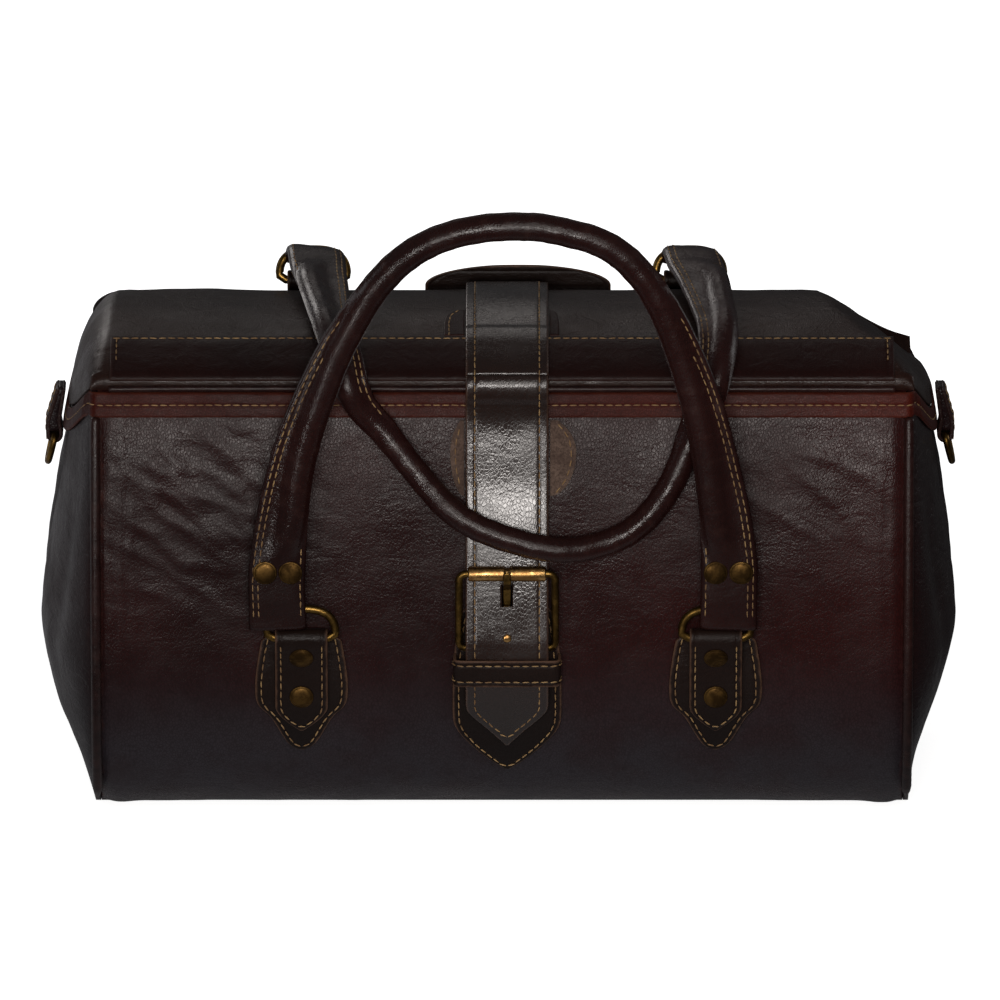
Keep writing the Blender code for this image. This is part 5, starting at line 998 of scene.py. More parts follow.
def make_buckle_leather(leather):
    """The folded strap that holds the buckle, and the loop that keeps the strap's end down."""
    bar = buckle_bar()[1:]
    radius = LOOP_REACH - BUCKLE_CHAPE / 2
    low = BAR_LIFT - radius
    back = [front(h, low) for h in np.linspace(BUCKLE_CHAPE_END_HEIGHT, BUCKLE_BAR_HEIGHT, 5)[:-1]]
    ahead = [front(BUCKLE_CHAPE_END_HEIGHT + BUCKLE_CHAPE * 2, BAR_LIFT + radius - BUCKLE_CHAPE * 1.3)]
    path = softened(resampled([*back, *half_turn(bar, BACKWARD, UPWARD, radius), *ahead], 0.0006), 3)
    slot = TONGUE_HALF_WIDTH + GAP * 4
    half = BUCKLE_CHAPE_WIDTH / 2
    for k, (a, b) in enumerate(((-half, -slot), (slot, half))):
        edges = np.tile([STRAP_MIDDLE + a, STRAP_MIDDLE + b], (len(path), 1))
        strip = Ribbon(path, edges, BUCKLE_CHAPE, step=0.0008)
        piece = strip.piece(f"buckle_fold_{k + 1}", leather, "bag", round_off=0.0005)
        settle(piece, "leather", "buckle_chape")
    half = KEEPER_WIDTH / 2 - KEEPER_THICKNESS / 2
    heights = (KEEPER_TOP, KEEPER_TOP - KEEPER_HEIGHT)
    s0, s1 = (BODY.length_at_height(h) for h in heights)
    top = strap_lift((s0 + s1) / 2) + STRAP_THICKNESS + GAP * 2 + KEEPER_THICKNESS / 2
    foot, bend = PATCH_THICKNESS + GAP, KEEPER_THICKNESS
    right = [(half, foot), (half, top - bend * 1.6), (half - bend * 0.4, top - bend * 0.45),
             (half - bend * 1.6, top), (half * 0.4, top + bend * 0.2)]
    left = [(-x, out) for x, out in right]
    path = softened(resampled(left + right[::-1], FOLD_STEP), 2)

    def world(across, p):
        base, out = BODY.place(across), BODY.outward(across)
        lean = (strap_lift(across) - strap_lift((s0 + s1) / 2)) * (p[..., 1] > foot + bend)
        yz = base + out * (p[..., 1] + lean)[..., None]
        return np.stack([STRAP_MIDDLE + p[..., 0], yz[..., 0], yz[..., 1]], -1)

    edges = np.tile([s0, s1], (len(path), 1))
    loop = Ribbon(path, edges, KEEPER_THICKNESS, world, step=0.0009).facing(UPWARD)
    settle(loop.piece("strap_loop", leather, "bag", KEEPER_SEAM, round_off=0.0007), "leather", "keeper_loop")
    for side in (-1, 1):
        sew("bag", loop.line(side, KEEPER_SEAM, first=0.004, last=0.004))


# The handles, their rings and the tabs
def lathe(profile, centre, outward, segments):
    """Points and faces of a shape turned about an axis across X, from (radius, height) pairs."""
    out = unit(np.array(outward, float))
    side = unit(np.cross(out, (1.0, 0, 0)))
    other = np.cross(out, side)
    angles = 2 * math.pi * np.arange(segments) / segments
    ring = np.cos(angles)[:, None] * side + np.sin(angles)[:, None] * other
    points = np.array(centre) + profile[:, None, :1] * ring[None] + profile[:, None, 1:] * out
    points = points.reshape(-1, 3)
    faces = [*grid_faces(len(profile), segments, True)]
    faces += [tuple(range(segments))[::-1], tuple((len(profile) - 1) * segments + k for k in range(segments))]
    return points, faces


# The ways in which the handles stand: up along the front one, out from its face, and up from the rear rings
FRONT_UP = np.array([0, math.sin(HANDLE_LEAN), math.cos(HANDLE_LEAN)])
FRONT_OUT = np.array([0, -math.cos(HANDLE_LEAN), math.sin(HANDLE_LEAN)])
REAR_UP = unit(np.array([0, 0.35, 1]))
REAR_RING_AT = -LID_LENGTH * 0.93


def ring_path(centre, across, way, half, low, high, squareness, swell, samples):
    """A ring's wire: straight along its bar, then round this way, between a low and a high reach."""
    straight, round_part = samples
    path = [centre + across * (half * q) for q in np.linspace(-0.8, 0.8, straight)]
    for a in np.linspace(0, math.pi, round_part):
        reach = half * math.copysign(abs(math.cos(a)) ** squareness, math.cos(a))
        path.append(centre + across * reach + way * (low + high * math.sin(a) ** swell))
    return path


def make_ring(name, node, path, radius, sides, brass, body):
    """A closed piece of brass wire."""
    ring = round_tube(name, path, radius, sides, brass, body, True, np.full(len(path), 0.5))
    settle(ring, "brass", node)


def rear_bar():
    """The middle of the rear rings' straight part, in the plane of Y and Z."""
    return LID.at(REAR_RING_AT, CHAPE_LEATHER + GAP * 3 + RING_WIRE_RADIUS)


def make_rings(brass):
    """The four rings that hold the handles."""
    half, high = RING_WIDTH / 2 - RING_WIRE_RADIUS, RING_DEPTH - RING_WIRE_RADIUS * 2
    for kind, rings, centre, way in (("front", FRONT_RINGS, ring_bar(), FRONT_UP),
                                     ("rear", REAR_RINGS, rear_bar(), REAR_UP)):
        for side, x in rings.items():
            place = np.array([x, *centre])
            path = ring_path(place, ACROSS, way, half, high * 0.14, high * 0.86, 0.75, 0.8, (14, 37))
            make_ring(f"{kind}_d_ring_{side}", f"{kind}_ring_{side}", path, RING_WIRE_RADIUS, 14, brass,
                      f"{kind}_handle")


# A handle's centre line: shares of its half span and of its rise above the rings, from left to right
HANDLE_SHARES = [
    (-1.0, 0.025), (-1.003, 0.085), (-1.004, 0.16), (-0.985, 0.27), (-0.951, 0.387), (-0.902, 0.49),
    (-0.839, 0.583), (-0.755, 0.688), (-0.659, 0.779), (-0.562, 0.856), (-0.457, 0.916), (-0.345, 0.957),
    (-0.225, 0.983), (-0.095, 0.998), (0.036, 1.003), (0.172, 1.0), (0.305, 0.985), (0.425, 0.965),
    (0.534, 0.928), (0.630, 0.872), (0.712, 0.802), (0.782, 0.72), (0.846, 0.629), (0.903, 0.525),
    (0.950, 0.41), (0.985, 0.30), (1.003, 0.19), (1.003, 0.10), (1.0, 0.025),
]
HANDLE_EDGE_SHARES = [(0, 1), (0.12, 1), (0.31, 0.62), (0.49, 0.38), (0.60, 0.18), (0.70, 0)]
HANDLE_ROLL_SHARES = [(0, 0), (0.125, 0), (0.15, 0.35), (0.185, 0.8), (0.23, 1)]
EDGE_SAMPLES = 15
ROLL_SAMPLES = 0.55
FLANGE_HALF_THICKNESS = 0.0023
HANDLE_SEAM_START = 0.0075


def handle_profile(share, radius):
    """Half of a handle's section as (across, half thickness), from its inner side to its outer one.

    A handle is flat and folded at its ends, then a roll with a sewn flange on its outer side that narrows
    towards the middle."""
    edge = float(read_off(HANDLE_EDGE_SHARES, share))
    rolled = float(read_off(HANDLE_ROLL_SHARES, share))
    wide = radius + (HANDLE_STRAP_HALF_WIDTH - radius) * edge
    c = -np.cos(np.linspace(0, math.pi, EDGE_SAMPLES))
    flat_x, flat_y = wide * c, HANDLE_STRAP_HALF_THICKNESS * np.clip(1 - np.abs(c) ** 5, 0, 1) ** 0.5
    split, middle = -wide + radius * 2, -wide + radius
    on_roll = middle + radius * np.clip(c / ROLL_SAMPLES, -1, 1)
    on_flange = split + (wide - split) * (c - ROLL_SAMPLES) / (1 - ROLL_SAMPLES)
    x = np.where(c < ROLL_SAMPLES, on_roll, on_flange)
    roll = radius * np.sqrt(np.clip(1 - ((x - middle) / radius) ** 2, 0, 1))
    flange = FLANGE_HALF_THICKNESS * quarter_round((wide - x) / 0.0012) * (edge > 0.02)
    roll = np.where(x > middle, np.maximum(roll, flange), roll)
    return (1 - rolled) * flat_x + rolled * x, (1 - rolled) * flat_y + rolled * roll, wide, rolled, edge


def make_handle(name, path, out, radius, leather, body, seed):
    """A rolled handle: its leather wound over a core, sewn along the flange, creased where it bends."""
    path = resampled(path, HANDLE_STEP)
    along = unit(np.gradient(path, axis=0))
    out = out(path)
    out = unit(out - along * (out * along).sum(1, keepdims=True))
    outer_side = -np.cross(along, out)
    run = run_along(path)
    from_end = np.minimum(run, run[-1] - run)
    share = from_end / (run[-1] / 2)
    thin = 0.66 + 0.34 * eased((from_end - 0.004) / 0.012)
    wrinkle = rough_field(path, 0.012, seed)
    sections, wears = [], []
    outer_rows = {inset: [] for inset in HANDLE_OUTER_SEAMS}
    inner_row = []
    for i, p in enumerate(path):
        x, y, wide, rolled, edge = handle_profile(share[i], radius)
        y = y * thin[i]
        across = np.concatenate([x, x[-2:0:-1]])
        thick = np.concatenate([y, -y[-2:0:-1]])
        angle = np.arctan2(thick, across + wide - radius)
        twist = np.sin(run[i] / 0.0125 * 2 * math.pi + angle * 1.0 + 2.5 * wrinkle[i])
        crease = rolled * (0.10 + 0.90 * (1 - edge) ** 2) * (np.maximum(twist, 0.2) - 0.6) * 0.00026
        grow = 1 + crease / radius
        centre = -(wide - radius) * rolled
        sideways = outer_side[i] * (centre + (across - centre) * grow)[:, None]
        sections.append(p + sideways + out[i] * (thick * grow)[:, None])
        wears.append(np.clip(0.30 + 0.18 * np.maximum(twist, 0) * rolled, 0, 1))
        if from_end[i] <= HANDLE_SEAM_START:
            continue
        for inset, row in outer_rows.items():
            place = wide - inset
            if (edge > 0.14 and place > -wide + radius * 2 - 0.0012) or rolled < 0.3:
                row.append((i, place, float(np.interp(place, x, y))))
        if share[i] < 0.16:
            place = HANDLE_INNER_SEAM - wide
            inner_row.append((i, place, float(np.interp(place, x, y))))
    settle(tube(name, sections, leather, body, wear=np.array(wears)), "leather", body)
    for row, least in [(row, 7) for row in outer_rows.values()] + [(inner_row, 5)]:
        for half in ([m for m in row if m[0] < len(path) // 2], [m for m in row if m[0] >= len(path) // 2]):
            for face in (1, -1):
                if len(half) >= least:
                    sew(body, np.array([path[i] + outer_side[i] * a + out[i] * face * h for i, a, h in half]))


def make_front_handle(leather, rivets):
    """The handle that stands up in front, and the seats of its rivets."""
    bar = ring_bar()
    line = smooth_curve([(HANDLE_HALF_SPAN * a, HANDLE_RISE * b) for a, b in HANDLE_SHARES], 6)
    middle = np.array([HANDLE_MIDDLE, bar[0] - HANDLE_FORWARD, bar[1]])
    path = middle + ACROSS * line[:, :1] + FRONT_UP * line[:, 1:]
    outward = lambda p: np.tile(FRONT_OUT, (len(p), 1))
    make_handle("rolled_handle_front", path, outward, HANDLE_RADIUS, leather, "front_handle", 21)
    face = middle + FRONT_UP * HANDLE_RIVET_RISE + FRONT_OUT * (HANDLE_STRAP_HALF_THICKNESS + GAP)
    for label, leg in SIDES:
        for k, place in ((1, -1), (2, 1)):
            spot = face + ACROSS * (leg * HANDLE_HALF_SPAN + place * HANDLE_RIVET_SPREAD)
            rivets.append((f"front_handle_rivet_{label}_{k}", spot, FRONT_OUT))


# How the rear handle lies, as (share of its half span, place): over the lid at the left, in front of the
# mouth, and over the lid at the right. Over the lid the place is a share of the lid's length, in front one of
# the mouth's height.
LAY_LEFT_SHARES = [(-0.834, -0.86), (-0.825, -0.76), (-0.812, -0.64), (-0.789, -0.50), (-0.767, -0.34),
                   (-0.740, -0.19), (-0.695, -0.07)]
LAY_FRONT_SHARES = [(-0.601, 0.965), (-0.493, 0.895), (-0.359, 0.816), (-0.193, 0.737), (0.036, 0.6895),
                    (0.314, 0.666), (0.574, 0.702), (0.749, 0.800), (0.843, 0.912), (0.890, 0.976)]
LAY_RIGHT_SHARES = [(0.949, -0.07), (0.960, -0.19), (0.946, -0.34), (0.919, -0.50), (0.892, -0.64),
                    (0.865, -0.76), (0.848, -0.86)]
# How far it springs up near its rings, both as shares of the lid's length
REAR_RISE_SHARES = [(-0.93, 0.092), (-0.86, 0.085), (-0.76, 0.050), (-0.64, 0.020), (-0.50, 0.0)]


def proud(x, s):
    """How far the sewn-on pieces stand out from the bag's outline at this place."""
    if -LID_LENGTH < s < -LID_BAND_DEPTH * 1.15:
        out = 0.0
    elif s < -LID_PIPING_RADIUS * 5:
        out = LID_BAND + GAP
    elif s < LID_PIPING_RADIUS:
        out = LID_PIPING_RADIUS * 2 + GAP
    elif s < RIM_BAND_HEIGHT + GAP * 7:
        out = RIM_BAND * 0.85
    else:
        out = 0.0
    x -= STRAP_MIDDLE
    if abs(x) < STRAP_WIDTH / 2 + GUARD_WIDTH[1] + GAP * 4:
        out += EAR_THICKNESS + GAP
    if abs(x) < STRAP_WIDTH / 2 + HANDLE_RADIUS and s > 0:
        out = float(strap_lift(s)) + STRAP_THICKNESS
    return out


def rear_handle_path():
    """The handle lies forward over the lid and hangs in front of the mouth."""
    reach = RING_DEPTH - RING_WIRE_RADIUS * 2
    span = HANDLE_HALF_SPAN
    lays = [(x * span, q * LID_LENGTH) for x, q in LAY_LEFT_SHARES]
    lays += [(x * span, BODY.length_at_height(MOUTH_HEIGHT * h)) for x, h in LAY_FRONT_SHARES]
    lays += [(x * span, q * LID_LENGTH) for x, q in LAY_RIGHT_SHARES]
    x, s = smooth_curve(lays, 3).T
    run = run_along(np.column_stack([x, s]))
    whole = run[-1] + 2 * RING_DEPTH
    shares = np.minimum(run + RING_DEPTH, whole - run - RING_DEPTH) / (whole / 2)
    bare = np.array([proud(*spot) for spot in zip(x, s)])
    wide = np.where((s > RIM_BAND_HEIGHT * 2) & (x < span * 0.7), 2.2, 0.7)
    near = [np.abs(run - r) < HANDLE_RADIUS * k for r, k in zip(run, wide)]
    top = np.array([bare[close].max() for close in near])
    soft = np.array([top[close].mean() for close in near])
    rolled = read_off(HANDLE_ROLL_SHARES, shares)
    half = HANDLE_STRAP_HALF_THICKNESS + (REAR_HANDLE_RADIUS - HANDLE_STRAP_HALF_THICKNESS) * rolled
    spring = read_off(REAR_RISE_SHARES, s / LID_LENGTH) * LID_LENGTH
    yz = DRAPE.at(s, np.maximum(soft, bare) + half + GAP * 3)
    points = np.column_stack([x, yz[:, 0], yz[:, 1] + spring])
    ends = []
    for place in REAR_RINGS.values():
        foot = np.array([place, *rear_bar()])
        bent = foot + REAR_UP * (reach * 0.9) - DEEP * (HANDLE_RADIUS * 0.1)
        ends.append([foot + REAR_UP * (reach * 0.5 + 0.0012), bent])
    return softened(resampled([*ends[0], *points, *ends[1][::-1]], HANDLE_STEP), 6)


def rear_outward(path):
    """The bag's outward direction along the rear handle; straight back where its ends stand upright."""
    near = [np.argmin(np.linalg.norm(DRAPE.points - p[1:], axis=1)) for p in path]
    out = np.column_stack([np.zeros(len(path)), DRAPE.outward(DRAPE.lengths[near])])
    run = run_along(path)
    near_end = np.minimum(run, run[-1] - run)[:, None]
    upright = 1 - eased((near_end - RING_DEPTH * 0.45) / (RING_DEPTH * 0.9))
    return unit(softened(out * (1 - upright) + DEEP * upright, 12))


def make_rear_leather(leather):
    """The tabs that hold the rear rings, and the arched tab behind the strap."""
    bar, radius = rear_bar(), RING_WIRE_RADIUS + GAP * 1.5 + CHAPE_LEATHER / 2
    lift = GAP + CHAPE_LEATHER / 2
    across = LID.outward(REAR_RING_AT)
    along = np.array([-across[1], across[0]])
    along = -along if along[1] < 0 else along
    starts = (-LID_LENGTH + HINGE_ROLL_RADIUS, REAR_RING_AT - REAR_CHAPE_LENGTH * 0.15)
    path = [LID.at(s, lift) for s in starts]
    path += half_turn(bar, -across, along, radius)
    path.append(bar + across * radius - along * (REAR_CHAPE_LENGTH * 0.14))
    path = softened(resampled(path, FOLD_STEP), 3)
    for side, x in REAR_RINGS.items():
        edges = np.tile([x - CHAPE_HALF_WIDTH, x + CHAPE_HALF_WIDTH], (len(path), 1))
        strip = Ribbon(path, edges, CHAPE_LEATHER, step=0.0009).facing(across, 1)
        piece = strip.piece(f"rear_ring_chape_{side}", leather, "lid", CHAPE_SEAM, round_off=0.0010)
        settle(piece, "leather", f"rear_chape_{side}")
    y, z = LID.at(-LID_LENGTH * 0.955, GAP)
    height = HINGE_HEIGHT + REAR_TAB_TOP - z
    share = np.linspace(0, 1, 60)
    arch = np.sqrt(np.clip(1 - ((share - 0.25) / 0.75) ** 2, 0.0006, 1))
    half = REAR_TAB_WIDTH / 2 * np.where(share < 0.25, 1, arch)
    path = np.column_stack([np.full(60, y + REAR_TAB_LEATHER / 2), z + height * share])
    edges = np.column_stack([REAR_TAB_MIDDLE - half, REAR_TAB_MIDDLE + half])
    strip = Ribbon(path, edges, REAR_TAB_LEATHER, step=0.0009).facing(FORWARD, 1)
    settle(strip.piece("arched_tab", leather, "lid", REAR_TAB_SEAM, round_off=0.0010), "leather", "rear_tab")


def end_reach(height, side):
    """How far out the end panel's face lies at this height, in the middle of the bag's depth."""
    return PANEL_LENGTH / 2 + GAP + LEATHER + float(gusset_reach(0, height, side))


def side_ring_bar(side):
    """The middle of a side ring's straight part, in the plane of X and Z."""
    out = end_reach(SIDE_RING_HEIGHT, side) + GAP * 2 + SIDE_CHAPE_LEATHER + SIDE_RING_WIRE
    return np.array([side * out, SIDE_RING_HEIGHT])


def across_at(levels, path):
    """Where a path that only rises or only falls passes these levels."""
    rising = path if path[-1, 1] > path[0, 1] else path[::-1]
    return np.interp(levels, rising[:, 1], rising[:, 0])


def squared(share):
    """A sine or cosine pushed out towards 1, which makes a round section squarer."""
    return np.sign(share) * np.abs(share) ** 0.35


def make_side_fittings(leather, brass):
    """The folded tab and the hanging ring at each end of the mouth."""
    for name, side in SIDES:
        t, bar = SIDE_CHAPE_LEATHER, side_ring_bar(side)
        radius = SIDE_RING_WIRE + GAP * 1.5 + t / 2
        top = SIDE_RING_HEIGHT + SIDE_CHAPE_LENGTH - radius
        clear = RIM_BAND + GAP * 4 + t / 2
        edge = float(mouth_height(0))
        band_low = edge - RIM_BAND_HEIGHT - GAP * 4.7
        band, low_band = end_reach(edge, side) + clear, end_reach(band_low, side) + clear
        shoulder = bar[1] + radius * 0.4
        path = [(side * band, top), (side * low_band, band_low), (bar[0] - side * radius, shoulder)]
        path += half_turn(bar, (-side, 0), (0, -1), radius)
        path.append((bar[0] + side * radius, shoulder))
        outer = max(abs(bar[0]) + radius, low_band + t + GAP * 2)
        path += [(side * outer, band_low), (side * (band + t + GAP * 2), top)]
        path = softened(resampled(path, FOLD_STEP), 3)
        half = SIDE_CHAPE_WIDTH / 2
        world = lambda across, p: np.stack([p[..., 0], across, p[..., 1]], -1)
        edges = np.tile([-half, half], (len(path), 1))
        strip = Ribbon(path, edges, t, world, step=0.0009).facing((side, 0), 1)
        piece = strip.piece(f"end_tab_{name}", leather, "bag", SIDE_CHAPE_SEAM, round_off=0.0009)
        settle(piece, "leather", f"side_chape_{name}")
        last = strip.run[-1]
        for edge_side in (-1, 1):
            sew("bag", strip.line(edge_side, SIDE_CHAPE_SEAM, first=last * 0.55, last=0.002))
        levels = np.linspace(bar[1] + radius * 0.75, top - 0.0001, 14)
        near = across_at(levels, strip.path[strip.run < last * 0.40])
        far = across_at(levels, strip.path[strip.run > last * 0.60])
        turn = np.linspace(0, 2 * math.pi, 24, endpoint=False)
        y, x = (half - 0.0002) * squared(np.cos(turn)), squared(np.sin(turn))
        sections = [np.column_stack([(a + b) / 2 + x * abs(b - a) / 2, y, np.full(24, z)])
                    for a, b, z in zip(near, far, levels)]
        settle(tube(f"end_tab_core_{name}", sections, leather, "bag"), "leather")
        r = SIDE_RING_RADIUS
        down = np.array([side * math.sin(SIDE_RING_TILT), 0, -math.cos(SIDE_RING_TILT)])
        centre = np.array([bar[0], 0, bar[1]])
        path = ring_path(centre, DEEP, down, r - SIDE_RING_WIRE * 0.5, r * 0.15, r * 1.35, 1, 0.9, (12, 33))
        ring = f"side_ring_{name}"
        make_ring(f"end_ring_{name}", ring, path, SIDE_RING_WIRE, 12, brass, ring)


# The stud's turned head, as shares of its radius, and the slot in the strap
STUD_PROFILE = np.array([(0.3, -0.5), (0.3, 0.05), (0.98, 0.05), (1, 0.15), (0.96, 0.28), (0.82, 0.42),
                         (0.62, 0.52), (0.38, 0.59), (0.10, 0.62)])
STUD_RADIUS = 0.0022
TONGUE_SLOT_LENGTH = 0.0105
TONGUE_SLOT_WIDTH = 0.0052


def plain_copy(thing, name):
    """The thing as its modifiers leave it, as an object of its own."""
    graph = bpy.context.evaluated_depsgraph_get()
    mesh = bpy.data.meshes.new_from_object(thing.evaluated_get(graph))
    body = thing["body"]
    bpy.data.objects.remove(thing)
    out = bpy.data.objects.new(name, mesh)
    bpy.context.scene.collection.objects.link(out)
    out["body"] = body
    return out


def cut_away(thing, corners):
    """The thing with a block taken out of it."""
    box = [(0, 1, 3, 2), (4, 6, 7, 5), (0, 4, 5, 1), (2, 3, 7, 6), (0, 2, 6, 4), (1, 5, 7, 3)]
    cutter = new_piece("cutter", corners, box, thing.data.materials[0], thing["body"])
    step = thing.modifiers.new("cut", "BOOLEAN")
    step.object = cutter
    step.operation = "DIFFERENCE"
    step.solver = "EXACT"
    out = plain_copy(thing, thing.name)
    bpy.data.objects.remove(cutter)
    return out


def bend_strap(thing):
    """Bakes the strap's place into its own mesh."""
    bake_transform(thing)


def finish_strap_front(piece, brass):
    """The tongue's slot in the strap, and the stud near the strap's end."""
    middle = BODY.length_at_height(buckle_level(0.68))
    lift = float(strap_lift(middle))
    corners = []
    for along in (middle - TONGUE_SLOT_LENGTH / 2, middle + TONGUE_SLOT_LENGTH / 2):
        for high in (lift - STRAP_THICKNESS * 2, lift + STRAP_THICKNESS * 3):
            for x in (-TONGUE_SLOT_WIDTH / 2, TONGUE_SLOT_WIDTH / 2):
                corners.append((STRAP_MIDDLE + x, *DRAPE.at(along, high)))
    piece = cut_away(piece, corners)
    bend_strap(piece)
    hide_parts("strap_tail")
    at = BODY.length_at_height(STUD_HEIGHT)
    face = DRAPE.at(at, float(strap_lift(at)) + STRAP_THICKNESS)
    points, faces = lathe(STUD_PROFILE * STUD_RADIUS, (STRAP_MIDDLE, *face), (0, *DRAPE.outward(at)), 28)
    stud = new_piece("strap_stud_head", points, faces, brass, "strap", np.full(len(points), 0.5))
    settle(stud, "brass", "strap_stud")


def buckle_plane():
    """The buckle's bar, its way up and out, and how high its top lies over the bar."""
    bar, top = buckle_bar(), buckle_top()
    up = unit(top - bar)
    return bar, up, np.cross(ACROSS, up), float(np.linalg.norm(top - bar))


def make_buckle_frame(brass):
    """A rounded frame of bent wire."""
    bar, up, _, height = buckle_plane()
    half, corner = BUCKLE_HALF_WIDTH, BUCKLE_CORNER
    path = []
    for cx, cy, start in ((half, height, 0), (-half, height, 90), (-half, 0, 180), (half, 0, 270)):
        inner_x = cx - math.copysign(corner, cx)
        inner_y = cy - (corner if cy else -corner)
        for a in np.radians(np.linspace(start, start + 90, 9)):
            x, y = inner_x + corner * math.cos(a), inner_y + corner * math.sin(a)
            path.append(bar + ACROSS * x + up * y)
    path = resampled(path + path[:1], 0.0012)[:-1]
    make_ring("buckle_loop", "buckle_frame", path, BUCKLE_WIRE_RADIUS, 16, brass, "buckle")


def make_roller(rubbed):
    """The sleeve on the frame's upper bar, in two parts with a groove between them."""
    bar, up, out, height = buckle_plane()
    hole, r = BUCKLE_WIRE_RADIUS + GAP * 0.8, ROLLER_RADIUS * 0.95
    right = [(0.062, r * 0.80), (0.075, r * 0.97), (0.10, r), (0.965, r), (0.985, r * 0.96), (1, r * 0.86),
             (1, hole)]
    steps = [(-along, wide) for along, wide in right[::-1]] + right
    angles = 2 * math.pi * np.arange(32) / 32
    ring = np.cos(angles)[:, None] * out + np.sin(angles)[:, None] * up
    middle = bar + up * height
    sections = [middle + ACROSS * (ROLLER_LENGTH / 2 * along) + ring * wide for along, wide in steps]
    roller = tube("buckle_sleeve", sections, rubbed, "roller", True, np.full((len(steps), 32), 0.6))
    settle(roller, "brass", "buckle_roller")


def make_tongue(brass):
    """A flat pin, bent round the bar, through the strap and over the roller."""
    bar, up, out, height = buckle_plane()
    thick = TONGUE_THICKNESS
    loop, rise = BUCKLE_WIRE_RADIUS + GAP + thick / 2, ROLLER_RADIUS + GAP + thick / 2
    middle = [bar + out * (loop * math.cos(a)) + up * (loop * math.sin(a))
              for a in np.radians(np.linspace(-60, -330, 19))]
    behind, ahead = -GAP * 2 - thick / 2, STRAP_THICKNESS + GAP * 3 + thick / 2
    lifts = {0.20: behind, 0.34: behind, 0.50: behind, 0.64: (behind + ahead) / 2, 0.80: ahead}
    for share, lift in lifts.items():
        level = buckle_level(share)
        under = float(strap_lift(BODY.length_at_height(level)))
        middle.append(np.array([bar[0], *front(level, under + lift)]))
    middle += [bar + up * (height * a) + out * (rise * b) for a, b in ((0.93, 1.0), (1.0, 1.04))]
    middle.append(bar + up * (height + ROLLER_RADIUS * 0.75) + out * rise)
    path = softened(resampled(np.array(middle)[:, 1:], 0.0005), 3)
    half = TONGUE_HALF_WIDTH * np.interp(np.linspace(0, 1, len(path)), [0, 0.93, 0.985, 1], [1, 1, 0.75, 0.4])
    strip = Ribbon(path, np.column_stack([bar[0] - half, bar[0] + half]), thick, step=0.0005)
    settle(strip.piece("buckle_pin", brass, "tongue", round_off=0.0006), "brass", "buckle_tongue")


# The cloth's longest edges, the size of its waves, and the place in the bag that it hangs towards
CLOTH_EDGE = 0.012
CLOTH_WAVE = 0.030
CLOTH_INWARD = np.array([0, -0.01, 0.13])


def make_cloth(node, name, material, body, amount, seed):
    """A thin soft piece from its solid: merged, divided and let slack towards the inside of the bag."""
    shape = bmesh.new()
    shape.from_mesh(node.data)
    bmesh.ops.remove_doubles(shape, verts=shape.verts, dist=1e-6)
    for _ in range(5):
        long = [e for e in shape.edges if e.calc_length() > CLOTH_EDGE]
        if not long:
            break
        bmesh.ops.subdivide_edges(shape, edges=long, cuts=1, use_grid_fill=True)
    bmesh.ops.triangulate(shape, faces=[f for f in shape.faces if len(f.verts) > 4])
    points = np.array([v.co for v in shape.verts])
    slack = 0.5 + 0.5 * rough_field(points, CLOTH_WAVE, seed)
    inward = unit((CLOTH_INWARD - points) * np.array([0.6, 1, 0.4]))
    points = points + inward * (amount * slack)[:, None]
    faces = [[v.index for v in f.verts] for f in shape.faces]
    shape.free()
    settle(new_piece(name, points, faces, material, body), "lining", node.name)


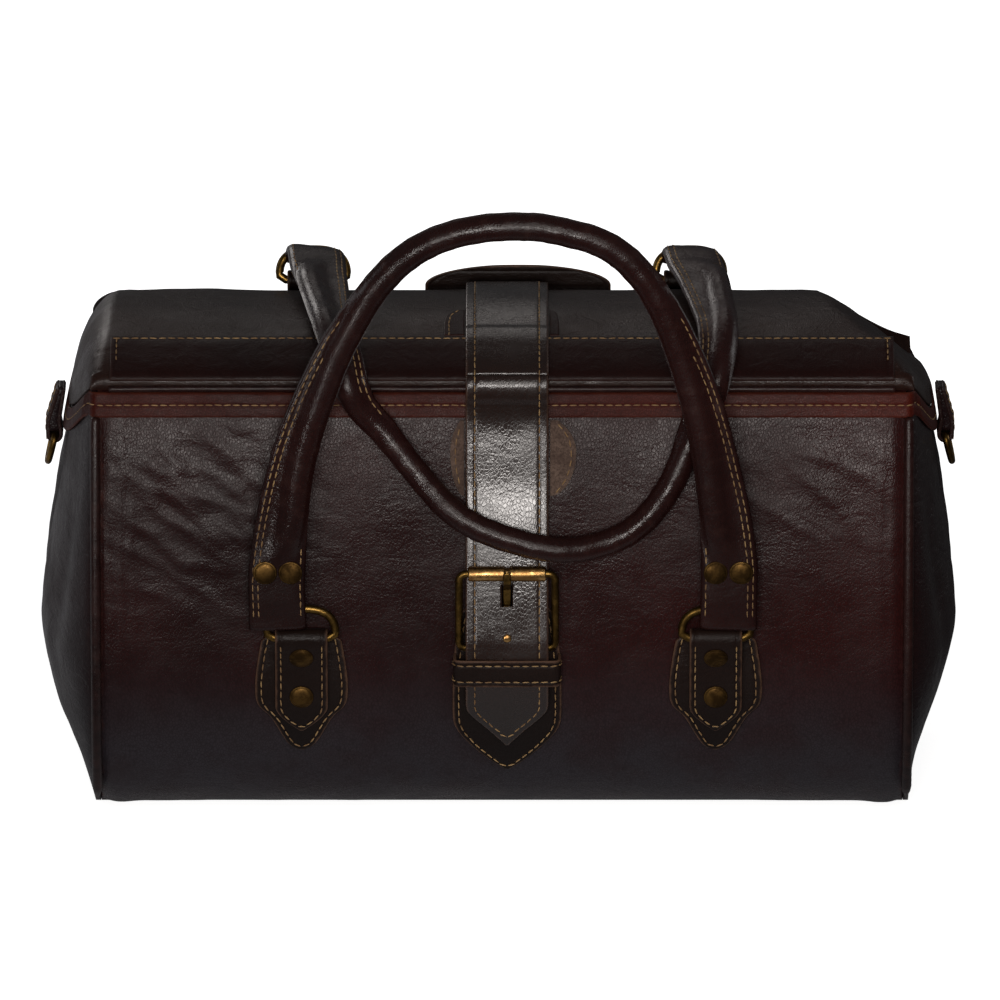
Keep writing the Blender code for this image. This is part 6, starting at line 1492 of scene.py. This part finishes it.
# Node trees
class Tree:
    """Short ways to lay out one node tree."""

    def __init__(self, tree):
        self.tree = tree

    def add(self, kind, values=None, **settings):
        node = self.tree.nodes.new(kind)
        for name, value in settings.items():
            setattr(node, name, value)
        for name, value in (values or {}).items():
            if isinstance(value, bpy.types.NodeSocket):
                self.tree.links.new(value, node.inputs[name])
            else:
                node.inputs[name].default_value = value
        return node

    def link(self, a, b):
        self.tree.links.new(a, b)

    def sphere(self, segments, rings, width, height):
        """A flattened sphere with these radii."""
        ball = self.add("GeometryNodeMeshUVSphere", {"Segments": segments, "Rings": rings, "Radius": 1.0})
        size = self.add("ShaderNodeCombineXYZ", {"X": width, "Y": width, "Z": height})
        return self.add("GeometryNodeTransform", {"Geometry": ball.outputs["Mesh"], "Scale": size.outputs[0]})

    def laid(self, given, result, points, thing, way, spread, material):
        """Lays the thing on every point, turned this way and a little off it, as plain mesh."""
        turn = self.add("FunctionNodeAlignRotationToVector", {"Vector": way}, axis="Z")
        values = {"Seed": given.outputs["Seed"]}
        uneven = self.add("FunctionNodeRandomValue", values, data_type="FLOAT_VECTOR")
        uneven.inputs[0].default_value = [-angle for angle in spread]
        uneven.inputs[1].default_value = spread
        turns = {0: turn.outputs[0], 1: uneven.outputs[0]}
        tilt = self.add("FunctionNodeRotateRotation", turns, rotation_space="LOCAL")
        values = {"Points": points, "Instance": thing, "Rotation": tilt.outputs[0]}
        things = self.add("GeometryNodeInstanceOnPoints", values)
        real = self.add("GeometryNodeRealizeInstances", {0: things.outputs[0]})
        soft = self.add("GeometryNodeSetShadeSmooth", {0: real.outputs[0]})
        values = {"Geometry": soft.outputs[0], "Material": given.outputs[material]}
        self.link(self.add("GeometryNodeSetMaterial", values).outputs[0], result.inputs[0])

    def sum(self, operation, a, b=0.0, clamp=False):
        return self.add("ShaderNodeMath", {0: a, 1: b}, operation=operation, use_clamp=clamp).outputs[0]

    def span(self, value, low, high, first=0.0, last=1.0):
        """The value's place between low and high, eased, as a number between first and last."""
        values = {"Value": value, "From Min": low, "From Max": high, "To Min": first, "To Max": last}
        return self.add("ShaderNodeMapRange", values, interpolation_type="SMOOTHSTEP").outputs[0]

    def mix(self, share, a, b):
        return self.add("ShaderNodeMix", {0: share, 6: a, 7: b}, data_type="RGBA").outputs[2]

    def shaken(self, vector, scale, reach):
        """The place, moved a little by noise."""
        noise = self.noise(vector, scale, 2.0).outputs["Color"]
        moved = self.add("ShaderNodeVectorMath", {0: noise, 3: reach}, operation="SCALE").outputs[0]
        return self.add("ShaderNodeVectorMath", {0: vector, 1: moved}, operation="ADD").outputs[0]

    def noise(self, vector, scale, detail=3.0, rough=0.5, twist=0.0):
        values = {"Vector": vector, "Scale": scale, "Detail": detail, "Roughness": rough, "Distortion": twist}
        return self.add("ShaderNodeTexNoise", values)

    def stretched(self, vector, scale):
        return self.add("ShaderNodeMapping", {"Vector": vector, "Scale": scale}).outputs[0]

    def group(self, name, values):
        return self.add("ShaderNodeGroup", values, node_tree=bpy.data.node_groups[name]).outputs

    def bump(self, height, distance, strength, under=None):
        """The normal that a relief of this height gives, over another one if there is one."""
        values = {"Height": height, "Distance": distance, "Strength": strength}
        return self.add("ShaderNodeBump", {**values, "Normal": under} if under else values).outputs[0]


# Repeats: thread and rivet heads, laid by Geometry Nodes with a fixed seed
STITCH = {"Pitch": STITCH_PITCH, "Length": STITCH_LENGTH, "Radius": THREAD_RADIUS, "Seed": 5}
RIVET = {"Radius": RIVET_RADIUS, "Dome": RIVET_DOME, "Seed": 3}


def node_tree(name, values, material):
    """A tree for Geometry Nodes with an input for each value and for the material."""
    tree = bpy.data.node_groups.new(name, "GeometryNodeTree")
    tree.interface.new_socket("Geometry", in_out="INPUT", socket_type="NodeSocketGeometry")
    for label, value in values.items():
        kind = "NodeSocketInt" if label == "Seed" else "NodeSocketFloat"
        tree.interface.new_socket(label, in_out="INPUT", socket_type=kind).default_value = value
    tree.interface.new_socket(material, in_out="INPUT", socket_type="NodeSocketMaterial")
    tree.interface.new_socket("Geometry", in_out="OUTPUT", socket_type="NodeSocketGeometry")
    return tree, tree.nodes.new("NodeGroupInput"), tree.nodes.new("NodeGroupOutput")


def stitch_tree():
    """Stitches at an even pitch along every row of edges."""
    tree, given, result = node_tree("row of stitches", STITCH, "Thread")
    t = Tree(tree)
    line = t.add("GeometryNodeMeshToCurve", {"Mesh": given.outputs["Geometry"]})
    pitch = {"Curve": line.outputs[0], "Length": given.outputs["Pitch"]}
    even = t.add("GeometryNodeResampleCurve", pitch, mode="LENGTH")
    half = t.sum("MULTIPLY", given.outputs["Length"], 0.5)
    shape = t.sphere(8, 6, given.outputs["Radius"], half)
    tangent = t.add("GeometryNodeInputTangent")
    t.laid(given, result, even.outputs[0], shape.outputs[0], tangent.outputs[0], (0.07, 0.07, 0.07), "Thread")
    return tree


def rivet_tree():
    """A domed head with a thin rim on every point, turned to the point's outward direction."""
    tree, given, result = node_tree("rivet heads", RIVET, "Metal")
    t = Tree(tree)
    radius, dome = given.outputs["Radius"], given.outputs["Dome"]
    head = t.sphere(28, 14, t.sum("MULTIPLY", radius, 0.88), dome)
    foot = t.sphere(28, 8, radius, t.sum("MULTIPLY", dome, 0.38))
    both = t.add("GeometryNodeJoinGeometry")
    t.link(foot.outputs[0], both.inputs[0])
    t.link(head.outputs[0], both.inputs[0])
    way = t.add("GeometryNodeInputNamedAttribute", {"Name": "outward"}, data_type="FLOAT_VECTOR")
    spots = given.outputs["Geometry"]
    t.laid(given, result, spots, both.outputs[0], way.outputs[0], (0.04, 0.04, 3.0), "Metal")
    return tree


def grown(name, mesh, tree, values, body):
    """The plain mesh that a node tree makes from this one."""
    seedling = bpy.data.objects.new(name, mesh)
    bpy.context.scene.collection.objects.link(seedling)
    seedling["body"] = body
    step = seedling.modifiers.new("laid", "NODES")
    step.node_group = tree
    for item in tree.interface.items_tree:
        if item.in_out == "INPUT" and item.name in values:
            step[item.identifier] = values[item.name]
    return plain_copy(seedling, name)


def lay_thread(thread):
    """All the sewing, one piece for each body."""
    tree = stitch_tree()
    for body, lines in sewing.items():
        points, edges = [], []
        for line in lines:
            first = len(points)
            points += [tuple(p) for p in line]
            edges += [(first + k, first + k + 1) for k in range(len(line) - 1)]
        mesh = bpy.data.meshes.new(f"rows_{body}")
        mesh.from_pydata(points, edges, [])
        rows = grown(f"stitches_{body}", mesh, tree, {**STITCH, "Thread": thread}, body)
        if body == "strap":
            bend_strap(rows)
        else:
            settle(rows, "leather")


def set_rivets(rivets, brass):
    """All the rivet heads, one piece for each body."""
    tree = rivet_tree()
    for body, heads in rivets.items():
        mesh = bpy.data.meshes.new(f"seats_{body}")
        mesh.from_pydata([tuple(spot) for _, spot, _ in heads], [], [])
        ways = mesh.attributes.new("outward", "FLOAT_VECTOR", "POINT")
        ways.data.foreach_set("vector", np.array([way for _, _, way in heads], float).ravel())
        piece = grown(f"rivets_{body}", mesh, tree, {**RIVET, "Metal": brass}, body)
        settle(piece, "brass", *[name for name, _, _ in heads])


# Materials
def shader_group(name, inputs, outputs):
    """A group that takes a place and these numbers and gives these numbers."""
    tree = bpy.data.node_groups.new(name, "ShaderNodeTree")
    tree.interface.new_socket("Vector", in_out="INPUT", socket_type="NodeSocketVector")
    for label, value in inputs.items():
        tree.interface.new_socket(label, in_out="INPUT", socket_type="NodeSocketFloat").default_value = value
    for label in outputs:
        tree.interface.new_socket(label, in_out="OUTPUT", socket_type="NodeSocketFloat")
    return Tree(tree), tree.nodes.new("NodeGroupInput").outputs, tree.nodes.new("NodeGroupOutput").inputs


def tone(red, green, blue):
    """A colour given in picture values from 0 to 255."""
    out = [((c / 255 + 0.055) / 1.055) ** 2.4 if c > 10 else c / 255 / 12.92 for c in (red, green, blue)]
    return (*out, 1.0)


def make_grain():
    """Pebbles of uneven size with fine pores, and the valleys between them, which the leathers also darken as
    painted shade.
    """
    t, given, out = shader_group("pebble grain", {"Scale": 800.0}, ("Height", "Valley"))
    place = t.shaken(given["Vector"], 260.0, 0.0012)
    values = {"Vector": place, "Scale": given["Scale"], "Randomness": 1.0}
    cells = t.add("ShaderNodeTexVoronoi", values, feature="DISTANCE_TO_EDGE")
    pebble = t.span(cells.outputs["Distance"], 0.0, 0.22)
    fine = t.noise(given["Vector"], 2600.0, 2.0).outputs[0]
    t.link(t.sum("ADD", t.sum("MULTIPLY", pebble, 0.8), t.sum("MULTIPLY", fine, 0.2)), out["Height"])
    t.link(t.sum("SUBTRACT", 1.0, pebble), out["Valley"])


def make_creasing():
    """Sharp creases where a broad noise passes its middle."""
    t, given, out = shader_group("creasing", {"Scale": 60.0}, ("Height",))
    ripple = t.noise(given["Vector"], given["Scale"], 5.0, 0.6, 0.6).outputs[0]
    ridge = t.sum("ABSOLUTE", t.sum("SUBTRACT", ripple, 0.5))
    t.link(t.span(ridge, 0.0, 0.11), out["Height"])


def make_drift():
    """Where the leather is warmer, where a painted low tone comes in towards the bottom, and a cloud that its
    gloss follows.
    """
    t, given, out = shader_group("colour drift", {}, ("Warm", "Cool", "Cloud"))
    parts = t.add("ShaderNodeSeparateXYZ", {0: given["Vector"]}).outputs
    broad = t.noise(given["Vector"], 9.0, 3.0).outputs[0]
    patch = t.noise(given["Vector"], 30.0, 4.0, 0.6).outputs[0]
    right = t.span(parts["X"], -0.20, 0.20, 0.15, 0.60)
    lift = t.sum("ADD", t.sum("MULTIPLY", t.span(broad, 0.35, 0.65), 0.5), right)
    high = t.span(parts["Z"], 0.02, 0.12, 0.3, 1.0)
    t.link(t.sum("MULTIPLY", lift, high, True), out["Warm"])
    # The painted low tone grows towards the bottom and is broken up by a noise patch; on the body's leathers
    # it stands for the floor's reflection.
    low = t.span(parts["Z"], 0.11, 0.02)
    t.link(t.sum("MULTIPLY", low, t.span(patch, 0.3, 0.6, 0.55, 1.0), True), out["Cool"])
    t.link(t.span(patch, 0.32, 0.68), out["Cloud"])


def make_wear():
    """Where edges are rubbed: the mesh says how near they are, a noise breaks them up."""
    t, given, out = shader_group("worn edges", {"Amount": 1.0}, ("Mask",))
    worn = t.add("ShaderNodeAttribute", attribute_name="wear").outputs["Fac"]
    rub = t.noise(given["Vector"], 180.0, 4.0, 0.65).outputs[0]
    mask = t.span(t.sum("ADD", worn, t.sum("MULTIPLY", rub, 0.8)), 0.75, 1.35)
    t.link(t.sum("MULTIPLY", mask, given["Amount"], True), out["Mask"])


def make_weave():
    """Threads that cross, drawn a little out of line."""
    t, given, out = shader_group("plain weave", {"Scale": 4200.0}, ("Height",))
    place = t.shaken(given["Vector"], 160.0, 0.0008)
    parts = t.add("ShaderNodeSeparateXYZ", {0: place}).outputs
    across = t.sum("SINE", t.sum("MULTIPLY", parts["X"], given["Scale"]))
    deep = t.sum("ADD", parts["Y"], parts["Z"])
    along = t.sum("SINE", t.sum("MULTIPLY", deep, given["Scale"]))
    t.link(t.span(t.sum("MULTIPLY", across, along), -0.6, 0.6), out["Height"])


def new_material(name):
    """An empty material: itself, its tree, its shader and the place on the object."""
    material = bpy.data.materials.new(name)
    material.use_nodes = True
    material.node_tree.nodes.clear()
    t = Tree(material.node_tree)
    out = t.add("ShaderNodeOutputMaterial")
    shader = t.add("ShaderNodeBsdfPrincipled")
    t.link(shader.outputs[0], out.inputs[0])
    return material, t, shader, t.add("ShaderNodeTexCoord").outputs["Object"]


def finished(shader, t, colour, rough, relief, **plain):
    """Links what a material's tree works out; plain values are named by the words of their input."""
    t.link(colour, shader.inputs["Base Color"])
    t.link(rough, shader.inputs["Roughness"])
    t.link(relief, shader.inputs["Normal"])
    for label, value in plain.items():
        shader.inputs[label.replace("_", " ")].default_value = value


# The leathers by name: dark, warm, painted low and rubbed tone, then roughness, shine, how many grains to the
# metre, how deep they are, how strongly the leather is creased and how much its edges are rubbed. The low
# tone is painted in towards the bottom: on the oxblood and end panel leathers a paler bluish grey that stands
# for a painted reflection of the floor, on the others mostly a little darker.
LEATHERS = {
    "oxblood leather": ((28, 14, 14), (50, 19, 18), (46, 43, 48), (80, 46, 40),
        0.30, 0.20, 760, 0.00006, 0.09, 0.6),
    "end panel leather": ((26, 17, 19), (36, 17, 18), (30, 28, 31), (58, 38, 34),
        0.34, 0.24, 760, 0.00007, 0.20, 0.4),
    "lid leather": ((30, 18, 15), (46, 26, 20), (26, 19, 18), (66, 46, 40),
        0.32, 0.27, 820, 0.00005, 0.16, 0.5),
    "lid front leather": ((25, 13, 12), (38, 16, 14), (18, 11, 12), (54, 34, 30),
        0.36, 0.16, 950, 0.00005, 0.15, 0.6),
    "strap leather": ((30, 19, 15), (42, 25, 20), (22, 16, 14), (84, 60, 48),
        0.21, 0.72, 700, 0.000035, 0.05, 0.7),
    "tab leather": ((24, 16, 13), (34, 21, 17), (20, 15, 14), (90, 66, 52),
        0.36, 0.16, 1100, 0.00005, 0.12, 1.0),
    "handle leather": ((28, 16, 15), (46, 21, 19), (22, 15, 15), (74, 48, 42),
        0.21, 0.32, 900, 0.00004, 0.08, 0.5),
    "mouth band leather": ((20, 8, 7), (80, 27, 18), (26, 11, 10), (92, 48, 36),
        0.38, 0.10, 1100, 0.00004, 0.12, 0.5),
    "cord leather": ((22, 12, 12), (38, 17, 16), (20, 14, 15), (66, 42, 38),
        0.28, 0.26, 1300, 0.00004, 0.08, 0.5),
}


def leather(name):
    """Glossy grained leather: a dark dye that drifts in tone, with a painted low tone towards the bottom and
    painted shade in the grain's valleys, rubbed lighter along its edges.
    """
    *tones, rough, level, cell, relief, crease, wear = LEATHERS[name]
    dark, warm, painted_low_tone, rubbed = (tone(*values) for values in tones)
    material, t, shader, place = new_material(name)
    drift = t.group("colour drift", {"Vector": place})
    grain = t.group("pebble grain", {"Vector": t.stretched(place, (1.0, 1.0, 0.62)), "Scale": cell})
    folds = t.group("creasing", {"Vector": t.stretched(place, (1.0, 1.0, 1.6)), "Scale": 46.0})["Height"]
    edge = t.group("worn edges", {"Vector": place, "Amount": wear})["Mask"]
    base = t.mix(drift["Warm"], dark, warm)
    # Painted reflection of the floor on the body and end panels: the low tone mixed in towards the bottom.
    base = t.mix(drift["Cool"], base, painted_low_tone)
    # Painted shade: the grain's valleys mixed towards a deeper tone of the dark dye.
    base = t.mix(t.sum("MULTIPLY", grain["Valley"], 0.45), base, tuple(c * 0.35 for c in dark[:3]) + (1,))
    base = t.mix(edge, base, rubbed)
    gloss = t.span(drift["Cloud"], 0.0, 1.0, rough - 0.05, rough + 0.07)
    gloss = t.sum("ADD", gloss, t.sum("MULTIPLY", grain["Valley"], 0.08))
    gloss = t.sum("ADD", gloss, t.sum("MULTIPLY", edge, 0.08))
    high = t.bump(grain["Height"], relief, 1.0)
    finished(shader, t, base, gloss, t.bump(folds, 0.0012, crease, high), Specular_IOR_Level=level)
    return material


def suede_leather(name):
    """Undyed flesh side with a short nap."""
    material, t, shader, place = new_material(name)
    nap = t.noise(place, 900.0, 4.0, 0.7).outputs[0]
    cloud = t.noise(place, 90.0, 3.0).outputs[0]
    base = t.mix(t.span(cloud, 0.3, 0.7), tone(74, 54, 44), tone(104, 84, 72))
    base = t.mix(t.span(nap, 0.35, 0.7), base, tone(60, 44, 36))
    finished(shader, t, base, t.span(nap, 0.3, 0.7, 0.78, 0.95), t.bump(nap, 0.0004, 0.8), Sheen_Weight=0.25)
    return material


def aged_brass(name, bright, tarnish, rough=0.32):
    """Brass, stained in patches and bright where it is rubbed."""
    material, t, shader, place = new_material(name)
    stain = t.noise(place, 130.0, 5.0, 0.62, 0.4).outputs[0]
    fine = t.noise(place, 900.0, 3.0).outputs[0]
    worn = t.group("worn edges", {"Vector": place, "Amount": 0.8})["Mask"]
    dull = t.sum("SUBTRACT", t.span(stain, 0.38, 0.62), t.sum("MULTIPLY", worn, 0.6), True)
    base = t.mix(dull, tone(*bright), tone(*tarnish))
    gloss = t.span(fine, 0.3, 0.7, rough - 0.06, rough + 0.08)
    gloss = t.sum("ADD", gloss, t.sum("MULTIPLY", dull, 0.18))
    finished(shader, t, base, gloss, t.bump(t.sum("ADD", fine, stain), 0.00006, 0.6), Metallic=1.0)
    return material


def waxed_thread(name):
    """Twisted tan thread, a little soiled."""
    material, t, shader, place = new_material(name)
    values = {"Vector": place, "Scale": 620.0, "Distortion": 1.5}
    ply = t.add("ShaderNodeTexWave", values, bands_direction="DIAGONAL").outputs["Fac"]
    soil = t.noise(place, 60.0, 3.0).outputs[0]
    base = t.mix(t.span(soil, 0.35, 0.65), tone(164, 134, 90), tone(118, 90, 58))
    base = t.mix(t.sum("MULTIPLY", ply, 0.4), base, tone(110, 78, 48))
    finished(shader, t, base, t.span(soil, 0.3, 0.7, 0.55, 0.75), t.bump(ply, 0.0001, 0.7))
    return material


def lining_cloth(name):
    """Plain woven tan cloth, with painted shade in the low places of its weave."""
    material, t, shader, place = new_material(name)
    weave = t.group("plain weave", {"Vector": place, "Scale": 4200.0})["Height"]
    cloud = t.noise(place, 25.0, 4.0).outputs[0]
    base = t.mix(t.span(cloud, 0.3, 0.7), tone(96, 76, 58), tone(78, 60, 46))
    # Painted shade: the weave's low places mixed towards a darker tone.
    base = t.mix(t.sum("MULTIPLY", t.sum("SUBTRACT", 1.0, weave), 0.5), base, tone(48, 36, 28))
    rough = t.span(cloud, 0.3, 0.7, 0.75, 0.88)
    finished(shader, t, base, rough, t.bump(weave, 0.00018, 0.8), Sheen_Weight=0.15)
    return material


def rolled_steel(name):
    """Dull steel with rolling marks and a few rust spots."""
    material, t, shader, place = new_material(name)
    run = t.noise(t.stretched(place, (1.0, 14.0, 14.0)), 120.0, 4.0).outputs[0]
    spots = t.noise(place, 210.0, 5.0, 0.65).outputs[0]
    base = t.mix(t.span(run, 0.3, 0.7), tone(128, 122, 114), tone(104, 98, 92))
    base = t.mix(t.span(spots, 0.60, 0.72), base, tone(84, 58, 40))
    finished(shader, t, base, t.span(run, 0.3, 0.7, 0.34, 0.52), t.bump(run, 0.00004, 0.6), Metallic=0.9)
    return material


def fibre_board(name):
    """Brown board with its fibres along the bag."""
    material, t, shader, place = new_material(name)
    fibre = t.noise(t.stretched(place, (1.0, 5.0, 5.0)), 260.0, 5.0, 0.7).outputs[0]
    cloud = t.noise(place, 20.0, 3.0).outputs[0]
    base = t.mix(t.span(cloud, 0.3, 0.7), tone(104, 84, 64), tone(86, 68, 52))
    base = t.mix(t.span(fibre, 0.4, 0.7), base, tone(62, 48, 36))
    finished(shader, t, base, t.span(fibre, 0.3, 0.7, 0.75, 0.9), t.bump(fibre, 0.0002, 0.6))
    return material


# The room
FLOOR_GLOW = 0.86
# Each light: where it stands, what it is aimed at, its width, height and power, and its colour
LIGHTS = {
    "front softbox": ((-0.10, -2.4, 0.84), (0, 0, 0.18), 1.1, 0.40, 25.0, (1.0, 0.95, 0.91)),
    "key softbox": ((0.35, -1.9, 1.6), (0, 0, 0.15), 0.9, 0.6, 8.0, (1.0, 0.95, 0.90)),
    "low side light": ((-1.1, -1.9, 0.16), (0, 0, 0.19), 0.3, 0.28, 4.5, (1.0, 0.95, 0.92)),
    "back softbox": ((-0.2, 2.5, 2.0), (0, 0, 0.20), 1.4, 0.7, 3.0, (1.0, 0.94, 0.90)),
    "rear side light": ((-1.2, 2.2, 0.9), (0, 0, 0.15), 0.8, 0.6, 4.5, (1.0, 0.95, 0.92)),
    "left fill": ((-1.8, 0.3, 0.6), (0, 0, 0.12), 0.9, 0.9, 3.5, (0.94, 0.97, 1.0)),
    "right fill": ((1.9, 1.2, 0.6), (0, 0, 0.12), 0.7, 0.9, 3.0, (1.0, 1.0, 1.0)),
}
# What the camera is aimed at, how high it stands above level and how far off
TARGET = np.array([-0.001, 0.0, 0.1418])
RISE = math.radians(20)
CAMERA_REACH = 10.0


def make_floor():
    """A pale floor that reads as white to the camera beyond the soft shadow. To reflections and bounced light
    its colour is a painted pool of light: pale near the bag and beside its left end, dark further off.
    """
    material, t, shader, place = new_material("pale floor")
    far = t.add("ShaderNodeVectorMath", {0: place}, operation="LENGTH").outputs["Value"]
    parts = t.add("ShaderNodeSeparateXYZ", {0: place}).outputs
    # Painted light: a pale patch of floor beside the bag's left end, for the left end panel to reflect.
    beside = t.sum("MULTIPLY", t.span(parts["X"], -0.14, -0.28), t.span(parts["Y"], -0.24, -0.04))
    cloud = t.noise(place, 6.0, 3.0).outputs[0]
    seen = t.add("ShaderNodeLightPath").outputs["Is Camera Ray"]
    pale = t.mix(cloud, (0.80, 0.80, 0.80, 1), (0.84, 0.84, 0.84, 1))
    # Painted pool of light round the bag, seen only in reflections and bounced light; the floor beyond it is
    # painted dark.
    lit = t.sum("MAXIMUM", t.span(far, 0.36, 0.17), beside)
    painted_pool_floor = t.mix(lit, (0.10, 0.10, 0.105, 1), (0.80, 0.81, 0.85, 1))
    t.link(t.mix(seen, painted_pool_floor, pale), shader.inputs["Base Color"])
    shader.inputs["Roughness"].default_value = 0.9
    shader.inputs["Specular IOR Level"].default_value = 0.1
    glow = t.span(far, 0.22, 0.75, FLOOR_GLOW, 1.2)
    t.link(t.sum("MULTIPLY", glow, seen), shader.inputs["Emission Strength"])
    shader.inputs["Emission Color"].default_value = (1, 1, 1, 1)
    mesh = bpy.data.meshes.new("floor")
    mesh.from_pydata([(-6, -6, 0), (6, -6, 0), (6, 12, 0), (-6, 12, 0)], [], [(0, 1, 2, 3)])
    mesh.materials.append(material)
    floor = bpy.data.objects.new("floor", mesh)
    bpy.context.scene.collection.objects.link(floor)


def aim_at(thing, place, aim):
    """Puts a light or the camera here, looking there."""
    thing.location = place
    thing.rotation_euler = (Vector(aim) - Vector(place)).to_track_quat("-Z", "Y").to_euler()
    bpy.context.scene.collection.objects.link(thing)


def softbox(name, place, aim, width, height, power, colour):
    """An oblong area light."""
    light = bpy.data.lights.new(name, "AREA")
    light.shape = "RECTANGLE"
    light.size = width
    light.size_y = height
    light.energy = power
    light.color = colour
    aim_at(bpy.data.objects.new(name, light), place, aim)


def make_room():
    """A white studio that lights the bag only from its lamps, and the camera."""
    scene = bpy.context.scene
    world = bpy.data.worlds.new("studio")
    world.use_nodes = True
    world.node_tree.nodes.clear()
    t = Tree(world.node_tree)
    path = t.add("ShaderNodeLightPath")
    white = t.add("ShaderNodeBackground", {"Color": (1, 1, 1, 1), "Strength": 1.0})
    grey = t.add("ShaderNodeBackground", {"Color": (0.95, 0.97, 1.0, 1), "Strength": 0.07})
    sides = {0: path.outputs["Is Camera Ray"], 1: grey.outputs[0], 2: white.outputs[0]}
    either = t.add("ShaderNodeMixShader", sides)
    out = t.add("ShaderNodeOutputWorld")
    t.link(either.outputs[0], out.inputs[0])
    scene.world = world
    for name, values in LIGHTS.items():
        softbox(name, *values)
    scene.view_settings.view_transform = "Standard"
    camera = bpy.data.cameras.new("camera")
    camera.sensor_width = 36
    camera.lens = 720
    camera.clip_end = 40
    eye = bpy.data.objects.new("camera", camera)
    aim_at(eye, TARGET + CAMERA_REACH * np.array([0, -math.cos(RISE), math.sin(RISE)]), TARGET)
    scene.camera = eye


def make_hinge_roll(cord):
    """The corded roll that the lid turns on."""
    x = np.linspace(PIPING_RADIUS - PANEL_LENGTH / 2, CORNER_SINK_X - PIPING_RADIUS * 4, 80)
    line = np.column_stack([x, np.full(80, HINGE_BACK), np.full(80, HINGE_HEIGHT)])
    roll = corded("hinge_cord", line, HINGE_ROLL_RADIUS * HINGE_CORD_SHARE, cord, "bag", 31)
    settle(roll, "leather", "hinge_roll")


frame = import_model()
for make_effect in (make_grain, make_creasing, make_drift, make_wear, make_weave):
    make_effect()
(body_leather, end_leather, lid_leather, front_leather, strap_leather, tab_leather, handle_leather,
 band_leather, cord_leather) = (leather(name) for name in LEATHERS)
suede = suede_leather("flesh side")
brass = aged_brass("aged brass", (126, 98, 50), (64, 48, 22))
rivet_brass = aged_brass("rivet brass", (96, 72, 38), (58, 42, 22), 0.44)
bright_brass = aged_brass("rubbed brass", (206, 164, 104), (140, 100, 56), 0.26)
thread = waxed_thread("tan thread")
cloth = lining_cloth("lining cloth")
steel = rolled_steel("frame steel")
board = fibre_board("board")

settle(make_wrap(body_leather), "leather", "wrap_panel")
for label, side in SIDES:
    settle(make_gusset(f"gusset_{label}", side, end_leather), "leather", f"gusset_{label}")
make_pipings(cord_leather)
make_rim_band(band_leather)
make_lid(lid_leather)
make_lid_trim(front_leather, cord_leather)
make_guards(suede)
finish_strap_front(make_strap(strap_leather), bright_brass)
make_patch("buckle_backing", STRAP_MIDDLE, BUCKLE_PATCH_WIDTH, BUCKLE_PATCH_TOP, BUCKLE_PATCH_TIP, 0.60,
           tab_leather, "buckle_patch")
heads = {"bag": [], "front_handle": []}
for label, x in FRONT_RINGS.items():
    make_patch(f"handle_backing_{label}", x, FRONT_PATCH_WIDTH, FRONT_PATCH_TOP, FRONT_PATCH_TIP, 0.47,
               tab_leather, f"front_patch_{label}")
    make_front_chape(label, x, tab_leather, heads["bag"])
make_buckle_leather(tab_leather)
make_buckle_frame(brass)
make_roller(bright_brass)
make_tongue(brass)
make_rings(brass)
make_front_handle(handle_leather, heads["front_handle"])
make_handle("rolled_handle_rear", rear_handle_path(), rear_outward, REAR_HANDLE_RADIUS, handle_leather,
            "rear_handle", 27)
make_rear_leather(tab_leather)
make_side_fittings(end_leather, brass)
make_hinge_roll(cord_leather)
make_cloth(frame["nodes"]["lining"], "inner_cloth", cloth, "bag", 0.0011, 41)
make_cloth(frame["nodes"]["lid_lining"], "lid_cloth", cloth, "lid", 0.0004, 42)
for label, finish in (("mouth_frame", steel), ("lid_frame", steel), ("base_board", board)):
    for slot in frame["nodes"][label].material_slots:
        slot.material = finish
lay_thread(thread)
set_rivets(heads, rivet_brass)
make_floor()
make_room()
